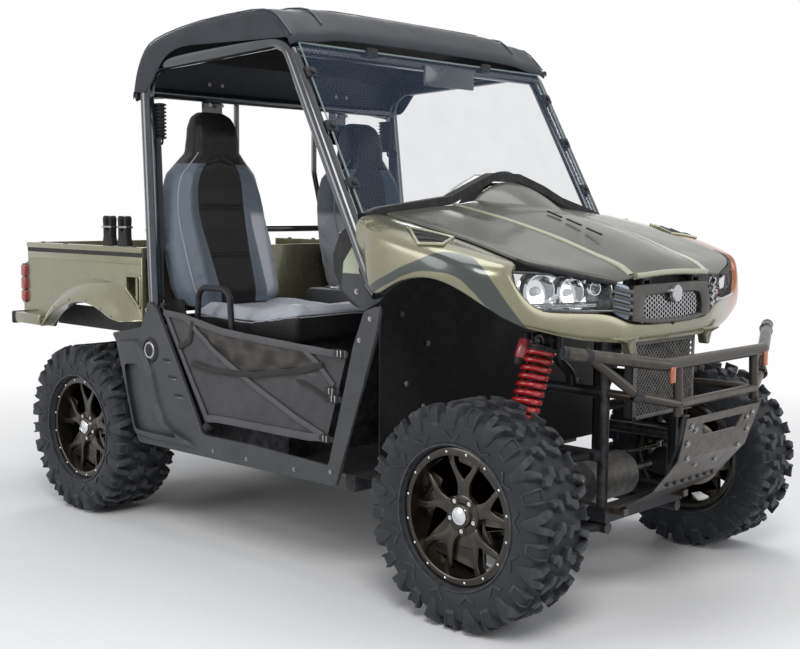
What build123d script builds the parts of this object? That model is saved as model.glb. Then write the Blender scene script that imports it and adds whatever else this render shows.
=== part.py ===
from build123d import *
import math
import os

# Side by side utility vehicle. +X forward, +Y left, +Z up, millimetres.
# The origin lies on the floor, midway between the front tip, the rear tip and the two sides.

# ---- driving dimensions ----
TIP_X = 1425.0                    # front and rear ends, from the origin
WHEELBASE = 1925.0
FRONT_AXLE_X = 985.0
REAR_AXLE_X = FRONT_AXLE_X - WHEELBASE
TYRE_RADIUS = 325.0
FRONT_TYRE_WIDTH = 225.0
REAR_TYRE_WIDTH = 260.0
FRONT_TRACK = 1235.0
REAR_TRACK = 1240.0
BEAD_RADIUS = 180.0               # where the tyre sits on the rim
RIM_FLANGE_RADIUS = 198.0
TYRE_WALL = 14.0
LUGS = 13                         # tread blocks on each shoulder of a tyre
LUG_HIGH = 25.0
LUG_WIDE = 60.0                   # along the tread

SILL_LOW_Z = 318.0                # underside of the side panels
SILL_TOP_Z = 400.0
SIDE_Y = 705.0                    # outer face of the side panels
FLOOR_Z = 345.0                   # top of the floor pan
SEAT_Z = 850.0                    # top of the cushion
SEAT_Y = 390.0                    # middle of each seat
BED_SIDE_Y = 680.0                # outer face of the bed's sides
BED_TOP_Z = 1035.0
BED_FLOOR_Z = 795.0
BED_FRONT_X = -562.0              # front edge of the bed's sides
BED_WALL_X = -600.0               # front face of the bed's front wall
ROOF_Z = 1860.0                   # crown of the roof
ROOF_SIDE_Y = 670.0
ROOF_WALL = 6.0
PILLAR_DIA = 50.0                 # roll cage tube
RAIL_Y = 200.0                    # middle of the two main frame rails
RAIL_DROP = 55.0                  # main frame rails, below the axles

# ---- clearances ----
FIT_GAP = 0.3                     # seated, soft or running faces
MOVE_GAP = 6.0                    # between pieces that move past each other

AXLE_Z = TYRE_RADIUS
RAIL_Z = AXLE_Z - RAIL_DROP
FRONT_WHEEL_Y = FRONT_TRACK / 2
REAR_WHEEL_Y = REAR_TRACK / 2
SIDES = {"right": -1, "left": 1}


# ---- helpers ----
def block(x, y, z):
    """A box from three (low, high) pairs."""
    size = [high - low for low, high in (x, y, z)]
    middle = [(low + high) / 2 for low, high in (x, y, z)]
    return Pos(*middle) * Box(*size)


def side_plate(outline, y_low, y_high):
    """An outline of (x, z) points, extruded from y_low to y_high."""
    face = make_face(Polyline([(x, y_low, z) for x, z in outline], close=True))
    return Solid.extrude(face.face(), Vector(0, y_high - y_low, 0))


def front_plate(outline, x_low, x_high):
    """An outline of (y, z) points, extruded from x_low to x_high."""
    face = make_face(Polyline([(x_low, y, z) for y, z in outline], close=True))
    return Solid.extrude(face.face(), Vector(x_high - x_low, 0, 0))


def plan_plate(outline, z_low, z_high):
    """An outline of (x, y) points, extruded from z_low to z_high."""
    face = make_face(Polyline([(x, y, z_low) for x, y in outline], close=True))
    return Solid.extrude(face.face(), Vector(0, 0, z_high - z_low))


def rod(start, end, radius, bore=0.0):
    """A round bar, or a tube where bore is given, between two points."""
    start, end = Vector(*start), Vector(*end)
    plane = Plane(origin=start, z_dir=end - start)
    length = (end - start).length
    bar = plane * Cylinder(radius, length, align=(Align.CENTER, Align.CENTER, Align.MIN))
    if bore:
        hole = plane * Cylinder(bore, length, align=(Align.CENTER, Align.CENTER, Align.MIN))
        bar = bar - hole
    return bar


def cone(start, end, start_radius, end_radius):
    """A round taper between two points."""
    start, end = Vector(*start), Vector(*end)
    plane = Plane(origin=start, z_dir=end - start)
    length = (end - start).length
    return plane * Cone(start_radius, end_radius, length, align=(Align.CENTER, Align.CENTER, Align.MIN))


def bent_tube(points, radius, bend):
    """A tube along straight runs joined by tangent arcs of one bend radius."""
    points = [Vector(*p) for p in points]
    edges, at = [], points[0]
    for before, corner, after in zip(points, points[1:], points[2:]):
        into, out = (corner - before).normalized(), (after - corner).normalized()
        turn = math.radians(into.get_angle(out))
        reach = bend * math.tan(turn / 2)
        begin, finish = corner - into * reach, corner + out * reach
        inward = (out - into).normalized()
        middle = corner + inward * (bend / math.cos(turn / 2) - bend)
        edges.append(Edge.make_line(at, begin))
        edges.append(Edge.make_three_point_arc(begin, middle, finish))
        at = finish
    edges.append(Edge.make_line(at, points[-1]))
    path = Wire(edges)
    start = Plane(origin=points[0], z_dir=points[1] - points[0])
    return sweep(start * Circle(radius), path=path)


def ring(profile, centre):
    """A profile of (y, radius) points turned about a Y axis through centre."""
    face = make_face(Polyline([(0, y, r) for y, r in profile], close=True))
    return Pos(*centre) * revolve(face, axis=Axis.Y)


def both(make):
    """The same piece on the right and the left side, from make(side)."""
    return [make(side) for side in SIDES.values()]


def flip(shape, side):
    """A shape drawn at +Y, put on the given side."""
    return shape if side > 0 else mirror(shape, about=Plane.XZ)


def pair(make):
    """Both sides' solids in one node."""
    return Compound([piece for shape in both(make) for piece in shape.solids()])


def solids(*shapes):
    """All solids of the shapes, fused where they meet."""
    flat = []
    for shape in shapes:
        flat.extend(shape if isinstance(shape, list) else [shape])
    result = flat[0]
    for shape in flat[1:]:
        result = result + shape
    return result


parts = {}
os.makedirs("parts", exist_ok=True)


# ---- wheels ----
BEAD_SHARE = 0.70                 # bead's place, as a share of the tyre's half width
TREAD_RADIUS = TYRE_RADIUS - LUG_HIGH
LUG_ROOT = 6.0                    # how deep a block stands in the carcass
LUG_SHOULDER = 0.80               # where a block's shoulder starts, as a share of the half width
LUG_SIDE_RADIUS = 0.80 * TYRE_RADIUS
LUG_INNER_Y = 0.10                # where a block starts, as a share of the half width
RIM_WALL = 6.0
FLANGE_THICK = 9.0
SPOKES = 5
SPOKE_RECESS = 34.0               # outer flange face to the spokes' face
SPOKE_THICK = 18.0
CLAW = [                          # half of a spoke's outline: across, out from the axle
    (0, 108), (13, 116), (31, 146), (37, 177), (58, 168), (53, 142), (37, 114), (21, 88), (22, 52), (0, 48)]
HUB_RADIUS = 58.0
BARREL_RADIUS = 40.0              # hub barrel behind the spokes
STUB_RADIUS = 24.0                # shaft that runs in the bearing
KINGPIN_INSET = 77.5              # wheel's middle plane to the kingpin
UPRIGHT_OUT = 22.0                # upright's outer face, outboard of the kingpin
UPRIGHT_IN = 23.0
UPRIGHT_RADIUS = 45.0
DISC_RADIUS = 118.0
DISC_THICK = 5.0


def flat_ring(radius, y, flats):
    """Flat-sided outline around the wheel's axis, radius to the middle of each flat."""
    reach = radius / math.cos(math.pi / flats)
    turns = [2 * math.pi * (index + 0.5) / flats - math.pi / 2 for index in range(flats)]
    return make_face(Polyline([(reach * math.cos(turn), y, reach * math.sin(turn)) for turn in turns],
                              close=True)).face()


def flat_shell(half_profile, flats):
    """Solid through flat-sided rings, from (y, radius) points that are mirrored about the middle."""
    rings = [flat_ring(radius, -y, flats) for y, radius in half_profile]
    rings += [flat_ring(radius, y, flats) for y, radius in reversed(half_profile)]
    return loft(rings, ruled=True)


def make_lug(half, turn, side):
    """One tread block, from near the tyre's middle out over its shoulder, turned about the axle."""
    section = [(LUG_INNER_Y * half, TREAD_RADIUS - LUG_ROOT), (LUG_INNER_Y * half, TYRE_RADIUS),
               (LUG_SHOULDER * half, TYRE_RADIUS), (half, TREAD_RADIUS), (half, LUG_SIDE_RADIUS),
               (0.90 * half - LUG_ROOT, LUG_SIDE_RADIUS)]
    face = make_face(Polyline([(-LUG_WIDE / 2, side * y, -radius) for y, radius in section], close=True))
    return Solid.extrude(face.face(), Vector(LUG_WIDE, 0, 0)).rotate(Axis.Y, turn)


def make_tyre(width):
    """Flat-sided carcass, open to the rim, with staggered blocks round both shoulders."""
    half = width / 2
    shell = flat_shell([(BEAD_SHARE * half, RIM_FLANGE_RADIUS + FIT_GAP), (0.95 * half, 0.73 * TYRE_RADIUS),
                        (0.90 * half, TREAD_RADIUS)], 2 * LUGS)
    hollow = flat_shell([(BEAD_SHARE * half - TYRE_WALL, BEAD_RADIUS),
                         (0.90 * half - TYRE_WALL, 0.78 * TYRE_RADIUS),
                         (0.80 * half, TREAD_RADIUS - TYRE_WALL)], LUGS)
    bead = flat_shell([(half, BEAD_RADIUS)], LUGS)
    pitch = 360 / LUGS
    lugs = []
    for side in SIDES.values():
        stagger = 0.25 + side * 0.25
        lugs += [make_lug(half, (index + stagger) * pitch, side) for index in range(LUGS)]
    return shell.fuse(*lugs) - hollow - bead


def rim_flange_y(width):
    """Outer face of the rim's flange, from the wheel's middle."""
    return BEAD_SHARE * width / 2 + FIT_GAP + FLANGE_THICK


def make_rim(width, centre, side, stub_end):
    """Rim, spokes, hub and stub shaft in one piece. stub_end is inboard of the middle."""
    face_y = rim_flange_y(width)
    outer = BEAD_RADIUS - FIT_GAP
    inner = outer - RIM_WALL
    barrel = [(-face_y, inner), (-face_y, RIM_FLANGE_RADIUS), (-face_y + FLANGE_THICK, RIM_FLANGE_RADIUS),
              (-face_y + FLANGE_THICK, outer), (face_y - FLANGE_THICK, outer),
              (face_y - FLANGE_THICK, RIM_FLANGE_RADIUS), (face_y, RIM_FLANGE_RADIUS), (face_y, inner)]
    spoke_out = face_y - SPOKE_RECESS
    spoke_in = spoke_out - SPOKE_THICK
    pieces = [ring(barrel, (0, 0, 0))]
    pieces.append(rod((0, spoke_in, 0), (0, spoke_out + 6, 0), HUB_RADIUS))
    pieces.append(rod((0, -stub_end, 0), (0, spoke_in, 0), STUB_RADIUS))
    pieces.append(rod((0, -KINGPIN_INSET + UPRIGHT_OUT + MOVE_GAP, 0), (0, spoke_in, 0), BARREL_RADIUS))
    pieces.append(rod((0, spoke_out, 0), (0, spoke_out + 24, 0), 26))
    claw = CLAW + [(-x, z) for x, z in reversed(CLAW[1:-1])]
    for index in range(SPOKES):
        pieces.append(side_plate(claw, spoke_in, spoke_out).rotate(Axis.Y, 360 / SPOKES * index))
    return Pos(*centre) * flip(solids(*pieces), side)


WHEELS = {                        # name: axle x, wheel's middle y, tyre width
    "front": (FRONT_AXLE_X, FRONT_WHEEL_Y, FRONT_TYRE_WIDTH),
    "rear": (REAR_AXLE_X, REAR_WHEEL_Y, REAR_TYRE_WIDTH),
}
STUB_END = KINGPIN_INSET + UPRIGHT_IN - 3

DISC_INSET = 38.0                 # wheel's middle plane to the brake disc's middle
KINGPIN_Y = FRONT_WHEEL_Y - KINGPIN_INSET
DISC_Y = FRONT_WHEEL_Y - DISC_INSET

for end, (axle_x, wheel_y, width) in WHEELS.items():
    tyre = make_tyre(width)
    for hand, side in SIDES.items():
        centre = (axle_x, side * wheel_y, AXLE_Z)
        rim = make_rim(width, centre, side, STUB_END)
        if end == "front":
            half = DISC_THICK / 2
            rim += ring([(-half, BARREL_RADIUS - 2), (-half, DISC_RADIUS), (half, DISC_RADIUS),
                         (half, BARREL_RADIUS - 2)], (axle_x, side * DISC_Y, AXLE_Z))
        parts[f"tyre_{end}_{hand}"] = Pos(*centre) * flip(tyre, side)
        parts[f"rim_{end}_{hand}"] = rim

# ---- front knuckles ----
PIN_RADIUS = 9.0
BOSS_HALF = 80.0                  # half height of the kingpin boss
EYE_HALF = 11.0                   # half height of an arm's eye
EYE_Z = BOSS_HALF + MOVE_GAP + EYE_HALF
STEER_ARM = 105.0                 # kingpin to tie rod end, backwards
STEER_ARM_Z = AXLE_Z - 8
TIE_ROD_Z = AXLE_Z + 22


def make_knuckle(side):
    """Upright with bearing bore, kingpin, steering arm and caliper, drawn at +Y."""
    x, y, z = FRONT_AXLE_X, KINGPIN_Y, AXLE_Z
    body = rod((x, y - UPRIGHT_IN, z), (x, y + UPRIGHT_OUT, z), UPRIGHT_RADIUS)
    body += rod((x, y, z - BOSS_HALF), (x, y, z + BOSS_HALF), 17)
    body += rod((x, y, z - BOSS_HALF - MOVE_GAP - 2 * EYE_HALF - 4),
                (x, y, z + BOSS_HALF + MOVE_GAP + 2 * EYE_HALF + 4), PIN_RADIUS)
    body += block((x - STEER_ARM - 14, x), (y - 14, y + 14), (STEER_ARM_Z - 7, STEER_ARM_Z + 7))
    body -= rod((x, y - UPRIGHT_IN - 1, z), (x, y + UPRIGHT_OUT + 1, z), STUB_RADIUS + FIT_GAP)
    disc_y = DISC_Y
    slot = DISC_THICK / 2 + MOVE_GAP
    caliper = block((x + 72, x + DISC_RADIUS + 28), (y + 5, disc_y + slot + 14), (z - 38, z + 38))
    caliper -= block((x, x + DISC_RADIUS + MOVE_GAP), (disc_y - slot, disc_y + slot), (z - 60, z + 60))
    bracket = block((x + UPRIGHT_RADIUS - 6, x + 90), (y + 5, y + UPRIGHT_OUT), (z - 16, z + 16))
    return flip(solids(body, caliper, bracket), side)


for hand, side in SIDES.items():
    parts[f"knuckle_{hand}"] = make_knuckle(side)

# ---- suspension ----
ARM_RADIUS = 13.0
PIVOT_TUBE = 18.0                 # outer radius of a wishbone's inner tube
TOWER_RADIUS = 17.0               # the frame's upright tubes
RAIL_SIZE = 44.0
LOWER_PIVOT_Z = RAIL_Z - RAIL_SIZE / 2 - FIT_GAP - PIVOT_TUBE
UPPER_PIVOT_Z = AXLE_Z + 128
UPPER_PIVOT_Y = RAIL_Y + TOWER_RADIUS + FIT_GAP + PIVOT_TUBE
ARMS = {                          # name: eye height from the axle, inner pivot y, pivot z, spread
    "lower": (-EYE_Z, RAIL_Y, LOWER_PIVOT_Z, 150.0),
    "upper": (EYE_Z, UPPER_PIVOT_Y, UPPER_PIVOT_Z, 130.0),
}


def make_arm(axle_x, eye_y, spec):
    """A wishbone: an eye at its tip, two legs and a pivot tube, drawn at +Y."""
    eye_rise, pivot_y, pivot_z, spread = spec
    tip = (axle_x, eye_y, AXLE_Z + eye_rise)
    arm = rod((axle_x, eye_y, tip[2] - EYE_HALF), (axle_x, eye_y, tip[2] + EYE_HALF), 21)
    for way in (-1, 1):
        foot = (axle_x + way * spread, pivot_y, pivot_z)
        arm += rod((axle_x + way * 9, eye_y - 8, tip[2]), foot, ARM_RADIUS)
    arm += rod((axle_x - spread - 22, pivot_y, pivot_z), (axle_x + spread + 22, pivot_y, pivot_z), PIVOT_TUBE)
    arm -= rod((axle_x, eye_y, tip[2] - 2 * EYE_HALF), (axle_x, eye_y, tip[2] + 2 * EYE_HALF),
               PIN_RADIUS + FIT_GAP)
    return arm


REAR_UPRIGHT_Y = REAR_WHEEL_Y - KINGPIN_INSET
arms = []
for side in SIDES.values():
    for spec in ARMS.values():
        arms.append(flip(make_arm(FRONT_AXLE_X, KINGPIN_Y, spec), side))
        arms.append(flip(make_arm(REAR_AXLE_X, REAR_UPRIGHT_Y, spec), side))
parts["suspension_arms"] = Compound([piece for arm in arms for piece in arm.solids()])


def make_rear_upright(side):
    """Rear hub carrier, pinned to the rear arms, drawn at +Y."""
    x, y, z = REAR_AXLE_X, REAR_UPRIGHT_Y, AXLE_Z
    body = rod((x, y - UPRIGHT_IN, z), (x, y + UPRIGHT_OUT, z), UPRIGHT_RADIUS)
    body += rod((x, y, z - BOSS_HALF), (x, y, z + BOSS_HALF), 17)
    body += rod((x, y, z - EYE_Z - EYE_HALF), (x, y, z + EYE_Z + EYE_HALF), PIN_RADIUS)
    body -= rod((x, y - UPRIGHT_IN - 1, z), (x, y + UPRIGHT_OUT + 1, z), STUB_RADIUS + FIT_GAP)
    return flip(body, side)


parts["rear_uprights"] = solids(*both(make_rear_upright))

# shock absorbers: each end's foot on an upper arm, and its head on the frame
SPRING_RADIUS = 44.0
COILS = 8
COIL_DEEP = 9.0
DAMPER_RADIUS = 20.0
EYE_RADIUS = 18.0                 # the damper's head eye
SHOCKS = {                        # axle: foot, head, share of the length where the spring starts
    "front": ((FRONT_AXLE_X - 8, KINGPIN_Y - 88, AXLE_Z + 128), (FRONT_AXLE_X + 27, 345.0, 800.0), 0.30),
    "rear": ((REAR_AXLE_X + 55, REAR_UPRIGHT_Y - 100, AXLE_Z + 134), (REAR_AXLE_X + 140, 500.0, 890.0), 0.45),
}
dampers, springs = [], []


def make_spring(foot, length, way):
    """Coil spring as a tube whose outside follows the coils."""
    pitch = length / COILS
    wire = 0.42 * pitch
    inner, valley = DAMPER_RADIUS + 3, SPRING_RADIUS - COIL_DEEP
    outside = []
    for index in range(COILS):
        middle = (index + 0.5) * pitch
        outside += [(valley, index * pitch), (SPRING_RADIUS, middle - wire / 2), (SPRING_RADIUS, middle + wire / 2)]
    section = [(inner, 0)] + outside + [(valley, length), (inner, length)]
    face = make_face(Polyline([(radius, 0, run) for radius, run in section], close=True))
    return Plane(origin=foot, z_dir=way) * revolve(face, axis=Axis.Z)


for foot, head, start in SHOCKS.values():
    for side in SIDES.values():
        low, high = Vector(*foot), Vector(*head)
        along = high - low
        seat_low, seat_high = low + along * start, low + along * 0.92
        damper = rod(low, high, DAMPER_RADIUS)
        damper += rod(seat_low - along.normalized() * 10, seat_low, SPRING_RADIUS)
        damper += rod(seat_high, seat_high + along.normalized() * 10, SPRING_RADIUS)
        damper += rod((high.X, high.Y - 24, high.Z), (high.X, high.Y + 24, high.Z), EYE_RADIUS)
        damper -= rod((high.X, high.Y - 60, high.Z), (high.X, high.Y + 60, high.Z), PIN_RADIUS + FIT_GAP)
        spring = make_spring(seat_low + along.normalized() * FIT_GAP,
                             (seat_high - seat_low).length - 2 * FIT_GAP, along)
        dampers.append(flip(damper, side))
        springs.append(flip(spring, side))
parts["shock_absorbers"] = solids(*dampers)
parts["coil_springs"] = Compound(springs)

# ---- frame ----
FRAME_FRONT_X = 1160.0
FRAME_REAR_X = -1240.0
BEARER_X = (-500.0, -180.0, 450.0)  # cross tubes on the rails that carry the floor and sills
CROSS_X = (-1218.0, -720.0, 780.0, 1138.0)
OUTRIGGER_Y = 600.0
PAN_THICK = 4.0
PAN_Z = FLOOR_Z - PAN_THICK
FRONT_LEG_X = (837.0, 1132.0)
FRONT_LEG_TOP_Z = 800.0
TIE_Z = 640.0                     # long tube between the front legs
REAR_POST_X = -1075.0
BED_REST_Z = 700.0                # rear cross tube under the bed
SHOCK_HEAD_FRONT = SHOCKS["front"][1]
SHOCK_HEAD_REAR = SHOCKS["rear"][1]
REAR_KNEE = (408.0, 735.0)        # y, z where the rear shock's post turns up
SHOCK_POST_IN = SPRING_RADIUS + MOVE_GAP + TOWER_RADIUS   # shock's head to its post, inwards
BED_HINGE = (-1215.0, 690.0)      # x, z of the bed's hinge pins
BED_HINGE_Y = 330.0
HINGE_PIN = 12.0
TOWER_FOOT_Z = RAIL_Z + RAIL_SIZE / 2 + FIT_GAP
RAIL_TOP_Y = ROOF_SIDE_Y - ROOF_WALL - FIT_GAP - PILLAR_DIA / 2     # cage rail inside the roof's skirt
CAGE_DROP = (138.0, 170.0)        # cage corners below the crown: front, rear
CAGE_B_TOP = (-590.0, RAIL_TOP_Y - 3, ROOF_Z - CAGE_DROP[1])
CAGE_B_LOW = (-500.0, 665.0, 740.0)
CAGE_POST_RADIUS = 14.0           # frame post under each rear pillar


def make_rails():
    """Two main rails with cross members between them and bearers on top."""
    half = RAIL_SIZE / 2
    level = (RAIL_Z - half, RAIL_Z + half)
    main_rail = block((FRAME_REAR_X, FRAME_FRONT_X), (RAIL_Y - half, RAIL_Y + half), level)
    pieces = both(lambda side: flip(main_rail, side))
    for x in CROSS_X:
        pieces.append(block((x - half, x + half), (-RAIL_Y, RAIL_Y), level))
    for x in BEARER_X:
        pieces.append(block((x - half, x + half), (-OUTRIGGER_Y, OUTRIGGER_Y), (level[1] - 2, PAN_Z - FIT_GAP)))
    return solids(*pieces)


def make_front_tower(side):
    """Uprights on the rail that carry the front upper arms and shock, drawn at +Y."""
    pieces = []
    for x in FRONT_LEG_X:
        pieces.append(rod((x, RAIL_Y, TOWER_FOOT_Z), (x, RAIL_Y, FRONT_LEG_TOP_Z), TOWER_RADIUS))
    pieces.append(rod((FRONT_LEG_X[0], RAIL_Y, TIE_Z), (FRONT_LEG_X[1], RAIL_Y, TIE_Z), TOWER_RADIUS))
    head_x, head_y, head_z = SHOCK_HEAD_FRONT
    post_y = head_y - SHOCK_POST_IN
    pieces.append(bent_tube([(head_x, RAIL_Y, TIE_Z), (head_x, RAIL_Y + 8, TIE_Z + 50), (head_x, post_y, 740),
                             (head_x, post_y, head_z + 12)], TOWER_RADIUS - 2, 40))
    pieces.append(rod((head_x, post_y, head_z), (head_x, head_y + 32, head_z), PIN_RADIUS))
    return flip(solids(*pieces), side)


def make_rear_tower(side):
    """Uprights on the rail that carry the rear shock, the bed's rest and its hinge, drawn at +Y."""
    pieces = []
    head_x, head_y, head_z = SHOCK_HEAD_REAR
    post_y = head_y - SHOCK_POST_IN
    knee_y = REAR_KNEE[0]
    pieces.append(bent_tube([(head_x, RAIL_Y, TOWER_FOOT_Z), (head_x, RAIL_Y, 560),
                             (head_x, knee_y, REAR_KNEE[1]),
                             (head_x, post_y, head_z + 12)], TOWER_RADIUS, 50))
    pieces.append(rod((head_x, post_y, head_z), (head_x, head_y + 32, head_z), PIN_RADIUS))
    pieces.append(rod((REAR_POST_X, RAIL_Y, TOWER_FOOT_Z), (REAR_POST_X, RAIL_Y, BED_REST_Z), TOWER_RADIUS))
    x, z = BED_HINGE
    pieces.append(rod((x, RAIL_Y, TOWER_FOOT_Z), (x, RAIL_Y, z), TOWER_RADIUS))
    pieces.append(rod((x, RAIL_Y, z), (x, BED_HINGE_Y + 40, z), HINGE_PIN))
    return flip(solids(*pieces), side)


def make_cage_post(side):
    """Tube from the bearer up to the rear pillar's foot, drawn at +Y."""
    foot_x, foot_y, foot_z = CAGE_B_LOW
    lean = math.hypot(CAGE_B_TOP[0] - foot_x, CAGE_B_TOP[1] - foot_y) / (CAGE_B_TOP[2] - foot_z)
    post_top = foot_z - CAGE_POST_RADIUS * lean - FIT_GAP
    post = bent_tube([(foot_x, OUTRIGGER_Y - 30, PAN_Z - 24), (foot_x, OUTRIGGER_Y - 30, 440),
                      (foot_x, foot_y, 640), (foot_x, foot_y, post_top)], CAGE_POST_RADIUS, 60)
    return flip(post, side)


CROSS_RADIUS = TOWER_RADIUS - 2
front_cross_z = FRONT_LEG_TOP_Z - TOWER_RADIUS - 2
def make_cross_tubes(table):
    """Cross tubes from rows of x, half length, z and radius."""
    return [rod((x, -reach, z), (x, reach, z), radius) for x, reach, z, radius in table]


front_cross = make_cross_tubes((
    (FRONT_LEG_X[1], RAIL_Y, 600, CROSS_RADIUS), (FRONT_LEG_X[1], RAIL_Y, front_cross_z, CROSS_RADIUS),
    (FRONT_LEG_X[0], RAIL_Y, front_cross_z, CROSS_RADIUS)))
rear_cross = make_cross_tubes((
    (REAR_POST_X, 420, BED_REST_Z, TOWER_RADIUS), (BED_HINGE[0], RAIL_Y, 560, CROSS_RADIUS)))
parts["front_towers"] = solids(*both(make_front_tower), *front_cross)
parts["rear_towers"] = solids(*both(make_rear_tower), *rear_cross)
frame = solids(make_rails(), *both(make_cage_post))

# ---- engine, gearboxes, half shafts, steering rack ----
parts["engine"] = block((-600, -210), (-215, 215), (PAN_Z, 700))
GEARBOX_Y = 120.0
front_case = rod((FRONT_AXLE_X, -GEARBOX_Y, AXLE_Z), (FRONT_AXLE_X, GEARBOX_Y, AXLE_Z), 74)
front_case += rod((CROSS_X[2] + RAIL_SIZE / 2 + FIT_GAP, 0, RAIL_Z), (FRONT_AXLE_X, 0, RAIL_Z), 19)
rear_case = rod((REAR_AXLE_X, -GEARBOX_Y, AXLE_Z), (REAR_AXLE_X, GEARBOX_Y, AXLE_Z), 105)
rear_case += rod((REAR_AXLE_X, 0, RAIL_Z), (CROSS_X[1] - RAIL_SIZE / 2 - FIT_GAP, 0, RAIL_Z), 30)
parts["gearboxes"] = Compound(list(front_case.solids()) + list(rear_case.solids()))

CV_REACH = 58.0                   # kingpin to the boot's end
SHAFT_RADIUS = 13.0
BOOT = (17.0, 40.0, 74.0)         # small radius, large radius, length


def make_half_shaft(axle_x, inner_y, outer_y):
    """A shaft with a rubber boot at each end, drawn at +Y."""
    small, large, length = BOOT
    z = AXLE_Z
    shaft = rod((axle_x, inner_y, z), (axle_x, outer_y, z), SHAFT_RADIUS)
    shaft += cone((axle_x, inner_y, z), (axle_x, inner_y + length, z), large, small)
    shaft += cone((axle_x, outer_y - length, z), (axle_x, outer_y, z), small, large)
    return shaft


front_end_y = KINGPIN_Y - CV_REACH
rear_end_y = REAR_UPRIGHT_Y - UPRIGHT_IN - MOVE_GAP
half_shafts = []
for side in SIDES.values():
    half_shafts.append(flip(make_half_shaft(FRONT_AXLE_X, GEARBOX_Y + FIT_GAP, front_end_y), side))
    half_shafts.append(flip(make_half_shaft(REAR_AXLE_X, GEARBOX_Y + FIT_GAP, rear_end_y), side))
parts["half_shafts"] = Compound(half_shafts)

RACK_X = FRONT_AXLE_X - STEER_ARM
RACK_RADIUS = 10.0
RACK_HOUSING = (24.0, 165.0)      # radius, half length
TIE_ROD_Y = KINGPIN_Y - 4
rack_radius, rack_half = RACK_HOUSING
rack_z = TIE_ROD_Z
housing = rod((RACK_X, -rack_half, rack_z), (RACK_X, rack_half, rack_z), rack_radius,
              RACK_RADIUS + FIT_GAP)
rack_foot = block((RACK_X - 18, RACK_X + 18), (-RAIL_Y, RAIL_Y),
                  (RAIL_Z + RAIL_SIZE / 2 - 1, rack_z - rack_radius + 6))
rack_mount = solids(rack_foot, housing)
frame = solids(frame, rack_mount)
rack = rod((RACK_X, -TIE_ROD_Y, rack_z), (RACK_X, TIE_ROD_Y, rack_z), RACK_RADIUS)
for side in SIDES.values():
    rack += rod((RACK_X, side * TIE_ROD_Y, rack_z - 12), (RACK_X, side * TIE_ROD_Y, rack_z + 12), 15)
parts["steering_rack"] = rack

# ---- floor, firewall and seat base ----
CAB_Y = 610.0                     # outer edge of the firewall
FIREWALL_X = 590.0
SEAT_BASE_X = (-440.0, 150.0)
floor = block((SEAT_BASE_X[1], FIREWALL_X), (-OUTRIGGER_Y, OUTRIGGER_Y), (PAN_Z, FLOOR_Z))
firewall = side_plate([(FIREWALL_X, PAN_Z), (FIREWALL_X, 1080), (FIREWALL_X - PAN_THICK, 1080),
                       (FIREWALL_X - PAN_THICK, FLOOR_Z)], -CAB_Y, CAB_Y)
tunnel = block((SEAT_BASE_X[1], FIREWALL_X), (-95, 95), (PAN_Z, 430)) \
    - block((SEAT_BASE_X[1] - 1, FIREWALL_X), (-91, 91), (PAN_Z - 1, 426))
floor_pan = solids(floor, firewall, tunnel)

base_top = 735.0
base_outer_y = OUTRIGGER_Y - 4
seat_base = block(SEAT_BASE_X, (-base_outer_y, base_outer_y), (PAN_Z, base_top))
seat_base -= block((SEAT_BASE_X[0] + 4, SEAT_BASE_X[1] - 4), (-base_outer_y + 4, base_outer_y - 4),
                   (PAN_Z - 1, base_top - 4))
seat_base -= block((SEAT_BASE_X[0] - 1, SEAT_BASE_X[0] + 5), (-240, 240), (PAN_Z - 1, base_top - 4))
parts["seat_base"] = seat_base

# ---- roll cage, roof, windshield ----
CAGE_A_TOP = (190.0, RAIL_TOP_Y, ROOF_Z - CAGE_DROP[0])
CAGE_A_LOW = (602.0, 652.0, 965.0)
TUBE_RADIUS = PILLAR_DIA / 2
HEADER_RADIUS = 19.0
SEAT_BAR = (-600.0, 632.0, 1100.0, 13.0)   # bar behind the seats: x, bend y, z, radius
HOOP_RADIUS = 11.0
PLATE_Y = 330.0                   # perforated plate behind each headrest
PLATE_SIZE = (95.0, 150.0)


def along_tube(low, high, z):
    """Point at height z on the straight line from low to high."""
    share = (z - low[2]) / (high[2] - low[2])
    return tuple(a + (b - a) * share for a, b in zip(low, high))


def make_cage_side(side):
    """Front pillar, roof rail and rear pillar as one bent tube, drawn at +Y."""
    points = [CAGE_A_LOW, CAGE_A_TOP, CAGE_B_TOP, CAGE_B_LOW]
    tube = bent_tube(points, TUBE_RADIUS, 110)
    foot = CAGE_A_LOW
    lower = rod((foot[0] + 30, foot[1], foot[2] - 30), foot, TUBE_RADIUS + 6)
    return flip(solids(tube, lower), side)


HEADER_Z = ROOF_Z - 170.0         # cross tube behind the windshield's top
SEAT_HEADER_Z = ROOF_Z - 260.0    # cross tube behind the headrests
a_mid = along_tube(CAGE_A_LOW, CAGE_A_TOP, HEADER_Z)
b_bar = along_tube(CAGE_B_LOW, CAGE_B_TOP, SEAT_HEADER_Z)
bar_x, bar_y, bar_z, bar_radius = SEAT_BAR
b_seat = along_tube(CAGE_B_LOW, CAGE_B_TOP, bar_z)
b_foot = along_tube(CAGE_B_LOW, CAGE_B_TOP, 770.0)
cage = solids(both(make_cage_side),
              rod((a_mid[0], -a_mid[1], a_mid[2]), a_mid, HEADER_RADIUS),
              rod((b_bar[0], -b_bar[1], b_bar[2]), b_bar, HEADER_RADIUS),
              bent_tube([b_seat, (bar_x, bar_y, bar_z), (bar_x, -bar_y, bar_z),
                         (b_seat[0], -b_seat[1], b_seat[2])], bar_radius, 30),
              rod((b_foot[0], -b_foot[1], b_foot[2]), b_foot, HEADER_RADIUS))

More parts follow.
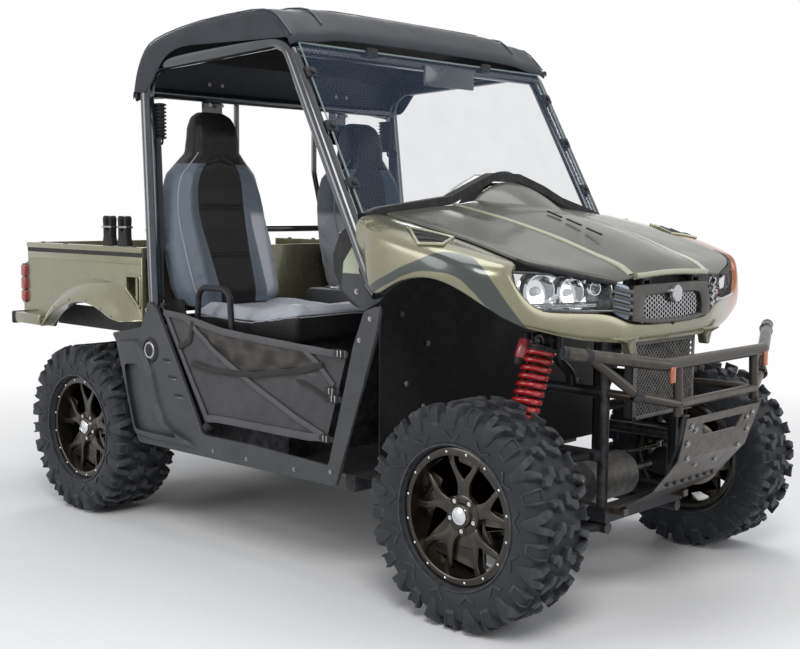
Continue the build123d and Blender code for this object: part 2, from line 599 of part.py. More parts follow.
def make_hoop(side):
    """Curved tube behind each seat's shoulder, with the plate behind the headrest, drawn at +Y."""
    x, z = b_bar[0] - HEADER_RADIUS - HOOP_RADIUS + 3, b_bar[2]
    hoop = bent_tube([(x, 205, z), (x, 205, 1330), (bar_x - 8, 265, bar_z)], HOOP_RADIUS, 90)
    wide, tall = PLATE_SIZE
    back = b_bar[0] - HEADER_RADIUS + 2
    plate = block((back - 4, back), (PLATE_Y - wide / 2, PLATE_Y + wide / 2), (z - tall, z + 4))
    return flip(solids(hoop, plate), side)


parts["roll_cage"] = solids(cage, *both(make_hoop))

ROOF_EDGE_DROP = 30.0             # the crown's height over the roof's side edge
ROOF_CROWN_Y = 480.0
ROOF_OUTLINE = [                  # x, drop below the crown: outer edge from the rear foot to the front
    (-622, 258), (-618, 180), (-592, 112), (-545, 66), (-435, 33), (-232, 8), (61, 0), (140, 14),
    (234, 96), (240, 132), (205, 138)]
ROOF_INSIDE = [                   # the side skirt's lower edge, back to the rear foot
    (-350, 116), (-430, 132), (-478, 190), (-520, 268)]


def make_roof():
    """Roof shell: top, side skirts and rear wrap, open below."""
    outline = [(x, ROOF_Z - drop) for x, drop in ROOF_OUTLINE + ROOF_INSIDE]
    shell = side_plate(outline, -ROOF_SIDE_Y, ROOF_SIDE_Y)
    reach, low = ROOF_SIDE_Y + 1, ROOF_Z - ROOF_EDGE_DROP
    for side in SIDES.values():
        edge = front_plate([(side * ROOF_CROWN_Y, ROOF_Z + 1), (side * reach, low),
                            (side * reach, ROOF_Z + 1)], -TIP_X, TIP_X)
        shell -= edge
    wall = ROOF_WALL
    inside = [(-622 + wall, ROOF_Z - 300), (-618 + wall, ROOF_Z - 182), (-592 + wall, ROOF_Z - 116),
              (-541, ROOF_Z - 72), (-433, ROOF_Z - 33 - wall), (-232, ROOF_Z - 8 - wall),
              (61, ROOF_Z - wall), (136, ROOF_Z - 16 - wall), (226, ROOF_Z - 98), (231, ROOF_Z - 150),
              (231, ROOF_Z - 300)]
    hollow_y = ROOF_SIDE_Y - wall
    hollow = side_plate(inside, -hollow_y, hollow_y)
    for side in SIDES.values():
        edge = front_plate([(side * ROOF_CROWN_Y, ROOF_Z + 1 - wall), (side * reach, low - wall),
                            (side * reach, ROOF_Z + 1)], -TIP_X, TIP_X)
        hollow -= edge
    return shell - hollow


parts["roof"] = make_roof()

GLASS_THICK = 5.0
GLASS_Y = 628.0
GLASS_LOW_Z = 1172.0
GLASS_TOP_Z = ROOF_Z - 148.0
GLASS_AHEAD = TUBE_RADIUS + 6.0   # in front of the front pillars' middle


def glass_x(z, ahead=GLASS_AHEAD):
    """X of the windshield's rear face at height z."""
    low, high = CAGE_A_LOW, CAGE_A_TOP
    slope = (high[0] - low[0]) / (high[2] - low[2])
    return low[0] + (z - low[2]) * slope + ahead * math.hypot(1, slope)


COWL_LINE = [                     # y, z: seal under the windshield, with the hump over the dials
    (-640, 1142), (-560, 1166), (-225, 1206), (-115, 1248), (-10, 1286), (130, 1286), (270, 1248),
    (385, 1206), (560, 1166), (640, 1142)]
SEAL_HIGH = 22.0


def make_glass():
    """Tilted pane, cut to the cowl's line."""
    low, high = GLASS_LOW_Z - 40, GLASS_TOP_Z
    depth = GLASS_THICK * math.hypot(1, (CAGE_A_TOP[0] - CAGE_A_LOW[0]) / (CAGE_A_TOP[2] - CAGE_A_LOW[2]))
    pane = side_plate([(glass_x(low), low), (glass_x(high), high), (glass_x(high) + depth, high),
                       (glass_x(low) + depth, low)], -GLASS_Y, GLASS_Y)
    under = [(y, z + SEAL_HIGH + FIT_GAP) for y, z in COWL_LINE]
    cut = front_plate(under + [(GLASS_Y + 40, 1000), (-GLASS_Y - 40, 1000)], -TIP_X, TIP_X)
    return pane - cut


parts["windshield"] = make_glass()
MIRROR_X = 234.0
MIRROR_HIGH = 68.0
mirror_plate = block((MIRROR_X - 6, MIRROR_X), (-30, 235), (HEADER_Z - MIRROR_HIGH, HEADER_Z))
mirror_stalk = block((a_mid[0] + HEADER_RADIUS + FIT_GAP, MIRROR_X), (85, 115),
                     (HEADER_Z - HEADER_RADIUS + 1, HEADER_Z + 14))
parts["mirror"] = solids(mirror_plate, mirror_stalk)

# ---- front body ----
BODY_Y = 735.0                    # outer face of the front fenders
PANEL = 5.0
SEAM_Y = 560.0                    # hood to fender
FRONT_PLAN = [                    # x, y: outer face of the fender and nose, seen from above
    (560, 690), (700, BODY_Y), (950, BODY_Y), (1050, 700), (1125, 620), (1185, 430), (1236, 225), (1242, 0)]
FENDER_TOP = [                    # x, z: top edge along the hood's seam
    (560, 1168), (786, 1122), (939, 1084), (1062, 1044), (1098, 1030), (1128, 903), (1260, 888)]
FENDER_LOW = [                    # x, z: lower edge, from the nose back round the wheel arch
    (1260, 806), (1200, 804), (1150, 838), (1088, 900), (1000, 962), (930, 990), (870, 992), (811, 985),
    (744, 958), (690, 925), (640, 960), (614, 1040), (560, 1080)]


def shift_plan(points, inset):
    """A plan outline moved inwards by about one wall."""
    return [(x - (inset if x > 960 else 0), max(0.0, y - inset)) for x, y in points]


def make_front_body():
    """Fenders, nose band and deck beside the hood, as one shell."""
    outer = FRONT_PLAN + [(x, -y) for x, y in reversed(FRONT_PLAN[:-1])]
    inner_half = shift_plan(FRONT_PLAN, PANEL)
    inner = inner_half + [(x, -y) for x, y in reversed(inner_half[:-1])]
    inner[0] = (500, inner[0][1])
    inner[-1] = (500, inner[-1][1])
    wall = plan_plate(outer, 700, 1200) - plan_plate(inner, 690, 1210)
    wall = wall & side_plate(FENDER_TOP + FENDER_LOW, -BODY_Y - 5, BODY_Y + 5)
    deck_line = FENDER_TOP[:5]
    deck = [(x, z) for x, z in deck_line] + [(x, z - PANEL) for x, z in reversed(deck_line)]
    deck_plan = [(x, y) for x, y in FRONT_PLAN if x < 1110] + [(1098, 640), (1098, SEAM_Y), (560, SEAM_Y)]
    pieces = [wall]
    for side in SIDES.values():
        strip = side_plate(deck, SEAM_Y, BODY_Y)
        pieces.append(flip(strip & plan_plate(deck_plan, 900, 1300), side))
        pieces.append(flip(side_plate([(612, 1154), (612, 1020), (618, 1020), (618, 1152)], SEAM_Y, 698), side))
        pieces.append(flip(block((FIREWALL_X + FIT_GAP, 614), (SEAM_Y + 5, CAB_Y - 5), (1030, 1070)), side))
    return solids(*pieces)


parts["front_body"] = make_front_body()

HOOD_THICK = 5.0
HOOD_HINGE = (1226.0, 986.0)      # x, z of the hood's hinge pins
HOOD_SECTIONS = [                 # x, seam y, seam z, line y, line z, centre z
    (560, SEAM_Y - 4, 1170, 232, 1199, 1222),
    (740, SEAM_Y - 4, 1136, 228, 1160, 1192),
    (975, SEAM_Y - 4, 1078, 222, 1096, 1132),
    (1098, SEAM_Y - 4, 1040, 216, 1052, 1088),
    (1185, 430, 1010, 214, 1022, 1042),
    (1226, 290, 984, 212, 996, 1000)]
HUMP_SECTIONS = [                 # x, half width, middle y, foot z, top z
    (545, 215, 62, 1186, 1284),
    (600, 190, 66, 1178, 1262),
    (720, 110, 74, 1150, 1200)]


def hood_section(x, seam_y, seam_z, line_y, line_z, centre_z):
    """One cross section of the hood shell."""
    top = [(-seam_y, seam_z), (-line_y, line_z), (0, centre_z), (line_y, line_z), (seam_y, seam_z)]
    low = [(y, z - HOOD_THICK) for y, z in reversed(top)]
    return make_face(Polyline([(x, y, z) for y, z in top + low], close=True)).face()


def make_hood():
    """Hood shell with the hump ahead of the dials."""
    shell = loft([hood_section(*row) for row in HOOD_SECTIONS], ruled=True)
    faces = []
    for x, half, middle, foot, top in HUMP_SECTIONS:
        outline = [(middle - half, foot), (middle - 0.35 * half, top), (middle + 0.35 * half, top),
                   (middle + half, foot)]
        faces.append(make_face(Polyline([(x, y, z) for y, z in outline], close=True)).face())
    return shell + loft(faces, ruled=True)


hood_shell = make_hood()
SEAL_Y = 618.0
seal = front_plate([(y, z + SEAL_HIGH) for y, z in COWL_LINE] + [(y, z - 6) for y, z in reversed(COWL_LINE)],
                   500, 539)
seal = seal & block((400, 700), (-SEAL_Y, SEAL_Y), (1000, 1400))
parts["cowl_seal"] = seal

GRILLE_Y = 290.0
LAMP_IN_Y = GRILLE_Y + FIT_GAP    # inner end of each headlight, against the grille
LAMP_PLAN = [(1086, 590), (1112, 606), (1172, 426), (1208, LAMP_IN_Y), (1120, LAMP_IN_Y)]
LAMP_FRONT = [(x, z) for x, z in ((1090, 1022), (1108, 908), (1230, 894), (1230, 976), (1180, 1000))]


def make_headlight(side):
    """One headlight block behind its lens, drawn at +Y."""
    lamp = plan_plate(LAMP_PLAN, 890, 1030) & side_plate(LAMP_FRONT, 200, 700)
    return flip(lamp, side)


parts["headlights"] = Compound([lamp.solid() for lamp in both(make_headlight)])

GRILLE_TOP_Z = 978.0
(NOSE_BACK_X, NOSE_BACK_Z), (NOSE_X, NOSE_Z) = FENDER_TOP[-2:]
nose_slope = (NOSE_Z - NOSE_BACK_Z) / (NOSE_X - NOSE_BACK_X)
grille = plan_plate([(1180, -GRILLE_Y), (1216, -GRILLE_Y), (1244, -216), (1250, 0), (1244, 216),
                     (1216, GRILLE_Y), (1180, GRILLE_Y)], 870, GRILLE_TOP_Z)
seat_line = [(x, NOSE_Z + (x - NOSE_X) * nose_slope + FIT_GAP) for x in (1100, 1300)]
grille -= side_plate(seat_line + [(1300, 800), (1100, 800)], -GRILLE_Y - 10, GRILLE_Y + 10)
mesh_outline = [(-150, 958), (150, 958), (138, 908), (-138, 908)]
grille -= front_plate(mesh_outline, 1222, 1300)
HINGE_BARREL_RADIUS = 8.0         # hood hinge
HINGE_BARREL_Y = (120.0, 160.0)
HOOD_PIN = 3.0
EAR_RADIUS = 5.0
EAR_WIDE = 4.0
EAR_GAP = 1.0
hinge_x, hinge_z = HOOD_HINGE
ears, barrels, barrel_bores = [], [], []
for side in SIDES.values():
    low_y, high_y = HINGE_BARREL_Y
    ear_low, ear_high = low_y - EAR_GAP - EAR_WIDE, high_y + EAR_GAP + EAR_WIDE
    grille -= flip(block((hinge_x - HINGE_BARREL_RADIUS - 2, NOSE_X), (low_y - EAR_GAP, high_y + EAR_GAP),
                         (hinge_z - HINGE_BARREL_RADIUS - 4, hinge_z)), side)
    for y in (ear_low, ear_high - EAR_WIDE):
        ears.append(flip(rod((hinge_x, y, hinge_z), (hinge_x, y + EAR_WIDE, hinge_z), EAR_RADIUS), side))
        ears.append(flip(block((hinge_x - EAR_RADIUS + 1, hinge_x + EAR_RADIUS - 1), (y, y + EAR_WIDE),
                               (GRILLE_TOP_Z - 6, hinge_z)), side))
    ears.append(flip(rod((hinge_x, ear_low, hinge_z), (hinge_x, ear_high, hinge_z), HOOD_PIN), side))
    barrels.append(flip(rod((hinge_x, low_y, hinge_z), (hinge_x, high_y, hinge_z), HINGE_BARREL_RADIUS), side))
    barrel_bores.append(flip(rod((hinge_x, low_y - 1, hinge_z), (hinge_x, high_y + 1, hinge_z),
                                 HOOD_PIN + FIT_GAP), side))
parts["grille"] = solids(grille, *ears)
hood = solids(hood_shell, *barrels)
for bore in barrel_bores:
    hood -= bore
parts["hood"] = hood

# ---- bumper and skid plate ----
BAR_RADIUS = 18.0
BUMPER_TOP = [(1255, 583, 803), (1392, 289, 757)]
POST_X = 1398.0
POST_Y = 224.0
POST_Z = (606.0, 754.0)


def make_bumper():
    """Brush guard: upper tube, posts, lower tube, side struts and mounts."""
    left = BUMPER_TOP + [(POST_X, POST_Y, POST_Z[1])]
    points = left + [(x, -y, z) for x, y, z in reversed(left)]
    upper = bent_tube([points[0], points[1], points[4], points[5]], BAR_RADIUS, 60)
    pieces = [upper]
    for side in SIDES.values():
        pieces.append(rod((POST_X, side * POST_Y, POST_Z[0]), (POST_X - 6, side * POST_Y, POST_Z[1]), 14))
        strut = bent_tube([(1285, side * 515, 792), (1350, side * 360, 672), (POST_X, side * POST_Y, 640)],
                          14, 60)
        pieces.append(strut)
        start_x = FRONT_LEG_X[1] + TOWER_RADIUS + FIT_GAP
        pieces.append(rod((start_x, side * RAIL_Y, 640), (POST_X, side * (POST_Y - 2), 640), 13))
    pieces.append(rod((POST_X, -POST_Y, 640), (POST_X, POST_Y, 640), 14))
    return solids(*pieces)


parts["front_bumper"] = make_bumper()

SKID_SIDE = [                     # x, z down the middle of the skid plate
    (TIP_X, 600), (1388, 470), (1300, RAIL_Z + 92), (1185, RAIL_Z + 20)]
SKID_THICK = 6.0
SKID_FRONT = [(-222, 620), (222, 620), (205, 520), (190, 420), (186, 250), (-186, 250), (-190, 420),
              (-205, 520)]


def make_skid():
    """Curved plate under the nose, with a slot window near its top."""
    back = [(x - SKID_THICK * 1.1, z - SKID_THICK * 0.35) for x, z in reversed(SKID_SIDE)]
    plate = side_plate(SKID_SIDE + back, -230, 230)
    plate = plate & front_plate(SKID_FRONT, 1100, 1500)
    plate -= front_plate([(-120, 575), (120, 575), (100, 535), (-100, 535)], 1300, 1500)
    for side in SIDES.values():
        plate += flip(block((FRAME_FRONT_X + FIT_GAP, 1202), (160, 186),
                            (RAIL_Z + 2, RAIL_Z + RAIL_SIZE / 2)), side)
    return plate


parts["skid_plate"] = make_skid()
RADIATOR_X = (1176.0, 1216.0)
radiator = block(RADIATOR_X, (-172, 172), (560, 800))
lug_x = (FRONT_LEG_X[1] + CROSS_RADIUS + FIT_GAP, RADIATOR_X[0] + 1)
for side in SIDES.values():
    radiator += flip(block(lug_x, (90, 110), (590, 610)), side)
parts["radiator"] = radiator

# ---- doors: fabric panels that swing on slanted rods ----
DOOR_Y = 684.0                    # middle of the hinge rod
ROD_TOP = (-440.0, 839.0)         # x, z of the hinge rod's ends
ROD_LOW = (-169.0, 416.0)
ROD_RADIUS = 6.0
SLEEVE_RADIUS = 11.0
LUG_RADIUS = 8.0                  # lugs that carry the rod's ends behind the side panel
POST_EDGE = 26.0                  # hinge rod to the panel's edge behind it
DOOR_THICK = 8.0
ROD_RUN = math.hypot(ROD_TOP[0] - ROD_LOW[0], ROD_TOP[1] - ROD_LOW[1])
ROD_WAY = ((ROD_TOP[0] - ROD_LOW[0]) / ROD_RUN, (ROD_TOP[1] - ROD_LOW[1]) / ROD_RUN)
DOOR_FRONT = [(538, 762), (455, 752), (150, 767), (-87, 780), (-310, 818)]
DOOR_BASE = [(-120, 447), (352, 450), (432, 459)]


def on_rod(distance, ahead=0.0):
    """Point (x, z) at a distance up the hinge rod from its foot, moved ahead of it."""
    x = ROD_LOW[0] + ROD_WAY[0] * distance + ROD_WAY[1] * ahead
    z = ROD_LOW[1] + ROD_WAY[1] * distance - ROD_WAY[0] * ahead
    return (x, z)


SLEEVE_RUN = (34.0, ROD_RUN - 34.0)


def make_door(side):
    """Door sheet with its sleeve, drawn at +Y."""
    low, high = (on_rod(run) for run in SLEEVE_RUN)
    sleeve = rod((low[0], DOOR_Y, low[1]), (high[0], DOOR_Y, high[1]), SLEEVE_RADIUS, ROD_RADIUS + FIT_GAP)
    edge = ROD_RADIUS + 2
    sheet = side_plate([on_rod(SLEEVE_RUN[1] - 4, edge)] + DOOR_FRONT[::-1] + DOOR_BASE[::-1]
                       + [on_rod(SLEEVE_RUN[0] + 4, edge)], DOOR_Y - DOOR_THICK / 2, DOOR_Y + DOOR_THICK / 2)
    return flip(solids(sleeve, sheet), side)


def make_door_rod(side):
    """Fixed hinge rod with a bracket at each end, drawn at +Y."""
    foot, top = ROD_LOW, ROD_TOP
    bar = rod((foot[0], DOOR_Y, foot[1]), (top[0], DOOR_Y, top[1]), ROD_RADIUS)
    feet = []
    lug_y = SIDE_Y - PANEL_DEEP - FIT_GAP - LUG_RADIUS
    for run in (LUG_RADIUS + 2, ROD_RUN - LUG_RADIUS - 2):
        x, z = on_rod(run, LUG_RADIUS + 1)
        behind_x, behind_z = on_rod(run, -POST_EDGE - 2 * LUG_RADIUS)
        feet.append(rod((x, lug_y, z), (behind_x, lug_y, behind_z), LUG_RADIUS))
    return flip(solids(bar, *feet), side)


# ---- side panels: rear quarter, sill and front leg in one ----
PANEL_DEEP = 14.0
edge_top, edge_low = on_rod(ROD_RUN, -POST_EDGE), on_rod(-14.0, -POST_EDGE)
SIDE_OUTLINE = [
    (-737, 712), (-700, 660), (-655, 560), (-600, 400), (-566, SILL_LOW_Z), (-60, SILL_LOW_Z + 4),
    (490, SILL_LOW_Z + 10), (502, 355), (531, 442), (609, 656), (668, 828), (682, 905), (612, 880),
    (566, 772), (494, 514), (457, 389), (90, SILL_TOP_Z), edge_low, edge_top, (-520, 846), (-545, 748)]


def make_side_panel(side):
    """Side panel with a sill box behind it, drawn at +Y."""
    panel = side_plate(SIDE_OUTLINE, SIDE_Y - PANEL_DEEP, SIDE_Y)
    sill = side_plate([(-540, SILL_LOW_Z + 6), (480, SILL_LOW_Z + 12), (452, 384), (-470, 392)],
                      OUTRIGGER_Y + FIT_GAP, SIDE_Y - PANEL_DEEP + 1)
    sill -= side_plate([(-530, SILL_LOW_Z + 12), (472, SILL_LOW_Z + 18), (447, 378), (-464, 386)],
                       OUTRIGGER_Y + 6, SIDE_Y - PANEL_DEEP - 6)
    filler = rod((-484, SIDE_Y - PANEL_DEEP - 10, 668), (-484, SIDE_Y + 4, 668), 40)
    return flip(solids(panel, sill, filler), side)


parts["side_panels"] = pair(make_side_panel)
parts["door_rods"] = pair(make_door_rod)
for hand, side in SIDES.items():
    parts[f"door_{hand}"] = make_door(side)


def make_pillar_plate(side):
    """Plates that clamp each front pillar's foot to the body, drawn at +Y."""
    plate = side_plate([(440, 1020), (430, 930), (531, 871), (600, 905), (640, 950), (600, 1000), (580, 1060),
                        (505, 1100)],
                       CAGE_A_LOW[1] - TUBE_RADIUS - 12, CAGE_A_LOW[1] - TUBE_RADIUS - 6.3)
    return flip(plate, side)


parts["pillar_plates"] = pair(make_pillar_plate)

# ---- dashboard and steering ----
DASH_FRONT_X = FIREWALL_X - PAN_THICK - FIT_GAP
DASH_SIDE = [                     # x, z
    (DASH_FRONT_X, 1122), (500, 1128), (440, 1136), (398, 1105), (368, 1040), (372, 985), (420, 905),
    (470, 880), (DASH_FRONT_X, 860)]
DASH_Y = 600.0
dash = side_plate(DASH_SIDE, -DASH_Y, DASH_Y)
dash -= side_plate([(700, 1112), (505, 1120), (446, 1128), (405, 1100), (376, 1040), (380, 989), (425, 912),
                    (474, 888), (700, 868)], -DASH_Y + 6, DASH_Y - 6)
pod = loft([make_face(Polyline([(x, y, z) for y, z in outline], close=True)).face() for x, outline in (
    (400, [(-40, 1120), (0, 1235), (140, 1235), (180, 1120)]),
    (498, [(-60, 1140), (-10, 1276), (130, 1276), (200, 1140)]))], ruled=True)
parts["dashboard"] = solids(dash, pod)

WHEEL_CENTRE = (175.0, SEAT_Y, 1190.0)
COLUMN_TILT = 35.0                # column above the horizontal
WHEEL_RADIUS = 168.0
GRIP_RADIUS = 14.0
COLUMN_AXIS = (-math.cos(math.radians(COLUMN_TILT)), 0.0, math.sin(math.radians(COLUMN_TILT)))


def down_column(distance):
    """Point on the column's axis, below the wheel's middle."""
    return tuple(c - a * distance for c, a in zip(WHEEL_CENTRE, COLUMN_AXIS))


def make_steering_wheel():
    """Grip ring, three spokes, hub and a short shaft."""
    plane = Plane(origin=WHEEL_CENTRE, x_dir=(0, 1, 0), z_dir=COLUMN_AXIS)
    grip = plane * Torus(WHEEL_RADIUS, GRIP_RADIUS)
    hub = rod(down_column(46), down_column(-6), 42)
    shaft = rod(down_column(96), down_column(40), 11)
    spokes = []
    for angle in (0, 180, 270):
        spoke = Pos((WHEEL_RADIUS + 20) / 2, 0, 0) * Box(WHEEL_RADIUS - 20, 34, 12)
        spokes.append(plane * (spoke.rotate(Axis.Z, angle)))
    return solids(grip, hub, shaft, *spokes)


parts["steering_wheel"] = make_steering_wheel()
column = rod(down_column(52), down_column(330), 26, 0)
column -= rod(down_column(50), down_column(100), 11 + FIT_GAP)
dash_hole = rod(down_column(150), down_column(700), 26 + FIT_GAP)
parts["dashboard"] = parts["dashboard"] - dash_hole
parts["steering_column"] = column

# ---- seats, rails, belts ----
SEAT_HALF = 224.0
CUSHION_SIDE = [                  # x, z
    (205, SEAT_Z + 18), (190, 768), (150, base_top + FIT_GAP), (-380, base_top + FIT_GAP),
    (-400, SEAT_Z - 6), (-60, SEAT_Z - 30)]
(CUSHION_REAR_X, CUSHION_REAR_Z), (DIP_X, DIP_Z) = CUSHION_SIDE[-2:]


def on_cushion(x):
    """Height at which the back rests on the cushion at x."""
    share = (x - CUSHION_REAR_X) / (DIP_X - CUSHION_REAR_X)
    return CUSHION_REAR_Z + share * (DIP_Z - CUSHION_REAR_Z) + FIT_GAP


BACK_SIDE = [
    (-392, on_cushion(-392)), (-345, on_cushion(-345)), (-440, 1010), (-505, 1180), (-478, 1330), (-470, 1440),
    (-490, 1545), (-560, 1552), (-572, 1420), (-590, 1250), (-580, 1060), (-500, SEAT_Z + 2)]
BACK_FRONT = [                    # half width, z: seen from ahead
    (200, DIP_Z), (220, 960), (SEAT_HALF, 1180), (205, 1300), (120, 1390), (105, 1480), (70, 1556)]


def make_seat(side):
    """Cushion and back, two soft solids, drawn at +Y."""
    cushion = side_plate(CUSHION_SIDE, SEAT_Y - SEAT_HALF, SEAT_Y + SEAT_HALF)
    back = side_plate(BACK_SIDE, SEAT_Y - SEAT_HALF, SEAT_Y + SEAT_HALF)
    outline = [(SEAT_Y + y, z) for y, z in BACK_FRONT] + [(SEAT_Y - y, z) for y, z in reversed(BACK_FRONT)]
    back = back & front_plate(outline, -700, 0)
    return flip(Compound([cushion] + list(back.solids())), side)


parts["seats"] = pair(make_seat)

HIP_RADIUS = 11.0
HIP_Y = 652.0


def make_hip_rail(side):
    """Grab hoop beside the seat, with a foot on the seat base, drawn at +Y."""
    hoop = bent_tube([(-280, HIP_Y, 700), (-262, HIP_Y, 905), (-92, HIP_Y, 905), (-74, HIP_Y, 700)],
                     HIP_RADIUS, 45)
    feet = block((-290, -64), (base_outer_y + FIT_GAP, HIP_Y + 4), (690, 715))
    return flip(solids(hoop, feet), side)


parts["hip_rails"] = pair(make_hip_rail)


BELT_TOP_Z = SEAT_HEADER_Z - 40.0


def make_belt(side):
    """Shoulder belt from its guide on the rear pillar to the buckle, drawn at +Y."""
    x, y, z = along_tube(CAGE_B_LOW, CAGE_B_TOP, BELT_TOP_Z)
    inside = y - TUBE_RADIUS - FIT_GAP
    reel = block((x - 24, x + 34), (inside - 30, inside), (BELT_TOP_Z - 130, BELT_TOP_Z))
    outer = SEAT_Y + SEAT_HALF + 2
    webbing = block((x + 4, x + 50), (outer, outer + 2.5), (800, BELT_TOP_Z - 128))
    low_z = b_foot[2] + HEADER_RADIUS + FIT_GAP
    low = block((x + 4, b_foot[0] + 10), (outer - 12, outer + 8), (low_z, 802))
    return flip(solids(reel, webbing, low), side)


parts["seat_belts"] = pair(make_belt)

console = block((-330, 120), (-105, 105), (base_top + FIT_GAP, 880))
lever = rod((40, 0, 880), (62, 0, 1000), 8) + Pos(62, 0, 1006) * Sphere(22)
parts["console"] = solids(console, lever)
pedals = []
for y in (SEAT_Y - 80, SEAT_Y + 60):
    pedals.append(block((520, 532), (y - 30, y + 30), (430, 520)))
    pedals.append(rod((532, y, 475), (FIREWALL_X - PAN_THICK / 2, y, 560), 8))
parts["floor_pan"] = solids(floor_pan, *pedals)

# ---- cargo bed ----
BED_REAR_X = -TIP_X
BED_WALL = 12.0
BED_SKIN = 6.0
HOUSING_X = (-1190.0, BED_WALL_X - BED_WALL)   # boxes over the rear wheels
HOUSING_Y = 382.0
HOUSING_Z = 940.0
TAIL_X = -1384.0
GATE_THICK = 30.0
GATE_Y = 620.0
BED_SIDE = [
    (BED_FRONT_X, BED_TOP_Z), (-1376, BED_TOP_Z), (-1386, 958), (-1416, 945), (BED_REAR_X, 790),
    (BED_REAR_X, 700), (-1195, 700), (-1145, 764), (-1071, 806), (-944, 840), (-817, 834), (-700, 775),
    (-640, 762), (BED_FRONT_X, 762)]
BED_WINDOW = [(-668, 928), (-578, 930), (-578, 806), (-670, 880)]
RAIL_LIP = (34.0, 46.0)           # bed rail, inwards and down


def make_bed():
    """Open box with wheel housings, rails and two hinge brackets."""
    x_low, x_high = TAIL_X, BED_WALL_X
    low, high = BED_FLOOR_Z - BED_SKIN, BED_FLOOR_Z
    inner = BED_SIDE_Y - BED_WALL
    floor = block((x_low, x_high), (-inner - 2, inner + 2), (low, high))
    pieces = []
    for side in SIDES.values():
        floor -= flip(block(HOUSING_X, (HOUSING_Y, inner + 4), (low - 1, high + 1)), side)
        wall = side_plate(BED_SIDE, inner, BED_SIDE_Y) - side_plate(BED_WINDOW, inner - 1, BED_SIDE_Y + 1)
        lip = block((-1376, BED_FRONT_X), (BED_SIDE_Y - RAIL_LIP[0], BED_SIDE_Y),
                    (BED_TOP_Z - RAIL_LIP[1], BED_TOP_Z))
        house = block(HOUSING_X, (HOUSING_Y, inner + 2), (low, HOUSING_Z))
        house -= block((HOUSING_X[0] + BED_SKIN, HOUSING_X[1] + 1),
                       (HOUSING_Y + BED_SKIN, inner + 4), (low - 1, HOUSING_Z - BED_SKIN))
        column = block((BED_REAR_X, TAIL_X), (GATE_Y + MOVE_GAP, BED_SIDE_Y), (700, 945))
        pieces += [flip(shape, side) for shape in (wall, lip, house, column)]
    pieces.append(floor)
    pieces.append(block((BED_WALL_X - BED_WALL, BED_WALL_X), (-BED_SIDE_Y + 1, BED_SIDE_Y - 1),
                        (BED_FLOOR_Z - BED_SKIN, BED_TOP_Z)))
    hinge_x, hinge_z = BED_HINGE
    for side in SIDES.values():
        bracket = block((hinge_x - 28, hinge_x + 28), (BED_HINGE_Y - 8, BED_HINGE_Y + 8),
                        (hinge_z - 24, low + 1))
        bracket -= rod((hinge_x, BED_HINGE_Y - 20, hinge_z), (hinge_x, BED_HINGE_Y + 20, hinge_z),
                       HINGE_PIN + FIT_GAP)
        pieces.append(flip(bracket, side))
    return solids(*pieces)


parts["cargo_bed"] = make_bed()

FLARE_Y = 745.0
FLARE_OUT = [(-1222, 700), (-1150, 813), (-1034, 882), (-888, 908), (-746, 900), (-650, 852), (-566, 762)]
FLARE_IN = [(-690, 762), (-817, 814), (-944, 818), (-1071, 780), (-1180, 703)]


def make_flare(side):
    """Wheel flare on the bed's side, with a step behind it, drawn at +Y."""
    arch = side_plate(FLARE_OUT + FLARE_IN, BED_SIDE_Y + FIT_GAP, FLARE_Y)
    step = block((BED_REAR_X, -1200), (BED_SIDE_Y + FIT_GAP, FLARE_Y - 10), (700, 752))
    return flip(solids(arch, step), side)


parts["rear_fenders"] = pair(make_flare)
lamps = [flip(block((BED_REAR_X, -1392), (BED_SIDE_Y + FIT_GAP, BED_SIDE_Y + 14), (790, 944)), side)
         for side in SIDES.values()]
parts["tail_lamps"] = Compound(lamps)
GATE_LOW_Z = BED_FLOOR_Z + MOVE_GAP
gate_outer = TAIL_X - MOVE_GAP
gate = block((gate_outer - GATE_THICK, gate_outer), (-GATE_Y, GATE_Y), (GATE_LOW_Z, BED_TOP_Z))
GATE_PIN_Z = GATE_LOW_Z + 14
GATE_PIN_X = gate_outer - 14
GATE_PIN = 7.0
gate_hinges = []
for side in SIDES.values():
    gate -= rod((GATE_PIN_X, side * (GATE_Y - 40), GATE_PIN_Z), (GATE_PIN_X, side * (GATE_Y + 1), GATE_PIN_Z),
                GATE_PIN + FIT_GAP)
    gate_hinges.append(rod((GATE_PIN_X, side * (GATE_Y - 36), GATE_PIN_Z),
                           (GATE_PIN_X, side * (GATE_Y + MOVE_GAP + 2), GATE_PIN_Z), GATE_PIN))
parts["cargo_bed"] = solids(parts["cargo_bed"], *gate_hinges)
parts["tailgate"] = gate

# tool clamps on the right rail
clamp_solids = []
for x in (-800.0, -700.0):
    foot = block((x - 34, x + 34), (-BED_SIDE_Y + 2, -BED_SIDE_Y + 30), (BED_TOP_Z + FIT_GAP, BED_TOP_Z + 30))
    fork = block((x - 26, x - 12), (-BED_SIDE_Y + 4, -BED_SIDE_Y + 28), (BED_TOP_Z + 28, 1152))
    fork += block((x + 12, x + 26), (-BED_SIDE_Y + 4, -BED_SIDE_Y + 28), (BED_TOP_Z + 28, 1152))
    fork += block((x - 26, x + 26), (-BED_SIDE_Y + 4, -BED_SIDE_Y + 28), (BED_TOP_Z + 28, BED_TOP_Z + 52))
    clamp_solids.append(solids(foot, fork))
parts["tool_clamps"] = Compound(clamp_solids)

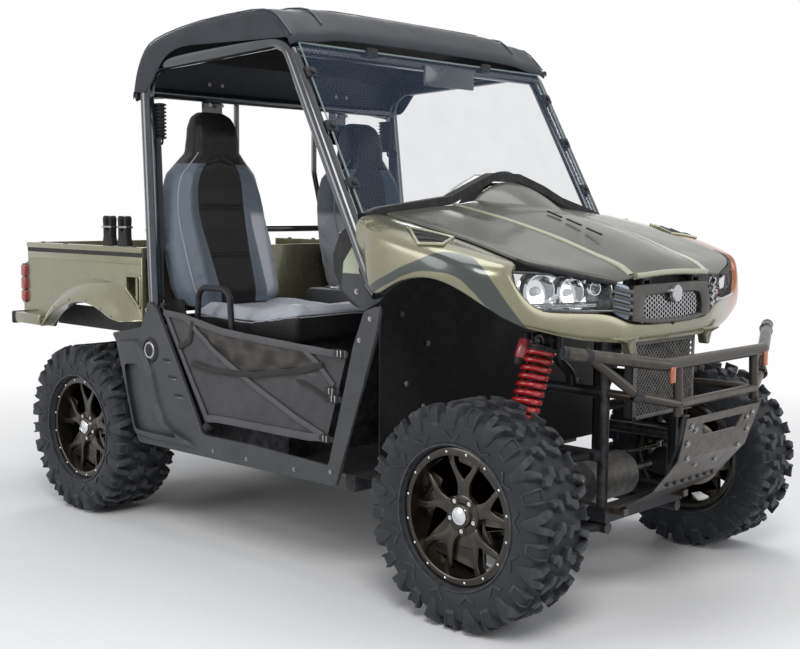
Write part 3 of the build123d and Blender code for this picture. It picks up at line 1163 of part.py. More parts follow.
# ---- rear bumper, hitch, silencer ----
rear_bumper = bent_tube([(-1215, -430, 480), (-1330, -400, 480), (-1330, 400, 480), (-1215, 430, 480)], 20, 60)
for side in SIDES.values():
    foot_x = FRAME_REAR_X - FIT_GAP
    rear_bumper += block((foot_x - 10, foot_x), (side * RAIL_Y - 22, side * RAIL_Y + 22),
                         (RAIL_Z - 22, RAIL_Z + 22))
    rear_bumper += rod((foot_x - 18, side * RAIL_Y, RAIL_Z + 10), (-1330, side * RAIL_Y, 480), 12)
HITCH_OUT = 32.0                  # half of the receiver tube's outside
HITCH_IN = 25.4
HITCH_X = (-1352.0, FRAME_REAR_X + 30)
receiver = block(HITCH_X, (-HITCH_OUT, HITCH_OUT), (RAIL_Z - HITCH_OUT, RAIL_Z + HITCH_OUT))
hitch_bore = block((HITCH_X[0] - 1, FRAME_REAR_X - 10), (-HITCH_IN, HITCH_IN),
                   (RAIL_Z - HITCH_IN, RAIL_Z + HITCH_IN))
receiver -= hitch_bore
parts["rear_bumper"] = rear_bumper
parts["frame"] = solids(frame, receiver)
SILENCER = (-1150.0, 620.0, 55.0, 165.0)   # x, z, radius, half length
pipe_x, pipe_z, pipe_radius, pipe_half = SILENCER
silencer = rod((pipe_x, -pipe_half, pipe_z), (pipe_x, pipe_half, pipe_z), pipe_radius)
for y in (-90, 90):
    silencer += block((pipe_x - 8, pipe_x + 8), (y - 12, y + 12), (pipe_z, BED_REST_Z + 8))
    silencer += block((pipe_x - 8, REAR_POST_X - TOWER_RADIUS - FIT_GAP), (y - 12, y + 12),
                      (BED_REST_Z - 6, BED_REST_Z + 8))
parts["silencer"] = silencer
for name, shape in parts.items():
    export_step(shape, f"parts/{name}.step")
    print(name, len(shape.solids()), round(shape.volume / 1e6, 3))
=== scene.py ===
import logging
import math
from dataclasses import dataclass, field, replace
from enum import Enum
from typing import Callable, Optional, Sequence

import bmesh
import bpy
from mathutils import Matrix, Vector
from mathutils.bvhtree import BVHTree


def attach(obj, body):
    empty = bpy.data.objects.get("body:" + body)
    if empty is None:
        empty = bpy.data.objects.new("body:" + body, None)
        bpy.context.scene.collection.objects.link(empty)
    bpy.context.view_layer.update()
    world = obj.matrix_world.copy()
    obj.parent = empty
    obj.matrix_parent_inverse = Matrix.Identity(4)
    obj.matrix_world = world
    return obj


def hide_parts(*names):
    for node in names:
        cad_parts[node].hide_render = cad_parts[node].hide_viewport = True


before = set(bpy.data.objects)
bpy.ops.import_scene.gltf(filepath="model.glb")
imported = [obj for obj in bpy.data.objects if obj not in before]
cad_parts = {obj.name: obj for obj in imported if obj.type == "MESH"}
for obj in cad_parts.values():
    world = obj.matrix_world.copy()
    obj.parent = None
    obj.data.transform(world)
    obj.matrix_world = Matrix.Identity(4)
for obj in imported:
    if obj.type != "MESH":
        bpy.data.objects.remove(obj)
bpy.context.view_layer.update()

# Looks of the side by side utility vehicle. Shapes are modelled in millimetres, +X forward, +Y left and
# +Z up, and are scaled to metres as each one becomes a piece.
LOG = logging.getLogger("vehicle")
MM = 0.001
Point = Sequence[float]
Profile = Sequence[tuple[float, float]]
SPIN_GAP = 0.02         # least radius in a turned profile, whose points are welded afterwards
SPIN_WELD = 0.03        # points of a turned shape nearer than this are welded
SKIN_WELD = 0.01        # points where a skin's ends meet are welded
SHEET_WELD = 0.6        # points of a mirrored sheet nearer than this are welded
STRAIGHT = 0.02         # turn in radians below which a corner is left alone
BEND_SHARE = 0.45       # share of a run that a bend may take up
LEAST = 1e-9            # keeps a division away from zero


class Side(Enum):
    """The vehicle's two sides, as the sign of Y."""

    RIGHT = -1
    LEFT = 1

    @property
    def word(self) -> str:
        """Lower case name of the side."""
        return self.name.lower()


class End(Enum):
    """The two axles."""

    FRONT = "front"
    REAR = "rear"


# ---------------------------------------------------------------------------------------------- shapes
def new_shape() -> bmesh.types.BMesh:
    """An empty mesh to model in."""
    return bmesh.new()


def to_mesh(bm: bmesh.types.BMesh, name: str) -> bpy.types.Mesh:
    """Turns a shape into a mesh and frees it."""
    mesh = bpy.data.meshes.new(name)
    bm.to_mesh(mesh)
    bm.free()
    return mesh


def put_in_scene(name: str, data: bpy.types.ID) -> bpy.types.Object:
    """Makes an object of a mesh, lamp or camera and links it to the scene."""
    made = bpy.data.objects.new(name, data)
    bpy.context.scene.collection.objects.link(made)
    return made


def turn_to(direction: Vector) -> Matrix:
    """Rotation that takes +Z to a direction."""
    return Vector((0, 0, 1)).rotation_difference(direction).to_matrix().to_4x4()


def round_edges(bm: bmesh.types.BMesh, edges: list, width: float, segments: int = 2, clamp: bool = False) -> None:
    """Rounds edges, by no more than their faces allow where clamp is set."""
    bmesh.ops.bevel(bm, geom=edges, offset=width, segments=segments, profile=0.5, affect="EDGES",
                    clamp_overlap=clamp, material=-1)


def edges_of(items: Sequence) -> list:
    """Edges that vertices or faces touch."""
    return list({edge for item in items for edge in getattr(item, "link_edges", None) or item.edges})


def add_box(bm: bmesh.types.BMesh, low: Point, high: Point, bevel: float = 0.0, segments: int = 2,
            turn: Optional[Matrix] = None) -> None:
    """Adds a box between two corners, with rounded edges.

    Args:
        bm: mesh to add to.
        low: one corner, before the turn.
        high: the opposite corner.
        bevel: width of the rounded edges.
        segments: steps in each rounded edge.
        turn: a turn about the box's middle.
    """
    low_v, high_v = Vector(low), Vector(high)
    size = Matrix.Diagonal((*(abs(reach) for reach in high_v - low_v), 1.0))
    matrix = Matrix.Translation((low_v + high_v) / 2) @ (turn or Matrix.Identity(4)) @ size
    made = bmesh.ops.create_cube(bm, size=1.0, matrix=matrix)
    if bevel > 0:
        round_edges(bm, edges_of(made["verts"]), bevel, segments)


def add_rod(bm: bmesh.types.BMesh, start: Point, end: Point, radius: float, radius_end: Optional[float] = None,
            segments: int = 20, bevel: float = 0.0) -> None:
    """Adds a capped rod or taper between two points.

    Args:
        bm: mesh to add to.
        start: middle of the first end.
        end: middle of the second end.
        radius: radius at the first end.
        radius_end: radius at the second end, the same where it is None.
        segments: sides of the rod.
        bevel: width of the rounded end edges.
    """
    start_v, end_v = Vector(start), Vector(end)
    way = end_v - start_v
    matrix = Matrix.Translation((start_v + end_v) / 2) @ turn_to(way)
    last = radius if radius_end is None else radius_end
    made = bmesh.ops.create_cone(bm, cap_ends=True, cap_tris=False, segments=segments, radius1=radius,
                                 radius2=last, depth=way.length, matrix=matrix)
    if bevel > 0:
        faces = {face for vert in made["verts"] for face in vert.link_faces}
        round_edges(bm, edges_of([face for face in faces if len(face.verts) == segments]), bevel)


def add_ball(bm: bmesh.types.BMesh, centre: Point, radius: float, squash: Point = (1, 1, 1),
             rings: int = 10) -> None:
    """Adds a ball, flattened by three factors."""
    matrix = Matrix.Translation(Vector(centre)) @ Matrix.Diagonal((*squash, 1.0))
    bmesh.ops.create_uvsphere(bm, u_segments=2 * rings, v_segments=rings, radius=radius, matrix=matrix)


def add_lathe(bm: bmesh.types.BMesh, profile: Profile, centre: Point, axis: Point, segments: int = 48,
              closed: bool = False) -> None:
    """Spins a profile of (distance along the axis, radius) points through a full turn.

    Args:
        bm: mesh to add to.
        profile: points of the section.
        centre: point on the axis where the distance is zero.
        axis: direction of the axis.
        segments: steps of the turn.
        closed: whether the last point joins the first.
    """
    axis_v = Vector(axis).normalized()
    out = axis_v.orthogonal().normalized()
    origin = Vector(centre)
    before = set(bm.verts)
    line = [bm.verts.new(origin + axis_v * along + out * max(radius, SPIN_GAP)) for along, radius in profile]
    pairs = list(zip(line, line[1:]))
    if closed:
        pairs.append((line[-1], line[0]))
    edges = [bm.edges.new(pair) for pair in pairs]
    bmesh.ops.spin(bm, geom=line + edges, cent=origin, axis=axis_v, angle=math.tau, steps=segments,
                   use_merge=True)
    bmesh.ops.remove_doubles(bm, verts=[vert for vert in bm.verts if vert not in before], dist=SPIN_WELD)


class Plane(Enum):
    """Plane that an outline is drawn in: the two axes it uses and the one it is extruded along."""

    SIDE = (0, 2, 1)
    FRONT = (1, 2, 0)
    PLAN = (0, 1, 2)


def add_plate(bm: bmesh.types.BMesh, outline: Profile, plane: Plane, low: float, high: float,
              bevel: float = 0.0, segments: int = 2) -> None:
    """Extrudes an outline between two distances along the axis across its plane.

    Args:
        bm: mesh to add to.
        outline: corner points in the plane.
        plane: plane of the outline.
        low: first distance.
        high: second distance.
        bevel: width of the rounded edges.
        segments: steps in each rounded edge.
    """
    first, second, across = plane.value
    verts = []
    for a, b in outline:
        at = [0.0, 0.0, 0.0]
        at[first], at[second], at[across] = a, b, low
        verts.append(bm.verts.new(at))
    face = bm.faces.new(verts)
    made = bmesh.ops.extrude_face_region(bm, geom=[face])
    moved = [item for item in made["geom"] if isinstance(item, bmesh.types.BMVert)]
    way = [0.0, 0.0, 0.0]
    way[across] = high - low
    bmesh.ops.translate(bm, vec=way, verts=moved)
    if bevel > 0:
        round_edges(bm, edges_of(verts + moved), bevel, segments, clamp=True)


def rounded_path(points: Sequence[Point], bend: float, steps: int = 6) -> list[Vector]:
    """Points of a path whose corners are rounded by arcs.

    Args:
        points: corners of the path.
        bend: radius of each bend, cut down where a run is short.
        steps: steps in each arc.

    Returns:
        The path's points.
    """
    corners = [Vector(p) for p in points]
    path = [corners[0]]
    for before, corner, after in zip(corners, corners[1:], corners[2:]):
        into, out = (corner - before), (after - corner)
        turn = into.angle(out, 0.0)
        if turn < STRAIGHT:
            path.append(corner)
            continue
        reach = min(bend * math.tan(turn / 2), BEND_SHARE * into.length, BEND_SHARE * out.length)
        begin = corner - into.normalized() * reach
        finish = corner + out.normalized() * reach
        for index in range(steps + 1):
            share = index / steps
            path.append(begin.lerp(corner, share).lerp(corner.lerp(finish, share), share))
    path.append(corners[-1])
    return path


def add_tube(bm: bmesh.types.BMesh, path: Sequence[Point], radius: float, segments: int = 12,
             closed: bool = False, squash: float = 1.0) -> None:
    """Sweeps a circle along a path.

    Args:
        bm: mesh to add to.
        path: points of the path.
        radius: radius of the circle.
        segments: sides of the tube.
        closed: whether the path is a loop.
        squash: factor on the section's second direction, for a strap or a flat bar.
    """
    points = [Vector(p) for p in path]
    count = len(points)
    tangents = []
    for index in range(count):
        before = points[index - 1] if (index > 0 or closed) else points[index]
        after = points[(index + 1) % count] if (index < count - 1 or closed) else points[index]
        tangents.append((after - before).normalized())
    across = tangents[0].orthogonal().normalized()
    rings = []
    for at, tangent in zip(points, tangents):
        across = (across - tangent * across.dot(tangent)).normalized()
        other = tangent.cross(across)
        made = bmesh.ops.create_circle(bm, cap_ends=False, segments=segments, radius=radius)["verts"]
        turn = Matrix((across, other * squash, tangent)).transposed().to_4x4()
        bmesh.ops.transform(bm, matrix=Matrix.Translation(at) @ turn, verts=made)
        rings.append(made)
    loops = list(zip(rings, rings[1:]))
    if closed:
        loops.append((rings[-1], rings[0]))
    for first, second in loops:
        bmesh.ops.bridge_loops(bm, edges=loop_edges(first) + loop_edges(second))
    if not closed:
        for ring in (rings[0], rings[-1]):
            bmesh.ops.contextual_create(bm, geom=loop_edges(ring))


def loop_edges(verts: Sequence) -> list:
    """Edges that join vertices of one ring."""
    members = set(verts)
    return list({edge for vert in verts for edge in vert.link_edges if edge.other_vert(vert) in members})


def add_skin(bm: bmesh.types.BMesh, sections: Sequence[Sequence[Point]]) -> None:
    """Bridges open sections of equal length into one sheet."""
    rows = [[bm.verts.new(p) for p in section] for section in sections]
    lines = [[bm.edges.new(pair) for pair in zip(row, row[1:])] for row in rows]
    for first, second in zip(lines, lines[1:]):
        bmesh.ops.bridge_loops(bm, edges=first + second)


def add_sheet(bm: bmesh.types.BMesh, rows: Sequence[Sequence[Point]]) -> None:
    """Adds a skin through rows of points, and its mirror image across Y."""
    add_skin(bm, rows)
    made = bmesh.ops.duplicate(bm, geom=bm.verts[:] + bm.edges[:] + bm.faces[:])
    copies = [item for item in made["geom"] if isinstance(item, bmesh.types.BMVert)]
    bmesh.ops.scale(bm, vec=(1, -1, 1), verts=copies)
    bmesh.ops.remove_doubles(bm, verts=bm.verts[:], dist=SHEET_WELD)
    bmesh.ops.recalc_face_normals(bm, faces=bm.faces[:])


def face_out(bm: bmesh.types.BMesh, centre: Point) -> None:
    """Turns the faces of an open skin away from a point inside the vehicle."""
    bmesh.ops.recalc_face_normals(bm, faces=bm.faces[:])
    middle = Vector(centre)
    score = sum(face.normal.dot(face.calc_center_median() - middle) * face.calc_area() for face in bm.faces)
    if score < 0:
        bmesh.ops.reverse_faces(bm, faces=bm.faces[:])


def mirror_y(bm: bmesh.types.BMesh) -> None:
    """Turns a shape into its mirror image across Y."""
    bmesh.ops.scale(bm, vec=(1, -1, 1), verts=bm.verts[:])
    bmesh.ops.reverse_faces(bm, faces=bm.faces[:])


def along(points: Profile, at: float) -> float:
    """Second value of a line of (first, second) points, found by its first value."""
    rows = sorted(points)
    if at <= rows[0][0]:
        return rows[0][1]
    for (a0, b0), (a1, b1) in zip(rows, rows[1:]):
        if at <= a1:
            return b0 + (b1 - b0) * (at - a0) / max(a1 - a0, LEAST)
    return rows[-1][1]


# -------------------------------------------------------------------------------------------- finishes
Colour = tuple[float, float, float]
Socket = bpy.types.NodeSocket


@dataclass(frozen=True)
class Finish:
    """One finish of the vehicle, with its grain, wear and dust.

    Attributes:
        name: name of the material.
        colour: main colour, linear.
        second: colour that the blotches lean to.
        rough: lowest and highest roughness.
        metallic: 0 for plastic and rubber, 1 for bare metal.
        grain: size of the fine grain, in grains a metre.
        bump: height of the grain, in metres.
        wear: colour of worn edges.
        worn: how much the edges show it, from 0 to 1.
        dust: how much dust lies in it, from 0 to 1.
        coat: clear coat over the finish.
        sheen: soft sheen of cloth and rubber.
        recolour: a function of the surface and the colour so far, which returns a new colour socket.
    """

    name: str
    colour: Colour
    second: Colour
    rough: tuple[float, float]
    metallic: float = 0.0
    grain: float = 900.0
    bump: float = 0.0002
    wear: Colour = (0.3, 0.3, 0.3)
    worn: float = 0.2
    dust: float = 0.05
    coat: float = 0.0
    sheen: float = 0.0
    recolour: Optional[Callable] = None


RUBBER = Finish("tyre_rubber", (0.019, 0.021, 0.025), (0.034, 0.037, 0.044), (0.5, 0.78), grain=700,
                bump=0.0004, wear=(0.12, 0.125, 0.135), worn=0.5, dust=0.1, sheen=0.2)
ALLOY = Finish("alloy_black_bronze", (0.012, 0.010, 0.008), (0.030, 0.022, 0.014), (0.22, 0.42), metallic=0.6,
               grain=1600, bump=0.00006, wear=(0.24, 0.19, 0.13), worn=0.35, coat=0.5)
BRIGHT = Finish("bright_metal", (0.62, 0.62, 0.62), (0.42, 0.42, 0.43), (0.14, 0.32), metallic=1.0,
                grain=1200, bump=0.00005, wear=(0.85, 0.85, 0.85), worn=0.3)
DISC = Finish("brake_disc_steel", (0.50, 0.44, 0.33), (0.62, 0.60, 0.56), (0.2, 0.36), metallic=1.0,
              grain=500, bump=0.00005, wear=(0.75, 0.66, 0.48), worn=0.3)
CALIPER = Finish("caliper_gold", (0.33, 0.24, 0.10), (0.22, 0.16, 0.08), (0.35, 0.5), metallic=0.8,
                 grain=600, bump=0.0002, wear=(0.7, 0.6, 0.4), worn=0.4)
FRAME_BLACK = Finish("frame_black", (0.010, 0.011, 0.013), (0.022, 0.023, 0.026), (0.3, 0.5), metallic=0.2,
                     grain=1200, bump=0.0001, wear=(0.18, 0.18, 0.19), worn=0.35, dust=0.06)
CAGE = Finish("cage_gloss_black", (0.006, 0.009, 0.014), (0.012, 0.018, 0.028), (0.1, 0.2), metallic=0.2,
              grain=1100, bump=0.00004, wear=(0.1, 0.13, 0.18), worn=0.3, coat=1.0)
CAST = Finish("cast_grey", (0.10, 0.10, 0.10), (0.16, 0.155, 0.15), (0.5, 0.7), metallic=0.6,
              grain=420, bump=0.0004, wear=(0.42, 0.4, 0.37), worn=0.5, dust=0.15)
SPRING = Finish("spring_red", (0.56, 0.008, 0.014), (0.40, 0.006, 0.010), (0.16, 0.28), grain=900,
                bump=0.00008, wear=(0.8, 0.15, 0.12), worn=0.2, coat=0.8)
OLIVE = Finish("body_olive", (0.205, 0.196, 0.122), (0.230, 0.221, 0.142), (0.22, 0.32), metallic=0.6,
               grain=2200, bump=0.00003, wear=(0.42, 0.41, 0.30), worn=0.03, dust=0.0, coat=0.8)
OLIVE_LINE = Finish("pale_olive_line", (0.42, 0.42, 0.31), (0.36, 0.36, 0.26), (0.2, 0.3), metallic=0.4,
                    grain=2200, bump=0.00003, worn=0.2, dust=0.0, coat=0.6)
HOOD_DARK = Finish("hood_dark_olive", (0.056, 0.057, 0.045), (0.082, 0.083, 0.065), (0.26, 0.40), metallic=0.25,
                   grain=2200, bump=0.00003, wear=(0.35, 0.35, 0.28), worn=0.2, dust=0.0, coat=0.3)
GREY = Finish("panel_grey", (0.048, 0.050, 0.054), (0.064, 0.066, 0.071), (0.30, 0.44), grain=1500,
              bump=0.00012, wear=(0.17, 0.17, 0.18), worn=0.3, dust=0.05)
ROOF = Finish("roof_plastic", (0.020, 0.023, 0.028), (0.034, 0.039, 0.048), (0.38, 0.55), grain=1300,
              bump=0.00015, wear=(0.12, 0.13, 0.15), worn=0.25)
ROOF_SIDE = Finish("roof_skirt_blue_grey", (0.062, 0.080, 0.100), (0.050, 0.066, 0.084), (0.3, 0.45), grain=1300,
                   bump=0.0001, worn=0.25)
DIAL = Finish("dial_face", (0.03, 0.035, 0.05), (0.02, 0.022, 0.03), (0.1, 0.2), grain=800, bump=0.00002, coat=1.0)
GREEN_BLACK = Finish("mirror_green_black", (0.014, 0.034, 0.030), (0.020, 0.024, 0.026), (0.1, 0.2), grain=1200,
                     bump=0.00002, worn=0.2, coat=0.8)
BLACK = Finish("black_plastic", (0.012, 0.012, 0.013), (0.022, 0.022, 0.024), (0.45, 0.65), grain=1500,
               bump=0.00015, wear=(0.09, 0.09, 0.095), worn=0.3)
GLOSS = Finish("gloss_black", (0.008, 0.008, 0.009), (0.014, 0.014, 0.016), (0.08, 0.18), grain=1500,
               bump=0.00002, wear=(0.1, 0.1, 0.11), worn=0.2, coat=1.0)
BROWN_STEEL = Finish("guard_brown_black", (0.021, 0.016, 0.012), (0.036, 0.028, 0.021), (0.30, 0.46),
                     metallic=0.25, grain=1100, bump=0.0001, wear=(0.26, 0.22, 0.18), worn=0.35, coat=0.15)
BRONZE_PANEL = Finish("grille_bronze_black", (0.016, 0.014, 0.011), (0.028, 0.024, 0.019), (0.24, 0.38), metallic=0.2,
                      grain=2000, bump=0.00003, worn=0.15, dust=0.0, coat=0.3)
RED_CAP = Finish("reservoir_red", (0.50, 0.05, 0.07), (0.38, 0.03, 0.05), (0.2, 0.3), grain=900, bump=0.00008,
                 wear=(0.8, 0.4, 0.4), worn=0.2, coat=0.6)
SEAL = Finish("seal_rubber", (0.008, 0.008, 0.009), (0.016, 0.016, 0.017), (0.55, 0.75), grain=900,
              bump=0.0002, worn=0.1, sheen=0.15)
TRIM = Finish("silver_trim", (0.36, 0.37, 0.39), (0.28, 0.29, 0.31), (0.22, 0.36), metallic=0.8,
              grain=1400, bump=0.00005, wear=(0.7, 0.7, 0.7), worn=0.3)
CHROME = Finish("chrome", (0.78, 0.79, 0.80), (0.66, 0.67, 0.69), (0.05, 0.12), metallic=1.0,
                grain=900, bump=0.00002, worn=0.1, dust=0.0)
LAMP_GREY = Finish("lamp_strip_blue_grey", (0.16, 0.20, 0.26), (0.22, 0.26, 0.32), (0.2, 0.35), metallic=0.3,
                   grain=1500, bump=0.00004, worn=0.2, coat=0.5)
RED_LENS = Finish("tail_lamp_red", (0.36, 0.010, 0.008), (0.26, 0.006, 0.006), (0.08, 0.18), grain=300,
                  bump=0.0003, wear=(0.6, 0.1, 0.08), worn=0.2, coat=1.0)
ORANGE = Finish("accent_orange", (0.46, 0.085, 0.018), (0.36, 0.06, 0.015), (0.2, 0.32), metallic=0.2,
                grain=2200, bump=0.00003, worn=0.1, coat=0.7)
DISC_BLANK = Finish("badge_blank", (0.50, 0.51, 0.53), (0.40, 0.41, 0.43), (0.18, 0.3), metallic=0.9,
                    grain=1500, bump=0.00003, worn=0.3)
SEAT_BLACK = Finish("seat_black_vinyl", (0.010, 0.010, 0.011), (0.018, 0.018, 0.020), (0.42, 0.58), grain=420,
                    bump=0.0005, wear=(0.06, 0.06, 0.065), worn=0.2, sheen=0.25)
SEAT_GREY = Finish("seat_blue_grey_vinyl", (0.110, 0.135, 0.165), (0.130, 0.155, 0.190), (0.38, 0.55), grain=420,
                   bump=0.0005, wear=(0.2, 0.22, 0.25), worn=0.2, sheen=0.25)
SEAT_PALE = Finish("seat_pale_vinyl", (0.44, 0.46, 0.50), (0.38, 0.40, 0.44), (0.38, 0.55), grain=420,
                   bump=0.0005, wear=(0.45, 0.46, 0.48), worn=0.15, sheen=0.25)
PIPING = Finish("seat_piping", (0.36, 0.37, 0.40), (0.28, 0.29, 0.32), (0.4, 0.55), grain=1500,
                bump=0.0001, worn=0.1)
BOLT = Finish("bolt_zinc", (0.30, 0.30, 0.31), (0.20, 0.20, 0.21), (0.25, 0.4), metallic=1.0,
              grain=900, bump=0.0001, wear=(0.6, 0.6, 0.6), worn=0.4)
GREEN_PAD = Finish("pale_green_plate", (0.42, 0.45, 0.34), (0.24, 0.29, 0.18), (0.3, 0.45), grain=1400,
                   bump=0.00005, worn=0.3)


@dataclass(frozen=True)
class Weave:
    """A woven finish.

    Attributes:
        name: name of the material.
        warp: colour of the threads one way.
        weft: colour of the threads the other way.
        threads: threads a metre.
        rough: roughness.
        coat: shine of a coated cloth.
    """

    name: str
    warp: Colour
    weft: Colour
    threads: float
    rough: float = 0.75
    coat: float = 0.0


DOOR_CLOTH = Weave("door_cloth", (0.052, 0.052, 0.055), (0.030, 0.030, 0.032), 520, 0.62, 0.12)
WEBBING = Weave("belt_webbing", (0.058, 0.066, 0.082), (0.034, 0.039, 0.050), 380, 0.7)
BORDER = Weave("door_border", (0.085, 0.085, 0.090), (0.055, 0.055, 0.058), 420, 0.6)
STRAP = Weave("black_strap", (0.012, 0.012, 0.012), (0.022, 0.022, 0.023), 420, 0.6)


@dataclass(frozen=True)
class Glass:
    """Thin clear glass that lets light straight through.

    Attributes:
        name: name of the material.
        colour: tint of the light that passes.
        density: share of the surface that is seen, from 0 to 1.
        rough: roughness of its gloss.
    """

    name: str
    colour: Colour
    density: float
    rough: float = 0.02


SCREEN_GLASS = Glass("windshield_glass", (0.030, 0.070, 0.150), 0.13)
EDGE_GLASS = Glass("glass_edge", (0.55, 0.66, 0.62), 0.55, 0.1)
BULB_GLASS = Glass("bulb_glass", (0.75, 0.82, 0.86), 0.7, 0.1)
LAMP_GLASS = Glass("lamp_glass", (0.80, 0.86, 0.90), 0.035)
DUST: Colour = (0.30, 0.27, 0.23)


class ShaderTree:
    """A node tree with short ways to add and link its nodes."""

    def __init__(self, tree: bpy.types.NodeTree) -> None:
        """Keeps the tree that the nodes are added to."""
        self.tree = tree

    def feed(self, target: Socket, value: object) -> None:
        """Links a socket to an input, or sets the input's own value."""
        if isinstance(value, Socket):
            self.tree.links.new(value, target)
        else:
            target.default_value = value

    def add(self, kind: str, inputs: Optional[dict] = None, **settings: object) -> bpy.types.Node:
        """Adds a shader node.

        Args:
            kind: its type, without the prefix ShaderNode.
            inputs: a socket or a value for each named or numbered input.
            settings: its properties.

        Returns:
            The node.
        """
        node = self.tree.nodes.new(f"ShaderNode{kind}")
        for key, value in settings.items():
            setattr(node, key, value)
        for key, value in (inputs or {}).items():
            self.feed(node.inputs[key], value)
        return node

    def maths(self, operation: str, *values: object, clamp: bool = False) -> Socket:
        """Result of an operation on sockets and numbers, kept within 0 and 1 where clamp is set."""
        return self.add("Math", dict(enumerate(values)), operation=operation, use_clamp=clamp).outputs[0]

    def ramp(self, value: Socket, start: tuple = (0.0, 1.0), end: tuple = (0.0, 1.0)) -> Socket:
        """Maps values between two numbers to values between two others."""
        inputs = {"Value": value, "From Min": start[0], "From Max": start[1], "To Min": end[0], "To Max": end[1]}
        return self.add("MapRange", inputs).outputs["Result"]

    def split(self, vector: Socket) -> tuple:
        """X, y and z sockets of a vector."""
        return tuple(self.add("SeparateXYZ", {"Vector": vector}).outputs)

    def mix(self, share: Socket, first: object, second: object) -> Socket:
        """Mixes two colours or sockets by a share."""
        colours = [value if isinstance(value, Socket) else (*value, 1.0) for value in (first, second)]
        return self.add("Mix", {0: share, 6: colours[0], 7: colours[1]}, data_type="RGBA").outputs[2]

    def bump(self, height: Socket, strength: float, distance: float) -> Socket:
        """Normal of a height in metres."""
        return self.add("Bump", {"Height": height, "Strength": strength, "Distance": distance}).outputs["Normal"]

    def between(self, value: Socket, low: object, high: object, edge: float = 0.0015) -> Socket:
        """Mask that is 1 where a value lies between two others, and falls to 0 over a soft edge."""
        above, below = (self.ramp(self.maths("SUBTRACT", more, less), (-edge, edge))
                        for more, less in ((value, low), (high, value)))
        return self.maths("MULTIPLY", above, below)

    def curve(self, value: Socket, points: Profile, span: Optional[tuple] = None) -> Socket:
        """Smooth line through points in millimetres, read at a distance in metres.

        Args:
            value: the distance.
            points: distance and height of each point, in order.
            span: lowest and highest height, those of the points where it is None.

        Returns:
            The height in metres.
        """
        first, last = points[0][0], points[-1][0]
        low, high = span or (min(z for _, z in points), max(z for _, z in points))
        node = self.add("FloatCurve", {"Value": self.ramp(value, (first * MM, last * MM))})
        shares = [((x - first) / (last - first), (z - low) / (high - low)) for x, z in points]
        line = node.mapping.curves[0].points
        line[0].location = shares[0]
        for share in shares[1:-1]:
            line.new(*share)
        line[-1].location = shares[-1]
        node.mapping.update()
        return self.ramp(node.outputs["Value"], end=(low * MM, high * MM))


class NodeGroup(ShaderTree):
    """A shader node group that is built once and reads a coordinate."""

    def __init__(self, name: str, values: Sequence[str], results: Sequence[str]) -> None:
        """Makes the group and its sockets.

        Args:
            name: name of the group.
            values: name of each number it reads beside the coordinate.
            results: name of each number it gives.
        """
        super().__init__(bpy.data.node_groups.new(name, "ShaderNodeTree"))
        sockets = [("Vector", "INPUT", "Vector"), *((label, "INPUT", "Float") for label in values),
                   *((label, "OUTPUT", "Float") for label in results)]
        for label, way, kind in sockets:
            self.tree.interface.new_socket(name=label, in_out=way, socket_type=f"NodeSocket{kind}")
        self.entry = self.tree.nodes.new("NodeGroupInput").outputs
        self.exit = self.tree.nodes.new("NodeGroupOutput").inputs

    def give(self, **results: Socket) -> None:
        """Links the results to the group's outputs."""
        for label, result in results.items():
            self.feed(self.exit[label], result)


def build_grain() -> NodeGroup:
    """Group with fine grain for the bump and broad blotches for the colour."""
    group = NodeGroup("Grain", ("Grain",), ("Height", "Blotch"))
    where, grain = group.entry["Vector"], group.entry["Grain"]
    fine = group.add("TexNoise", {"Vector": where, "Scale": grain, "Detail": 3.0})
    broad = group.add("TexNoise", {"Vector": where, "Scale": 9.0, "Detail": 5.0, "Roughness": 0.62})
    pores = group.add("TexVoronoi", {"Vector": where, "Scale": group.maths("MULTIPLY", grain, 0.6)}, feature="F1")
    height = group.maths("ADD", group.maths("MULTIPLY", fine.outputs["Fac"], 0.6),
                         group.maths("MULTIPLY", pores.outputs["Distance"], 0.4))
    spread = group.maths("MULTIPLY", group.maths("SUBTRACT", broad.outputs["Fac"], 0.32), 2.7, clamp=True)
    group.give(Height=height, Blotch=spread)
    return group


def build_wear() -> NodeGroup:
    """Group with a mask of worn edges and one of dust on faces that look up."""
    group = NodeGroup("Wear", ("Worn", "Dust"), ("Edge", "Dusty"))
    geometry = group.add("NewGeometry").outputs
    noise = group.add("TexNoise", {"Vector": group.entry["Vector"], "Scale": 38.0, "Detail": 4.0})
    sharp = group.maths("MULTIPLY", group.maths("SUBTRACT", geometry["Pointiness"], 0.52), 14.0, clamp=True)
    broken = group.maths("MULTIPLY", group.maths("SUBTRACT", noise.outputs["Fac"], 0.3), 2.0, clamp=True)
    edge = group.maths("MULTIPLY", group.maths("MULTIPLY", sharp, broken), group.entry["Worn"], clamp=True)
    up = group.maths("MULTIPLY", group.split(geometry["Normal"])[2], 1.0, clamp=True)
    dusty = group.maths("MULTIPLY", group.maths("MULTIPLY", up, broken), group.entry["Dust"], clamp=True)
    group.give(Edge=edge, Dusty=dusty)
    return group


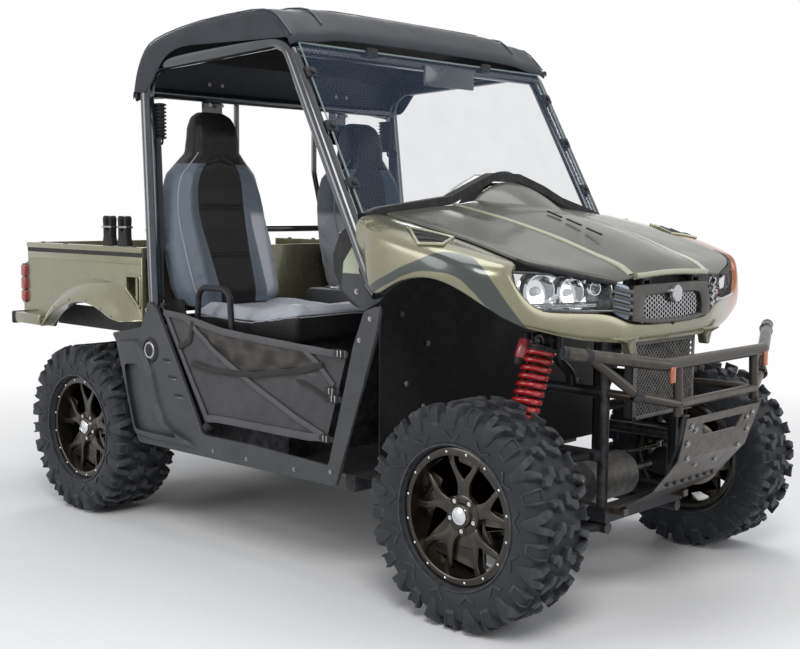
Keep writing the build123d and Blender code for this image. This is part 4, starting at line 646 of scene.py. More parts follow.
def build_weave() -> NodeGroup:
    """Group with the threads of a plain weave on a flat coordinate."""
    group = NodeGroup("Threads", ("Threads",), ("Height", "Warp"))
    scaled = group.add("VectorMath", {0: group.entry["Vector"], "Scale": group.entry["Threads"]}, operation="SCALE")
    x, y, z = group.split(scaled.outputs["Vector"])
    across = group.maths("SINE", group.maths("MULTIPLY", group.maths("ADD", x, y), math.pi))
    upward = group.maths("SINE", group.maths("MULTIPLY", z, math.pi))
    over = group.maths("MULTIPLY", across, upward)
    warp = group.maths("ADD", group.maths("MULTIPLY", over, 0.5), 0.5, clamp=True)
    ridge = group.maths("MAXIMUM", group.maths("ABSOLUTE", across), group.maths("ABSOLUTE", upward))
    group.give(Warp=warp, Height=group.maths("MULTIPLY", ridge, group.maths("ADD", warp, 0.4)))
    return group


class Surface(ShaderTree):
    """A material in the making, with its shader's inputs and its Object coordinates."""

    def __init__(self, name: str) -> None:
        """Makes the material and adds its coordinates."""
        self.material = bpy.data.materials.new(name)
        self.material.use_nodes = True
        super().__init__(self.material.node_tree)
        self.shader = self.tree.nodes["Principled BSDF"].inputs
        self.where = self.add("TexCoord").outputs["Object"]

    def use(self, group: NodeGroup, **values: float) -> bpy.types.NodeOutputs:
        """Places a shared group, fed by the coordinates and its own values, and gives its outputs."""
        node = self.add("Group", node_tree=group.tree)
        for label, value in {"Vector": self.where, **values}.items():
            self.feed(node.inputs[label], value)
        return node.outputs

    def set(self, inputs: dict) -> None:
        """Feeds the shader's inputs with sockets and values."""
        for label, value in inputs.items():
            self.feed(self.shader[label], value)


class PaintShop:
    """Makes each material once."""

    def __init__(self) -> None:
        """Builds the shared node groups."""
        self.grain, self.wear, self.weave = build_grain(), build_wear(), build_weave()
        self.made: dict[str, Surface] = {}

    def material(self, finish: object) -> bpy.types.Material:
        """Material of a Finish, a Weave or a Glass, made at its first use."""
        if finish.name not in self.made:
            surface = self.made[finish.name] = Surface(finish.name)
            makers = {Finish: self.paint, Weave: self.cloth, Glass: self.glass}
            makers[type(finish)](surface, finish)
        return self.made[finish.name].material

    def paint(self, surface: Surface, finish: Finish) -> None:
        """Lays a plain, painted, moulded or metal finish on a surface."""
        grain = surface.use(self.grain, Grain=finish.grain)
        wear = surface.use(self.wear, Worn=finish.worn, Dust=finish.dust)
        colour = surface.mix(grain["Blotch"], finish.colour, finish.second)
        if finish.recolour is not None:
            colour = finish.recolour(surface, colour)
        colour = surface.mix(wear["Edge"], colour, finish.wear)
        glossy = finish.coat or finish.metallic > 0.4
        surface.set({
            "Base Color": surface.mix(wear["Dusty"], colour, DUST),
            "Roughness": surface.ramp(grain["Blotch"], end=finish.rough),
            "Normal": surface.bump(grain["Height"], 0.6, finish.bump),
            "Metallic": finish.metallic, "Specular IOR Level": 0.5 if glossy else 0.22,
            "Coat Weight": finish.coat, "Coat Roughness": 0.08, "Sheen Weight": 0.25 * finish.sheen})

    def cloth(self, surface: Surface, weave: Weave) -> None:
        """Lays a woven finish on a surface."""
        grain = surface.use(self.grain, Grain=240.0)
        threads = surface.use(self.weave, Threads=weave.threads)
        colour = surface.mix(threads["Warp"], weave.warp, weave.weft)
        faded = tuple(channel * 1.7 for channel in weave.warp)
        surface.set({
            "Base Color": surface.mix(surface.maths("MULTIPLY", grain["Blotch"], 0.35), colour, faded),
            "Normal": surface.bump(threads["Height"], 0.7, 0.0005),
            "Roughness": weave.rough, "Coat Weight": weave.coat, "Specular IOR Level": 0.25,
            "Sheen Weight": 0.08})

    def glass(self, surface: Surface, glass: Glass) -> None:
        """Lays clear glass on a surface."""
        blotch = surface.use(self.grain, Grain=60.0)["Blotch"]
        tinted = tuple(channel * 0.8 for channel in glass.colour)
        surface.set({
            "Base Color": surface.mix(blotch, glass.colour, tinted),
            "Alpha": surface.ramp(blotch, end=(glass.density * 0.85, glass.density)),
            "Roughness": glass.rough, "Specular IOR Level": 0.6})


# ------------------------------------------------------------------------------------- pieces and stage
@dataclass
class Vehicle:
    """What every sub-assembly works with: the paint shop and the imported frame.

    Attributes:
        shop: maker of the materials.
    """

    shop: PaintShop

    def dress(self, finish: object, *nodes: str) -> None:
        """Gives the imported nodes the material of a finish."""
        material = self.shop.material(finish)
        for node in nodes:
            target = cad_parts[node]
            if not target.data.materials:
                target.data.materials.append(material)
            for slot in target.material_slots:
                slot.link = "OBJECT"
                slot.material = material
            LOG.info("node %s: %s", node, material.name)

    def piece(self, name: str, bm: bmesh.types.BMesh, finish: object, slot: str, body: str = "chassis",
              replaces: Sequence[str] = (), smooth: float = 38.0, normals: bool = True,
              bevel: float = 0.0, wall: float = 0.0, subdivide: int = 0) -> bpy.types.Object:
        """Turns a shape in millimetres into a piece of the vehicle.

        Args:
            name: name of the piece.
            bm: the shape, which is used up.
            finish: its Finish, Weave or Glass.
            slot: name of a material slot, not used.
            body: body that it rides on.
            replaces: nodes that it stands for.
            smooth: angle in degrees up to which faces are shaded smooth.
            normals: whether the faces are turned outwards.
            bevel: width of a bevel on its sharp edges, in millimetres.
            wall: thickness of the wall that an open skin gets, in millimetres.
            subdivide: levels of subdivision.

        Returns:
            The piece.
        """
        if normals:
            bmesh.ops.recalc_face_normals(bm, faces=bm.faces[:])
        bmesh.ops.scale(bm, vec=(MM, MM, MM), verts=bm.verts[:])
        for face in bm.faces:
            face.smooth = True
        limit = math.radians(smooth)
        for edge in bm.edges:
            edge.smooth = edge.calc_face_angle(math.pi) < limit
        mesh = to_mesh(bm, name)
        piece = put_in_scene(name, mesh)
        mesh.materials.append(self.shop.material(finish))
        if bevel > 0:
            add_modifier(piece, "rounded edges", "BEVEL", width=bevel * MM, segments=2, limit_method="ANGLE",
                         angle_limit=limit, harden_normals=False)
        if wall > 0:
            add_modifier(piece, "wall", "SOLIDIFY", thickness=wall * MM, offset=-1.0)
        if subdivide > 0:
            add_modifier(piece, "smooth surface", "SUBSURF", levels=subdivide, render_levels=subdivide)
        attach(piece, body)
        if replaces:
            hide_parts(*replaces)
        LOG.info("piece %s: %d faces, on %s", name, len(mesh.polygons), body)
        return piece


def add_modifier(piece: bpy.types.Object, name: str, kind: str, **settings: object) -> None:
    """Adds a modifier and sets its properties."""
    modifier = piece.modifiers.new(name, kind)
    for key, value in settings.items():
        setattr(modifier, key, value)


def add_bolt(bm: bmesh.types.BMesh, at: Point, way: Point, radius: float = 6.0, height: float = 4.0) -> None:
    """Adds a hexagon bolt with its washer, standing on a surface.

    Args:
        bm: mesh to add to.
        at: point on the surface.
        way: direction that the bolt's head looks in.
        radius: radius of the head.
        height: height of the head.
    """
    start, out = Vector(at), Vector(way).normalized()
    add_rod(bm, start, start + out * 1.4, radius * 1.5, segments=16)
    add_rod(bm, start + out * 1.2, start + out * (1.2 + height), radius, radius * 0.94, segments=6)


@dataclass
class Camera:
    """Camera at the vehicle's front right corner.

    Attributes:
        place: its place, in millimetres.
        yaw: direction it looks in, in radians from +X.
        pitch: how far it looks down, in radians.
        roll: its roll, in radians.
        focal: focal length, in pixels of an image.
        pixels: width of that image, in pixels.
    """

    place: tuple[float, float, float] = (3139.66, -3196.13, 1190.65)
    yaw: float = 2.33251
    pitch: float = 0.097944
    roll: float = 0.0074
    focal: float = 1196.28
    pixels: float = 800.0

    def build(self) -> None:
        """Makes the scene's camera."""
        data = bpy.data.cameras.new("camera")
        data.sensor_width = 36.0
        data.lens = self.focal / self.pixels * data.sensor_width
        data.clip_end = 100.0
        camera = put_in_scene("camera", data)
        ahead = Vector((math.cos(self.pitch) * math.cos(self.yaw), math.cos(self.pitch) * math.sin(self.yaw),
                        -math.sin(self.pitch)))
        right = ahead.cross(Vector((0, 0, 1))).normalized()
        up = right.cross(ahead)
        rolled_right = right * math.cos(self.roll) + up * math.sin(self.roll)
        rolled_up = up * math.cos(self.roll) - right * math.sin(self.roll)
        turn = Matrix((rolled_right, rolled_up, -ahead)).transposed().to_4x4()
        camera.matrix_world = Matrix.Translation(Vector(self.place) * MM) @ turn
        bpy.context.scene.camera = camera


@dataclass
class Studio:
    """Pale floor, backdrop and soft lamps.

    Attributes:
        floor_half: half the floor's side, in metres.
        floor_drop: how far the floor lies under the tyres, in metres.
        white_from: distances from the middle over which the floor turns white, in metres.
        aim: point that the lamps look at, in metres.
        lamps: name, place, size and power of each soft lamp, in metres and watts.
    """

    floor_half: float = 14.0
    floor_drop: float = 0.0006
    white_from: tuple = (1.9, 4.2)
    aim: tuple = (0.0, 0.0, 0.8)
    lamps: tuple = (
        ("key", (3.6, -3.6, 4.8), 2.6, 170.0),
        ("fill", (5.4, 2.4, 2.6), 3.0, 55.0),
        ("right", (-1.8, -5.4, 2.2), 3.0, 85.0),
        ("back", (-4.4, 3.8, 3.8), 3.0, 80.0),
        ("top", (0.2, 0.6, 5.6), 3.6, 95.0))

    def white_rays(self, tree: ShaderTree) -> Socket:
        """Mask of camera, glossy and transmission rays."""
        rays = tree.add("LightPath").outputs
        first = tree.maths("MAXIMUM", rays["Is Camera Ray"], rays["Is Glossy Ray"])
        return tree.maths("MAXIMUM", first, rays["Is Transmission Ray"])

    def build_world(self) -> None:
        """World that is white to the camera and a low soft light to the object."""
        world = bpy.data.worlds.new("studio")
        world.use_nodes = True
        world.node_tree.nodes.clear()
        tree = ShaderTree(world.node_tree)
        soft = tree.add("Background", {"Color": (0.92, 0.95, 1.0, 1.0), "Strength": 0.30})
        white = tree.add("Background", {"Color": (1.0, 1.0, 1.0, 1.0), "Strength": 1.0})
        mixed = tree.add("MixShader", {0: self.white_rays(tree), 1: soft.outputs[0], 2: white.outputs[0]})
        tree.add("OutputWorld", {"Surface": mixed.outputs[0]})
        bpy.context.scene.world = world

    def build_floor(self) -> None:
        """Pale floor with a faint speckle, which turns white in the distance."""
        bm = new_shape()
        bmesh.ops.create_grid(bm, x_segments=2, y_segments=2, size=self.floor_half,
                              matrix=Matrix.Translation((0, 0, -self.floor_drop)))
        floor = put_in_scene("floor", to_mesh(bm, "floor"))
        surface = Surface("pale_floor")
        speckle = surface.add("TexNoise", {"Vector": surface.where, "Scale": 40.0})
        surface.set({"Base Color": surface.mix(speckle.outputs["Fac"], (0.93, 0.93, 0.93), (0.89, 0.89, 0.895)),
                     "Roughness": 0.9})
        away = surface.add("VectorMath", {0: surface.where}, operation="LENGTH").outputs["Value"]
        share = surface.maths("MULTIPLY", surface.ramp(away, self.white_from), self.white_rays(surface))
        shader, output = (surface.tree.nodes[name] for name in ("Principled BSDF", "Material Output"))
        mixed = surface.add("MixShader", {0: share, 1: shader.outputs[0], 2: surface.add("Emission").outputs[0]})
        surface.feed(output.inputs["Surface"], mixed.outputs[0])
        floor.data.materials.append(surface.material)

    def build_lamps(self) -> None:
        """Large soft lamps that look at the middle of the vehicle."""
        for name, place, size, power in self.lamps:
            data = bpy.data.lights.new(name, "AREA")
            data.shape = "DISK"
            data.size = size
            data.energy = power
            lamp = put_in_scene(name, data)
            way = Vector(self.aim) - Vector(place)
            lamp.matrix_world = Matrix.Translation(place) @ way.to_track_quat("-Z", "Y").to_matrix().to_4x4()

    def build(self) -> None:
        """Builds the floor, the world and the lamps."""
        bpy.context.scene.view_settings.view_transform = "Standard"
        self.build_world()
        self.build_floor()
        self.build_lamps()


def hub_names(prefix: str) -> list[str]:
    """Names of the four wheels' nodes with a prefix."""
    return [f"{prefix}_{end.value}_{side.word}" for end in End for side in Side]


@dataclass
class Dressing:
    """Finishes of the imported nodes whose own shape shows.

    Attributes:
        vehicle: the vehicle.
        finishes: finish of each group of nodes.
    """

    vehicle: Vehicle
    finishes: tuple = (
        (FRAME_BLACK, ("frame", "front_towers", "rear_towers", "suspension_arms", "seat_base", "hip_rails")),
        (CAGE, ("roll_cage",)),
        (CAST, ("engine", "gearboxes", "knuckle_left", "knuckle_right", "rear_uprights")),
        (BROWN_STEEL, ("front_bumper", "skid_plate")),
        (FRAME_BLACK, ("rear_bumper", "steering_column", "door_rods", "shock_absorbers")),
        (BRIGHT, ("half_shafts", "steering_rack")),
        (SPRING, ("coil_springs",)),
        (OLIVE, ("front_body", "cargo_bed", "tailgate", "hood")),
        (ROOF, ("roof",)),
        (GREY, ("side_panels", "pillar_plates")),
        (BLACK, ("dashboard", "console", "floor_pan", "mirror", "steering_wheel", "radiator", "rear_fenders")),
        (SEAL, ("cowl_seal", "tool_clamps")),
        (GLOSS, ("grille", "silencer")),
        (SEAT_BLACK, ("seats",)),
        (RED_LENS, ("tail_lamps",)),
        (LAMP_GREY, ("headlights",)),
        (DOOR_CLOTH, ("door_left", "door_right")),
        (WEBBING, ("seat_belts",)),
        (SCREEN_GLASS, ("windshield",)))

    def build(self) -> None:
        """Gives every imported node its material."""
        for finish, nodes in (*self.finishes, (RUBBER, hub_names("tyre")), (ALLOY, hub_names("rim"))):
            self.vehicle.dress(finish, *nodes)


# ---------------------------------------------------------------------------------------------- wheels
AXLE = ((0, 0, 0), (0, 1, 0))       # middle and direction of the axle that a wheel is drawn about
BEAD = 0.70                         # place of the tyre's bead, as a share of the half width
FLANGE = 9.3                        # the tyre's bead to the rim's outer face
TOP_SLACK = 0.1                     # points this near a block's top belong to it


def round_axle(count: int, radius: float, start: float = 0.0) -> list[tuple[float, float]]:
    """X and z of places spaced evenly round the axle, from a start in shares of one step."""
    turns = [math.tau * (index + start) / count for index in range(count)]
    return [(radius * math.sin(turn), radius * math.cos(turn)) for turn in turns]


@dataclass
class Tyre:
    """A knobbed tyre, drawn about the origin with its axle along Y.

    Attributes:
        width: width over the blocks.
        radius: radius over the blocks.
        depth: height of the blocks.
        repeats: how often the pattern repeats round the tyre.
        skin: distance out from the middle, then the carcass's and the blocks' own place and radius there.
            Distances are shares of the half width.
    """

    width: float
    radius: float = 325.0
    depth: float = 22.0
    repeats: int = 13
    skin: tuple = (
        (0.00, 0.000, 304, 0.000, 325), (0.80, 0.800, 299, 0.800, 324.5), (0.95, 0.900, 291, 0.970, 316),
        (1.06, 0.935, 282, 0.995, 299), (1.40, 0.955, 252, 0.998, 254), (1.62, 0.945, 234, 0.985, 235),
        (1.95, 0.880, 209, 0.915, 209))

    @property
    def half(self) -> float:
        """Half the width."""
        return self.width / 2

    def on_skin(self, u: float, s: float, h: float) -> Vector:
        """Place of a point of the flat pattern on the tyre.

        Args:
            u: distance round the tread.
            s: distance out from the middle, as a share of the half width.
            h: height over the carcass, from 0 to 1.

        Returns:
            The point.
        """
        out = abs(s)
        low_y, low_r = (along([(row[0], row[i]) for row in self.skin], out) for i in (1, 2))
        top_y, top_r = (along([(row[0], row[i]) for row in self.skin], out) for i in (3, 4))
        y = math.copysign(low_y + (top_y - low_y) * h, s) * self.half
        r = low_r + (top_r - low_r) * h
        turn = u / self.radius
        return Vector((r * math.sin(turn), y, r * math.cos(turn)))

    def block(self, outline: Profile, side: int, depth: float = 1.0, recess: float = 0.0) -> bpy.types.Mesh:
        """One tread block on the tyre's shoulder or crown.

        Args:
            outline: (u, s) corners, u in millimetres and s as a share of the half width.
            side: 1 or -1, the shoulder.
            depth: share of the full height.
            recess: width of the rim round a sunk middle, or 0 for a plain top.

        Returns:
            The block as a mesh, to be copied round the tyre.
        """
        bm = new_shape()
        scale = self.half
        add_plate(bm, [(u, s * scale) for u, s in outline], Plane.PLAN, -3.0, self.depth * depth)
        bmesh.ops.recalc_face_normals(bm, faces=bm.faces[:])
        top = max(bm.faces, key=lambda face: face.calc_center_median().z)
        if recess > 0:
            bmesh.ops.inset_region(bm, faces=[top], thickness=recess, depth=0.0)
            bmesh.ops.inset_region(bm, faces=[top], thickness=1.5, depth=-0.28 * self.depth)
        edges = [e for e in bm.edges if all(abs(v.co.z - self.depth * depth) < TOP_SLACK for v in e.verts)
                 and len(e.link_faces) == 2 and -0.5 < min(f.normal.z for f in e.link_faces) < 0.5]
        round_edges(bm, edges, 2.2, 1, clamp=True)
        for row in self.skin[1:-1]:
            bmesh.ops.bisect_plane(bm, geom=bm.verts[:] + bm.edges[:] + bm.faces[:], dist=0.01,
                                   plane_co=(0, row[0] * scale, 0), plane_no=(0, 1, 0))
        for vert in bm.verts:
            u, s, h = vert.co
            vert.co = self.on_skin(u, side * s / scale, h / self.depth)
        if side < 0:
            bmesh.ops.reverse_faces(bm, faces=bm.faces[:])
        return to_mesh(bm, "tread block")

    def scatter(self, bm: bmesh.types.BMesh, mesh: bpy.types.Mesh, start: float) -> None:
        """Copies a block round the tyre, from a start in millimetres along the tread."""
        for index in range(self.repeats):
            count = len(bm.verts)
            bm.from_mesh(mesh)
            bm.verts.ensure_lookup_table()
            turn = start / self.radius + math.tau * index / self.repeats
            bmesh.ops.rotate(bm, cent=(0, 0, 0), matrix=Matrix.Rotation(turn, 3, "Y"), verts=bm.verts[count:])

    def build(self) -> bpy.types.Mesh:
        """Carcass with its blocks and the lines on its walls.

        Returns:
            The tyre as a mesh in millimetres.
        """
        bm = new_shape()
        wall = [(0.70, 180.5), (0.70, 198.2), (0.76, 201.5), (0.80, 206), (0.88, 209), (0.925, 222), (0.945, 236),
                (0.955, 252), (0.950, 268), (0.935, 282), (0.90, 291), (0.80, 299), (0.40, 303), (0.0, 304)]
        outer = [(y * self.half, r) for y, r in wall]
        inner = [(0.0, 284), (0.72, 280), (0.82, 262), (0.80, 225), (0.58, 181)]
        ring = outer[:-1] + [(0.0, 304.0)] + [(-y, r) for y, r in reversed(outer[:-1])]
        ring += [(-y * self.half, r) for y, r in reversed(inner[1:])] + [(y * self.half, r) for y, r in inner]
        add_lathe(bm, ring, *AXLE, segments=104, closed=True)
        for s in (0.83, 0.90):
            for side in (1, -1):
                band = [(side * s * self.half + dy, r)
                        for dy, r in ((-3, 205), (-2.6, 210.5), (2.6, 210.5), (3, 205))]
                add_lathe(bm, band, *AXLE, segments=72, closed=True)
        pitch = math.tau * self.radius / self.repeats
        shoulder = [(-20, 0.74), (20, 0.74), (21, 1.02), (17, 1.28), (-17, 1.28), (-21, 1.02)]
        fork = [(0, 1.44), (-13, 1.34), (-22, 1.0), (-36, 0.60), (-24, 0.53), (-13, 0.70), (0, 0.98), (13, 0.70),
                (24, 0.53), (36, 0.60), (22, 1.0), (13, 1.34)]
        hook = [(-26, 0.06), (4, 0.06), (10, 0.20), (30, 0.40), (22, 0.52), (4, 0.50), (-8, 0.26), (-28, 0.22)]
        bar = [(-10, 0.12), (16, 0.05), (26, 0.16), (4, 0.28), (6, 0.44), (-12, 0.48), (-16, 0.30)]
        line = [(-44, 1.52), (-38, 1.47), (-6, 1.74), (30, 1.54), (36, 1.60), (-4, 1.90)]
        for side in (1, -1):
            lag = 0.0 if side > 0 else pitch / 2
            self.scatter(bm, self.block(shoulder, side, recess=6.5), lag + pitch / 2)
            self.scatter(bm, self.block(fork, side), lag)
            self.scatter(bm, self.block(hook, side, 0.96), lag + pitch * 0.22)
            self.scatter(bm, self.block(bar, side, 0.96), lag + pitch * 0.72)
            self.scatter(bm, self.block(line, side, 0.9), lag)
        return to_mesh(bm, "tyre")


@dataclass
class Rim:
    """An alloy rim with claw spokes, drawn about the origin with its face at +Y.

    Attributes:
        face: distance from the wheel's middle to the flange's face.
        radius: radius of the flange.
        barrel: inner radius of the barrel.
        recess: the flange's face to the spokes' face.
        spokes: number of spokes.
        nuts: number and radius of the wheel nuts, and the first one's place in shares of a step.
        rivets: the same for the rivets.
    """

    face: float
    radius: float = 198.0
    barrel: float = 173.7
    recess: float = 34.0
    spokes: int = 5
    nuts: tuple = (5, 46, 0.5)
    rivets: tuple = (16, 186, 0.5)

    def add_ring(self, bm: bmesh.types.BMesh) -> None:
        """Barrel with its rounded lip and the flat ring that carries the rivets."""
        f, low, out = self.face, self.barrel, self.radius
        section = [(f - 2, low + 1), (f - 0.5, low + 3), (f, low + 7), (f, out - 6), (f - 1.5, out - 1.5),
                   (f - 5, out), (f - 8.8, out - 1), (f - 9, 180.2), (f - 30, 179.5), (-f + 30, 179.5),
                   (-f + 9, 180.2), (-f + 9, out - 1), (-f + 3, out), (-f, out - 4), (-f, low + 4), (-f + 6, low),
                   (-f + 40, low - 2), (f - 60, low - 2), (f - 12, low)]
        add_lathe(bm, section, *AXLE, segments=96, closed=True)

    def add_spokes(self, bm: bmesh.types.BMesh) -> None:
        """Five claws, each with two curved prongs over a lower web."""
        prong = [(3, 104), (10, 113), (20, 124), (30, 139), (36, 156), (38, 176), (59, 170), (58, 158), (53, 143),
                 (44, 127), (33, 110), (24, 92), (21, 74), (23, 52), (0, 50)]
        web = [(0, 120), (24, 150), (30, 178), (64, 168), (56, 130), (30, 84), (28, 50), (0, 48)]
        top = self.face - self.recess
        for index in range(self.spokes):
            count = len(bm.verts)
            claw = prong + [(-x, z) for x, z in reversed(prong[:-1])]
            add_plate(bm, claw, Plane.SIDE, top - 12, top + 2, bevel=2.6, segments=2)
            lower = web + [(-x, z) for x, z in reversed(web[1:-1])]
            add_plate(bm, lower, Plane.SIDE, top - 18, top - 9, bevel=2.0, segments=1)
            bm.verts.ensure_lookup_table()
            turn = Matrix.Rotation(math.tau * index / self.spokes, 3, "Y")
            bmesh.ops.rotate(bm, cent=(0, 0, 0), matrix=turn, verts=bm.verts[count:])

    def add_hub(self, bm: bmesh.types.BMesh) -> None:
        """Hub with sunk pockets for the wheel nuts."""
        top = self.face - self.recess
        hub = [(top - 18, 40), (top - 18, 60), (top - 4, 61), (top + 3, 57), (top + 5, 52), (top + 5, 36),
               (top + 12, 32), (top + 12, 0)]
        add_lathe(bm, hub, *AXLE, segments=60)
        add_lathe(bm, [(-95, 0), (-95, 24), (-30, 24), (-30, 40), (top - 18, 40)], *AXLE, segments=32)
        for x, z in round_axle(*self.nuts):
            add_lathe(bm, [(top + 1, 14), (top + 7.5, 13.5), (top + 8, 12), (top + 4, 10.5), (top - 2, 10)],
                      (x, 0, z), (0, 1, 0), segments=20)

    def build(self) -> bmesh.types.BMesh:
        """Whole rim."""
        bm = new_shape()
        self.add_ring(bm)
        self.add_spokes(bm)
        self.add_hub(bm)
        return bm

    def bright_bits(self) -> bmesh.types.BMesh:
        """Rivets round the ring and the wheel nuts."""
        bm = new_shape()
        for x, z in round_axle(*self.rivets):
            add_lathe(bm, [(self.face + y, r) for y, r in ((-0.5, 4.6), (1.2, 4.2), (2.4, 2.6), (2.8, 0))],
                      (x, 0, z), (0, 1, 0), segments=10)
        top = self.face - self.recess
        for x, z in round_axle(*self.nuts):
            add_rod(bm, (x, top - 2, z), (x, top + 9, z), 8.2, 7.4, segments=6)
        return bm

    def cap(self) -> bmesh.types.BMesh:
        """Domed cap in the middle of the hub."""
        bm = new_shape()
        dome = ((11, 27), (17, 26.6), (20, 25), (20.6, 22.5), (19.6, 21), (21.5, 17), (23.2, 9), (23.8, 0))
        add_lathe(bm, [(self.face - self.recess + y, r) for y, r in dome], *AXLE, segments=40)
        return bm


@dataclass
class Wheels:
    """The four wheels, and the front discs and calipers.

    Attributes:
        vehicle: the vehicle.
        axle_z: height of the axles.
        axles: x, wheel's middle y and tyre width of each axle.
        disc_inset: wheel's middle to the disc's middle.
    """

    vehicle: Vehicle
    axle_z: float = 325.0
    axles: dict = field(default_factory=lambda: {
        End.FRONT: (985.0, 617.5, 225.0), End.REAR: (-940.0, 620.0, 260.0)})
    disc_inset: float = 38.0

    def put(self, bm: bmesh.types.BMesh, end: End, side: Side) -> bmesh.types.BMesh:
        """Moves a shape from the origin to a wheel's place, mirrored on the right."""
        if side is Side.RIGHT:
            mirror_y(bm)
        x, y, _ = self.axles[end]
        bmesh.ops.translate(bm, vec=(x, side.value * y, self.axle_z), verts=bm.verts[:])
        return bm

    def add_disc(self, side: Side) -> None:
        """Brake disc with its drilled edge, and the caliper over it."""
        bm = new_shape()
        y = -self.disc_inset
        outline = [(y + 2.6, 44), (y + 2.6, 116), (y + 1.4, 118), (y - 1.4, 118), (y - 2.6, 116), (y - 2.6, 44)]
        add_lathe(bm, outline, *AXLE, segments=72, closed=True)
        for index in range(24):
            turn = math.tau * index / 24
            reach = 78 + 24 * (index % 2)
            x, z = reach * math.sin(turn), reach * math.cos(turn)
            add_lathe(bm, [(y + 2.5, 5.6), (y + 3.1, 5.2), (y + 3.1, 3.6), (y + 2.4, 3.4)], (x, 0, z), (0, 1, 0),
                      segments=12)
        self.put(bm, End.FRONT, side)
        name = f"brake_disc_{side.word}"
        self.vehicle.piece(name, bm, DISC, "bare_steel", f"wheel_front_{side.word}")
        bm = new_shape()
        arc = [(126, 38), (141, 30), (146, 0), (141, -30), (126, -38), (80, -34), (76, -20), (76, 20), (80, 34)]
        add_plate(bm, arc, Plane.SIDE, y + 9.4, y + 23.0, bevel=3.0)
        add_box(bm, (125.5, y - 8, -30), (144, y + 12, 30), bevel=3.0)
        add_rod(bm, (108, y + 22, 0), (108, y + 26, 0), 15, 13, segments=28)
        self.put(bm, End.FRONT, side)
        self.vehicle.piece(f"brake_caliper_{side.word}", bm, CALIPER, "cast_parts", f"knuckle_{side.word}")

    def build(self) -> None:
        """Builds the tyres, rims, discs and calipers."""
        for end, (_, _, width) in self.axles.items():
            tyre_mesh = Tyre(width).build()
            face = BEAD * width / 2 + FLANGE
            for side in Side:
                body = f"wheel_{end.value}_{side.word}"
                bm = new_shape()
                bm.from_mesh(tyre_mesh)
                self.put(bm, end, side)
                self.vehicle.piece(f"knobbed_tyre_{end.value}_{side.word}", bm, RUBBER, "tyre", body,
                                   replaces=[f"tyre_{end.value}_{side.word}"])
                rim = Rim(face)
                for kind, make, finish, slot, nodes in (
                        ("alloy_rim", rim.build, ALLOY, "black_alloy", [f"rim_{end.value}_{side.word}"]),
                        ("rivets", rim.bright_bits, BRIGHT, "bare_steel", []),
                        ("hub_cap", rim.cap, CHROME, "bare_steel", [])):
                    self.vehicle.piece(f"{kind}_{end.value}_{side.word}", self.put(make(), end, side), finish, slot,
                                       body, replaces=nodes)
        for side in Side:
            self.add_disc(side)


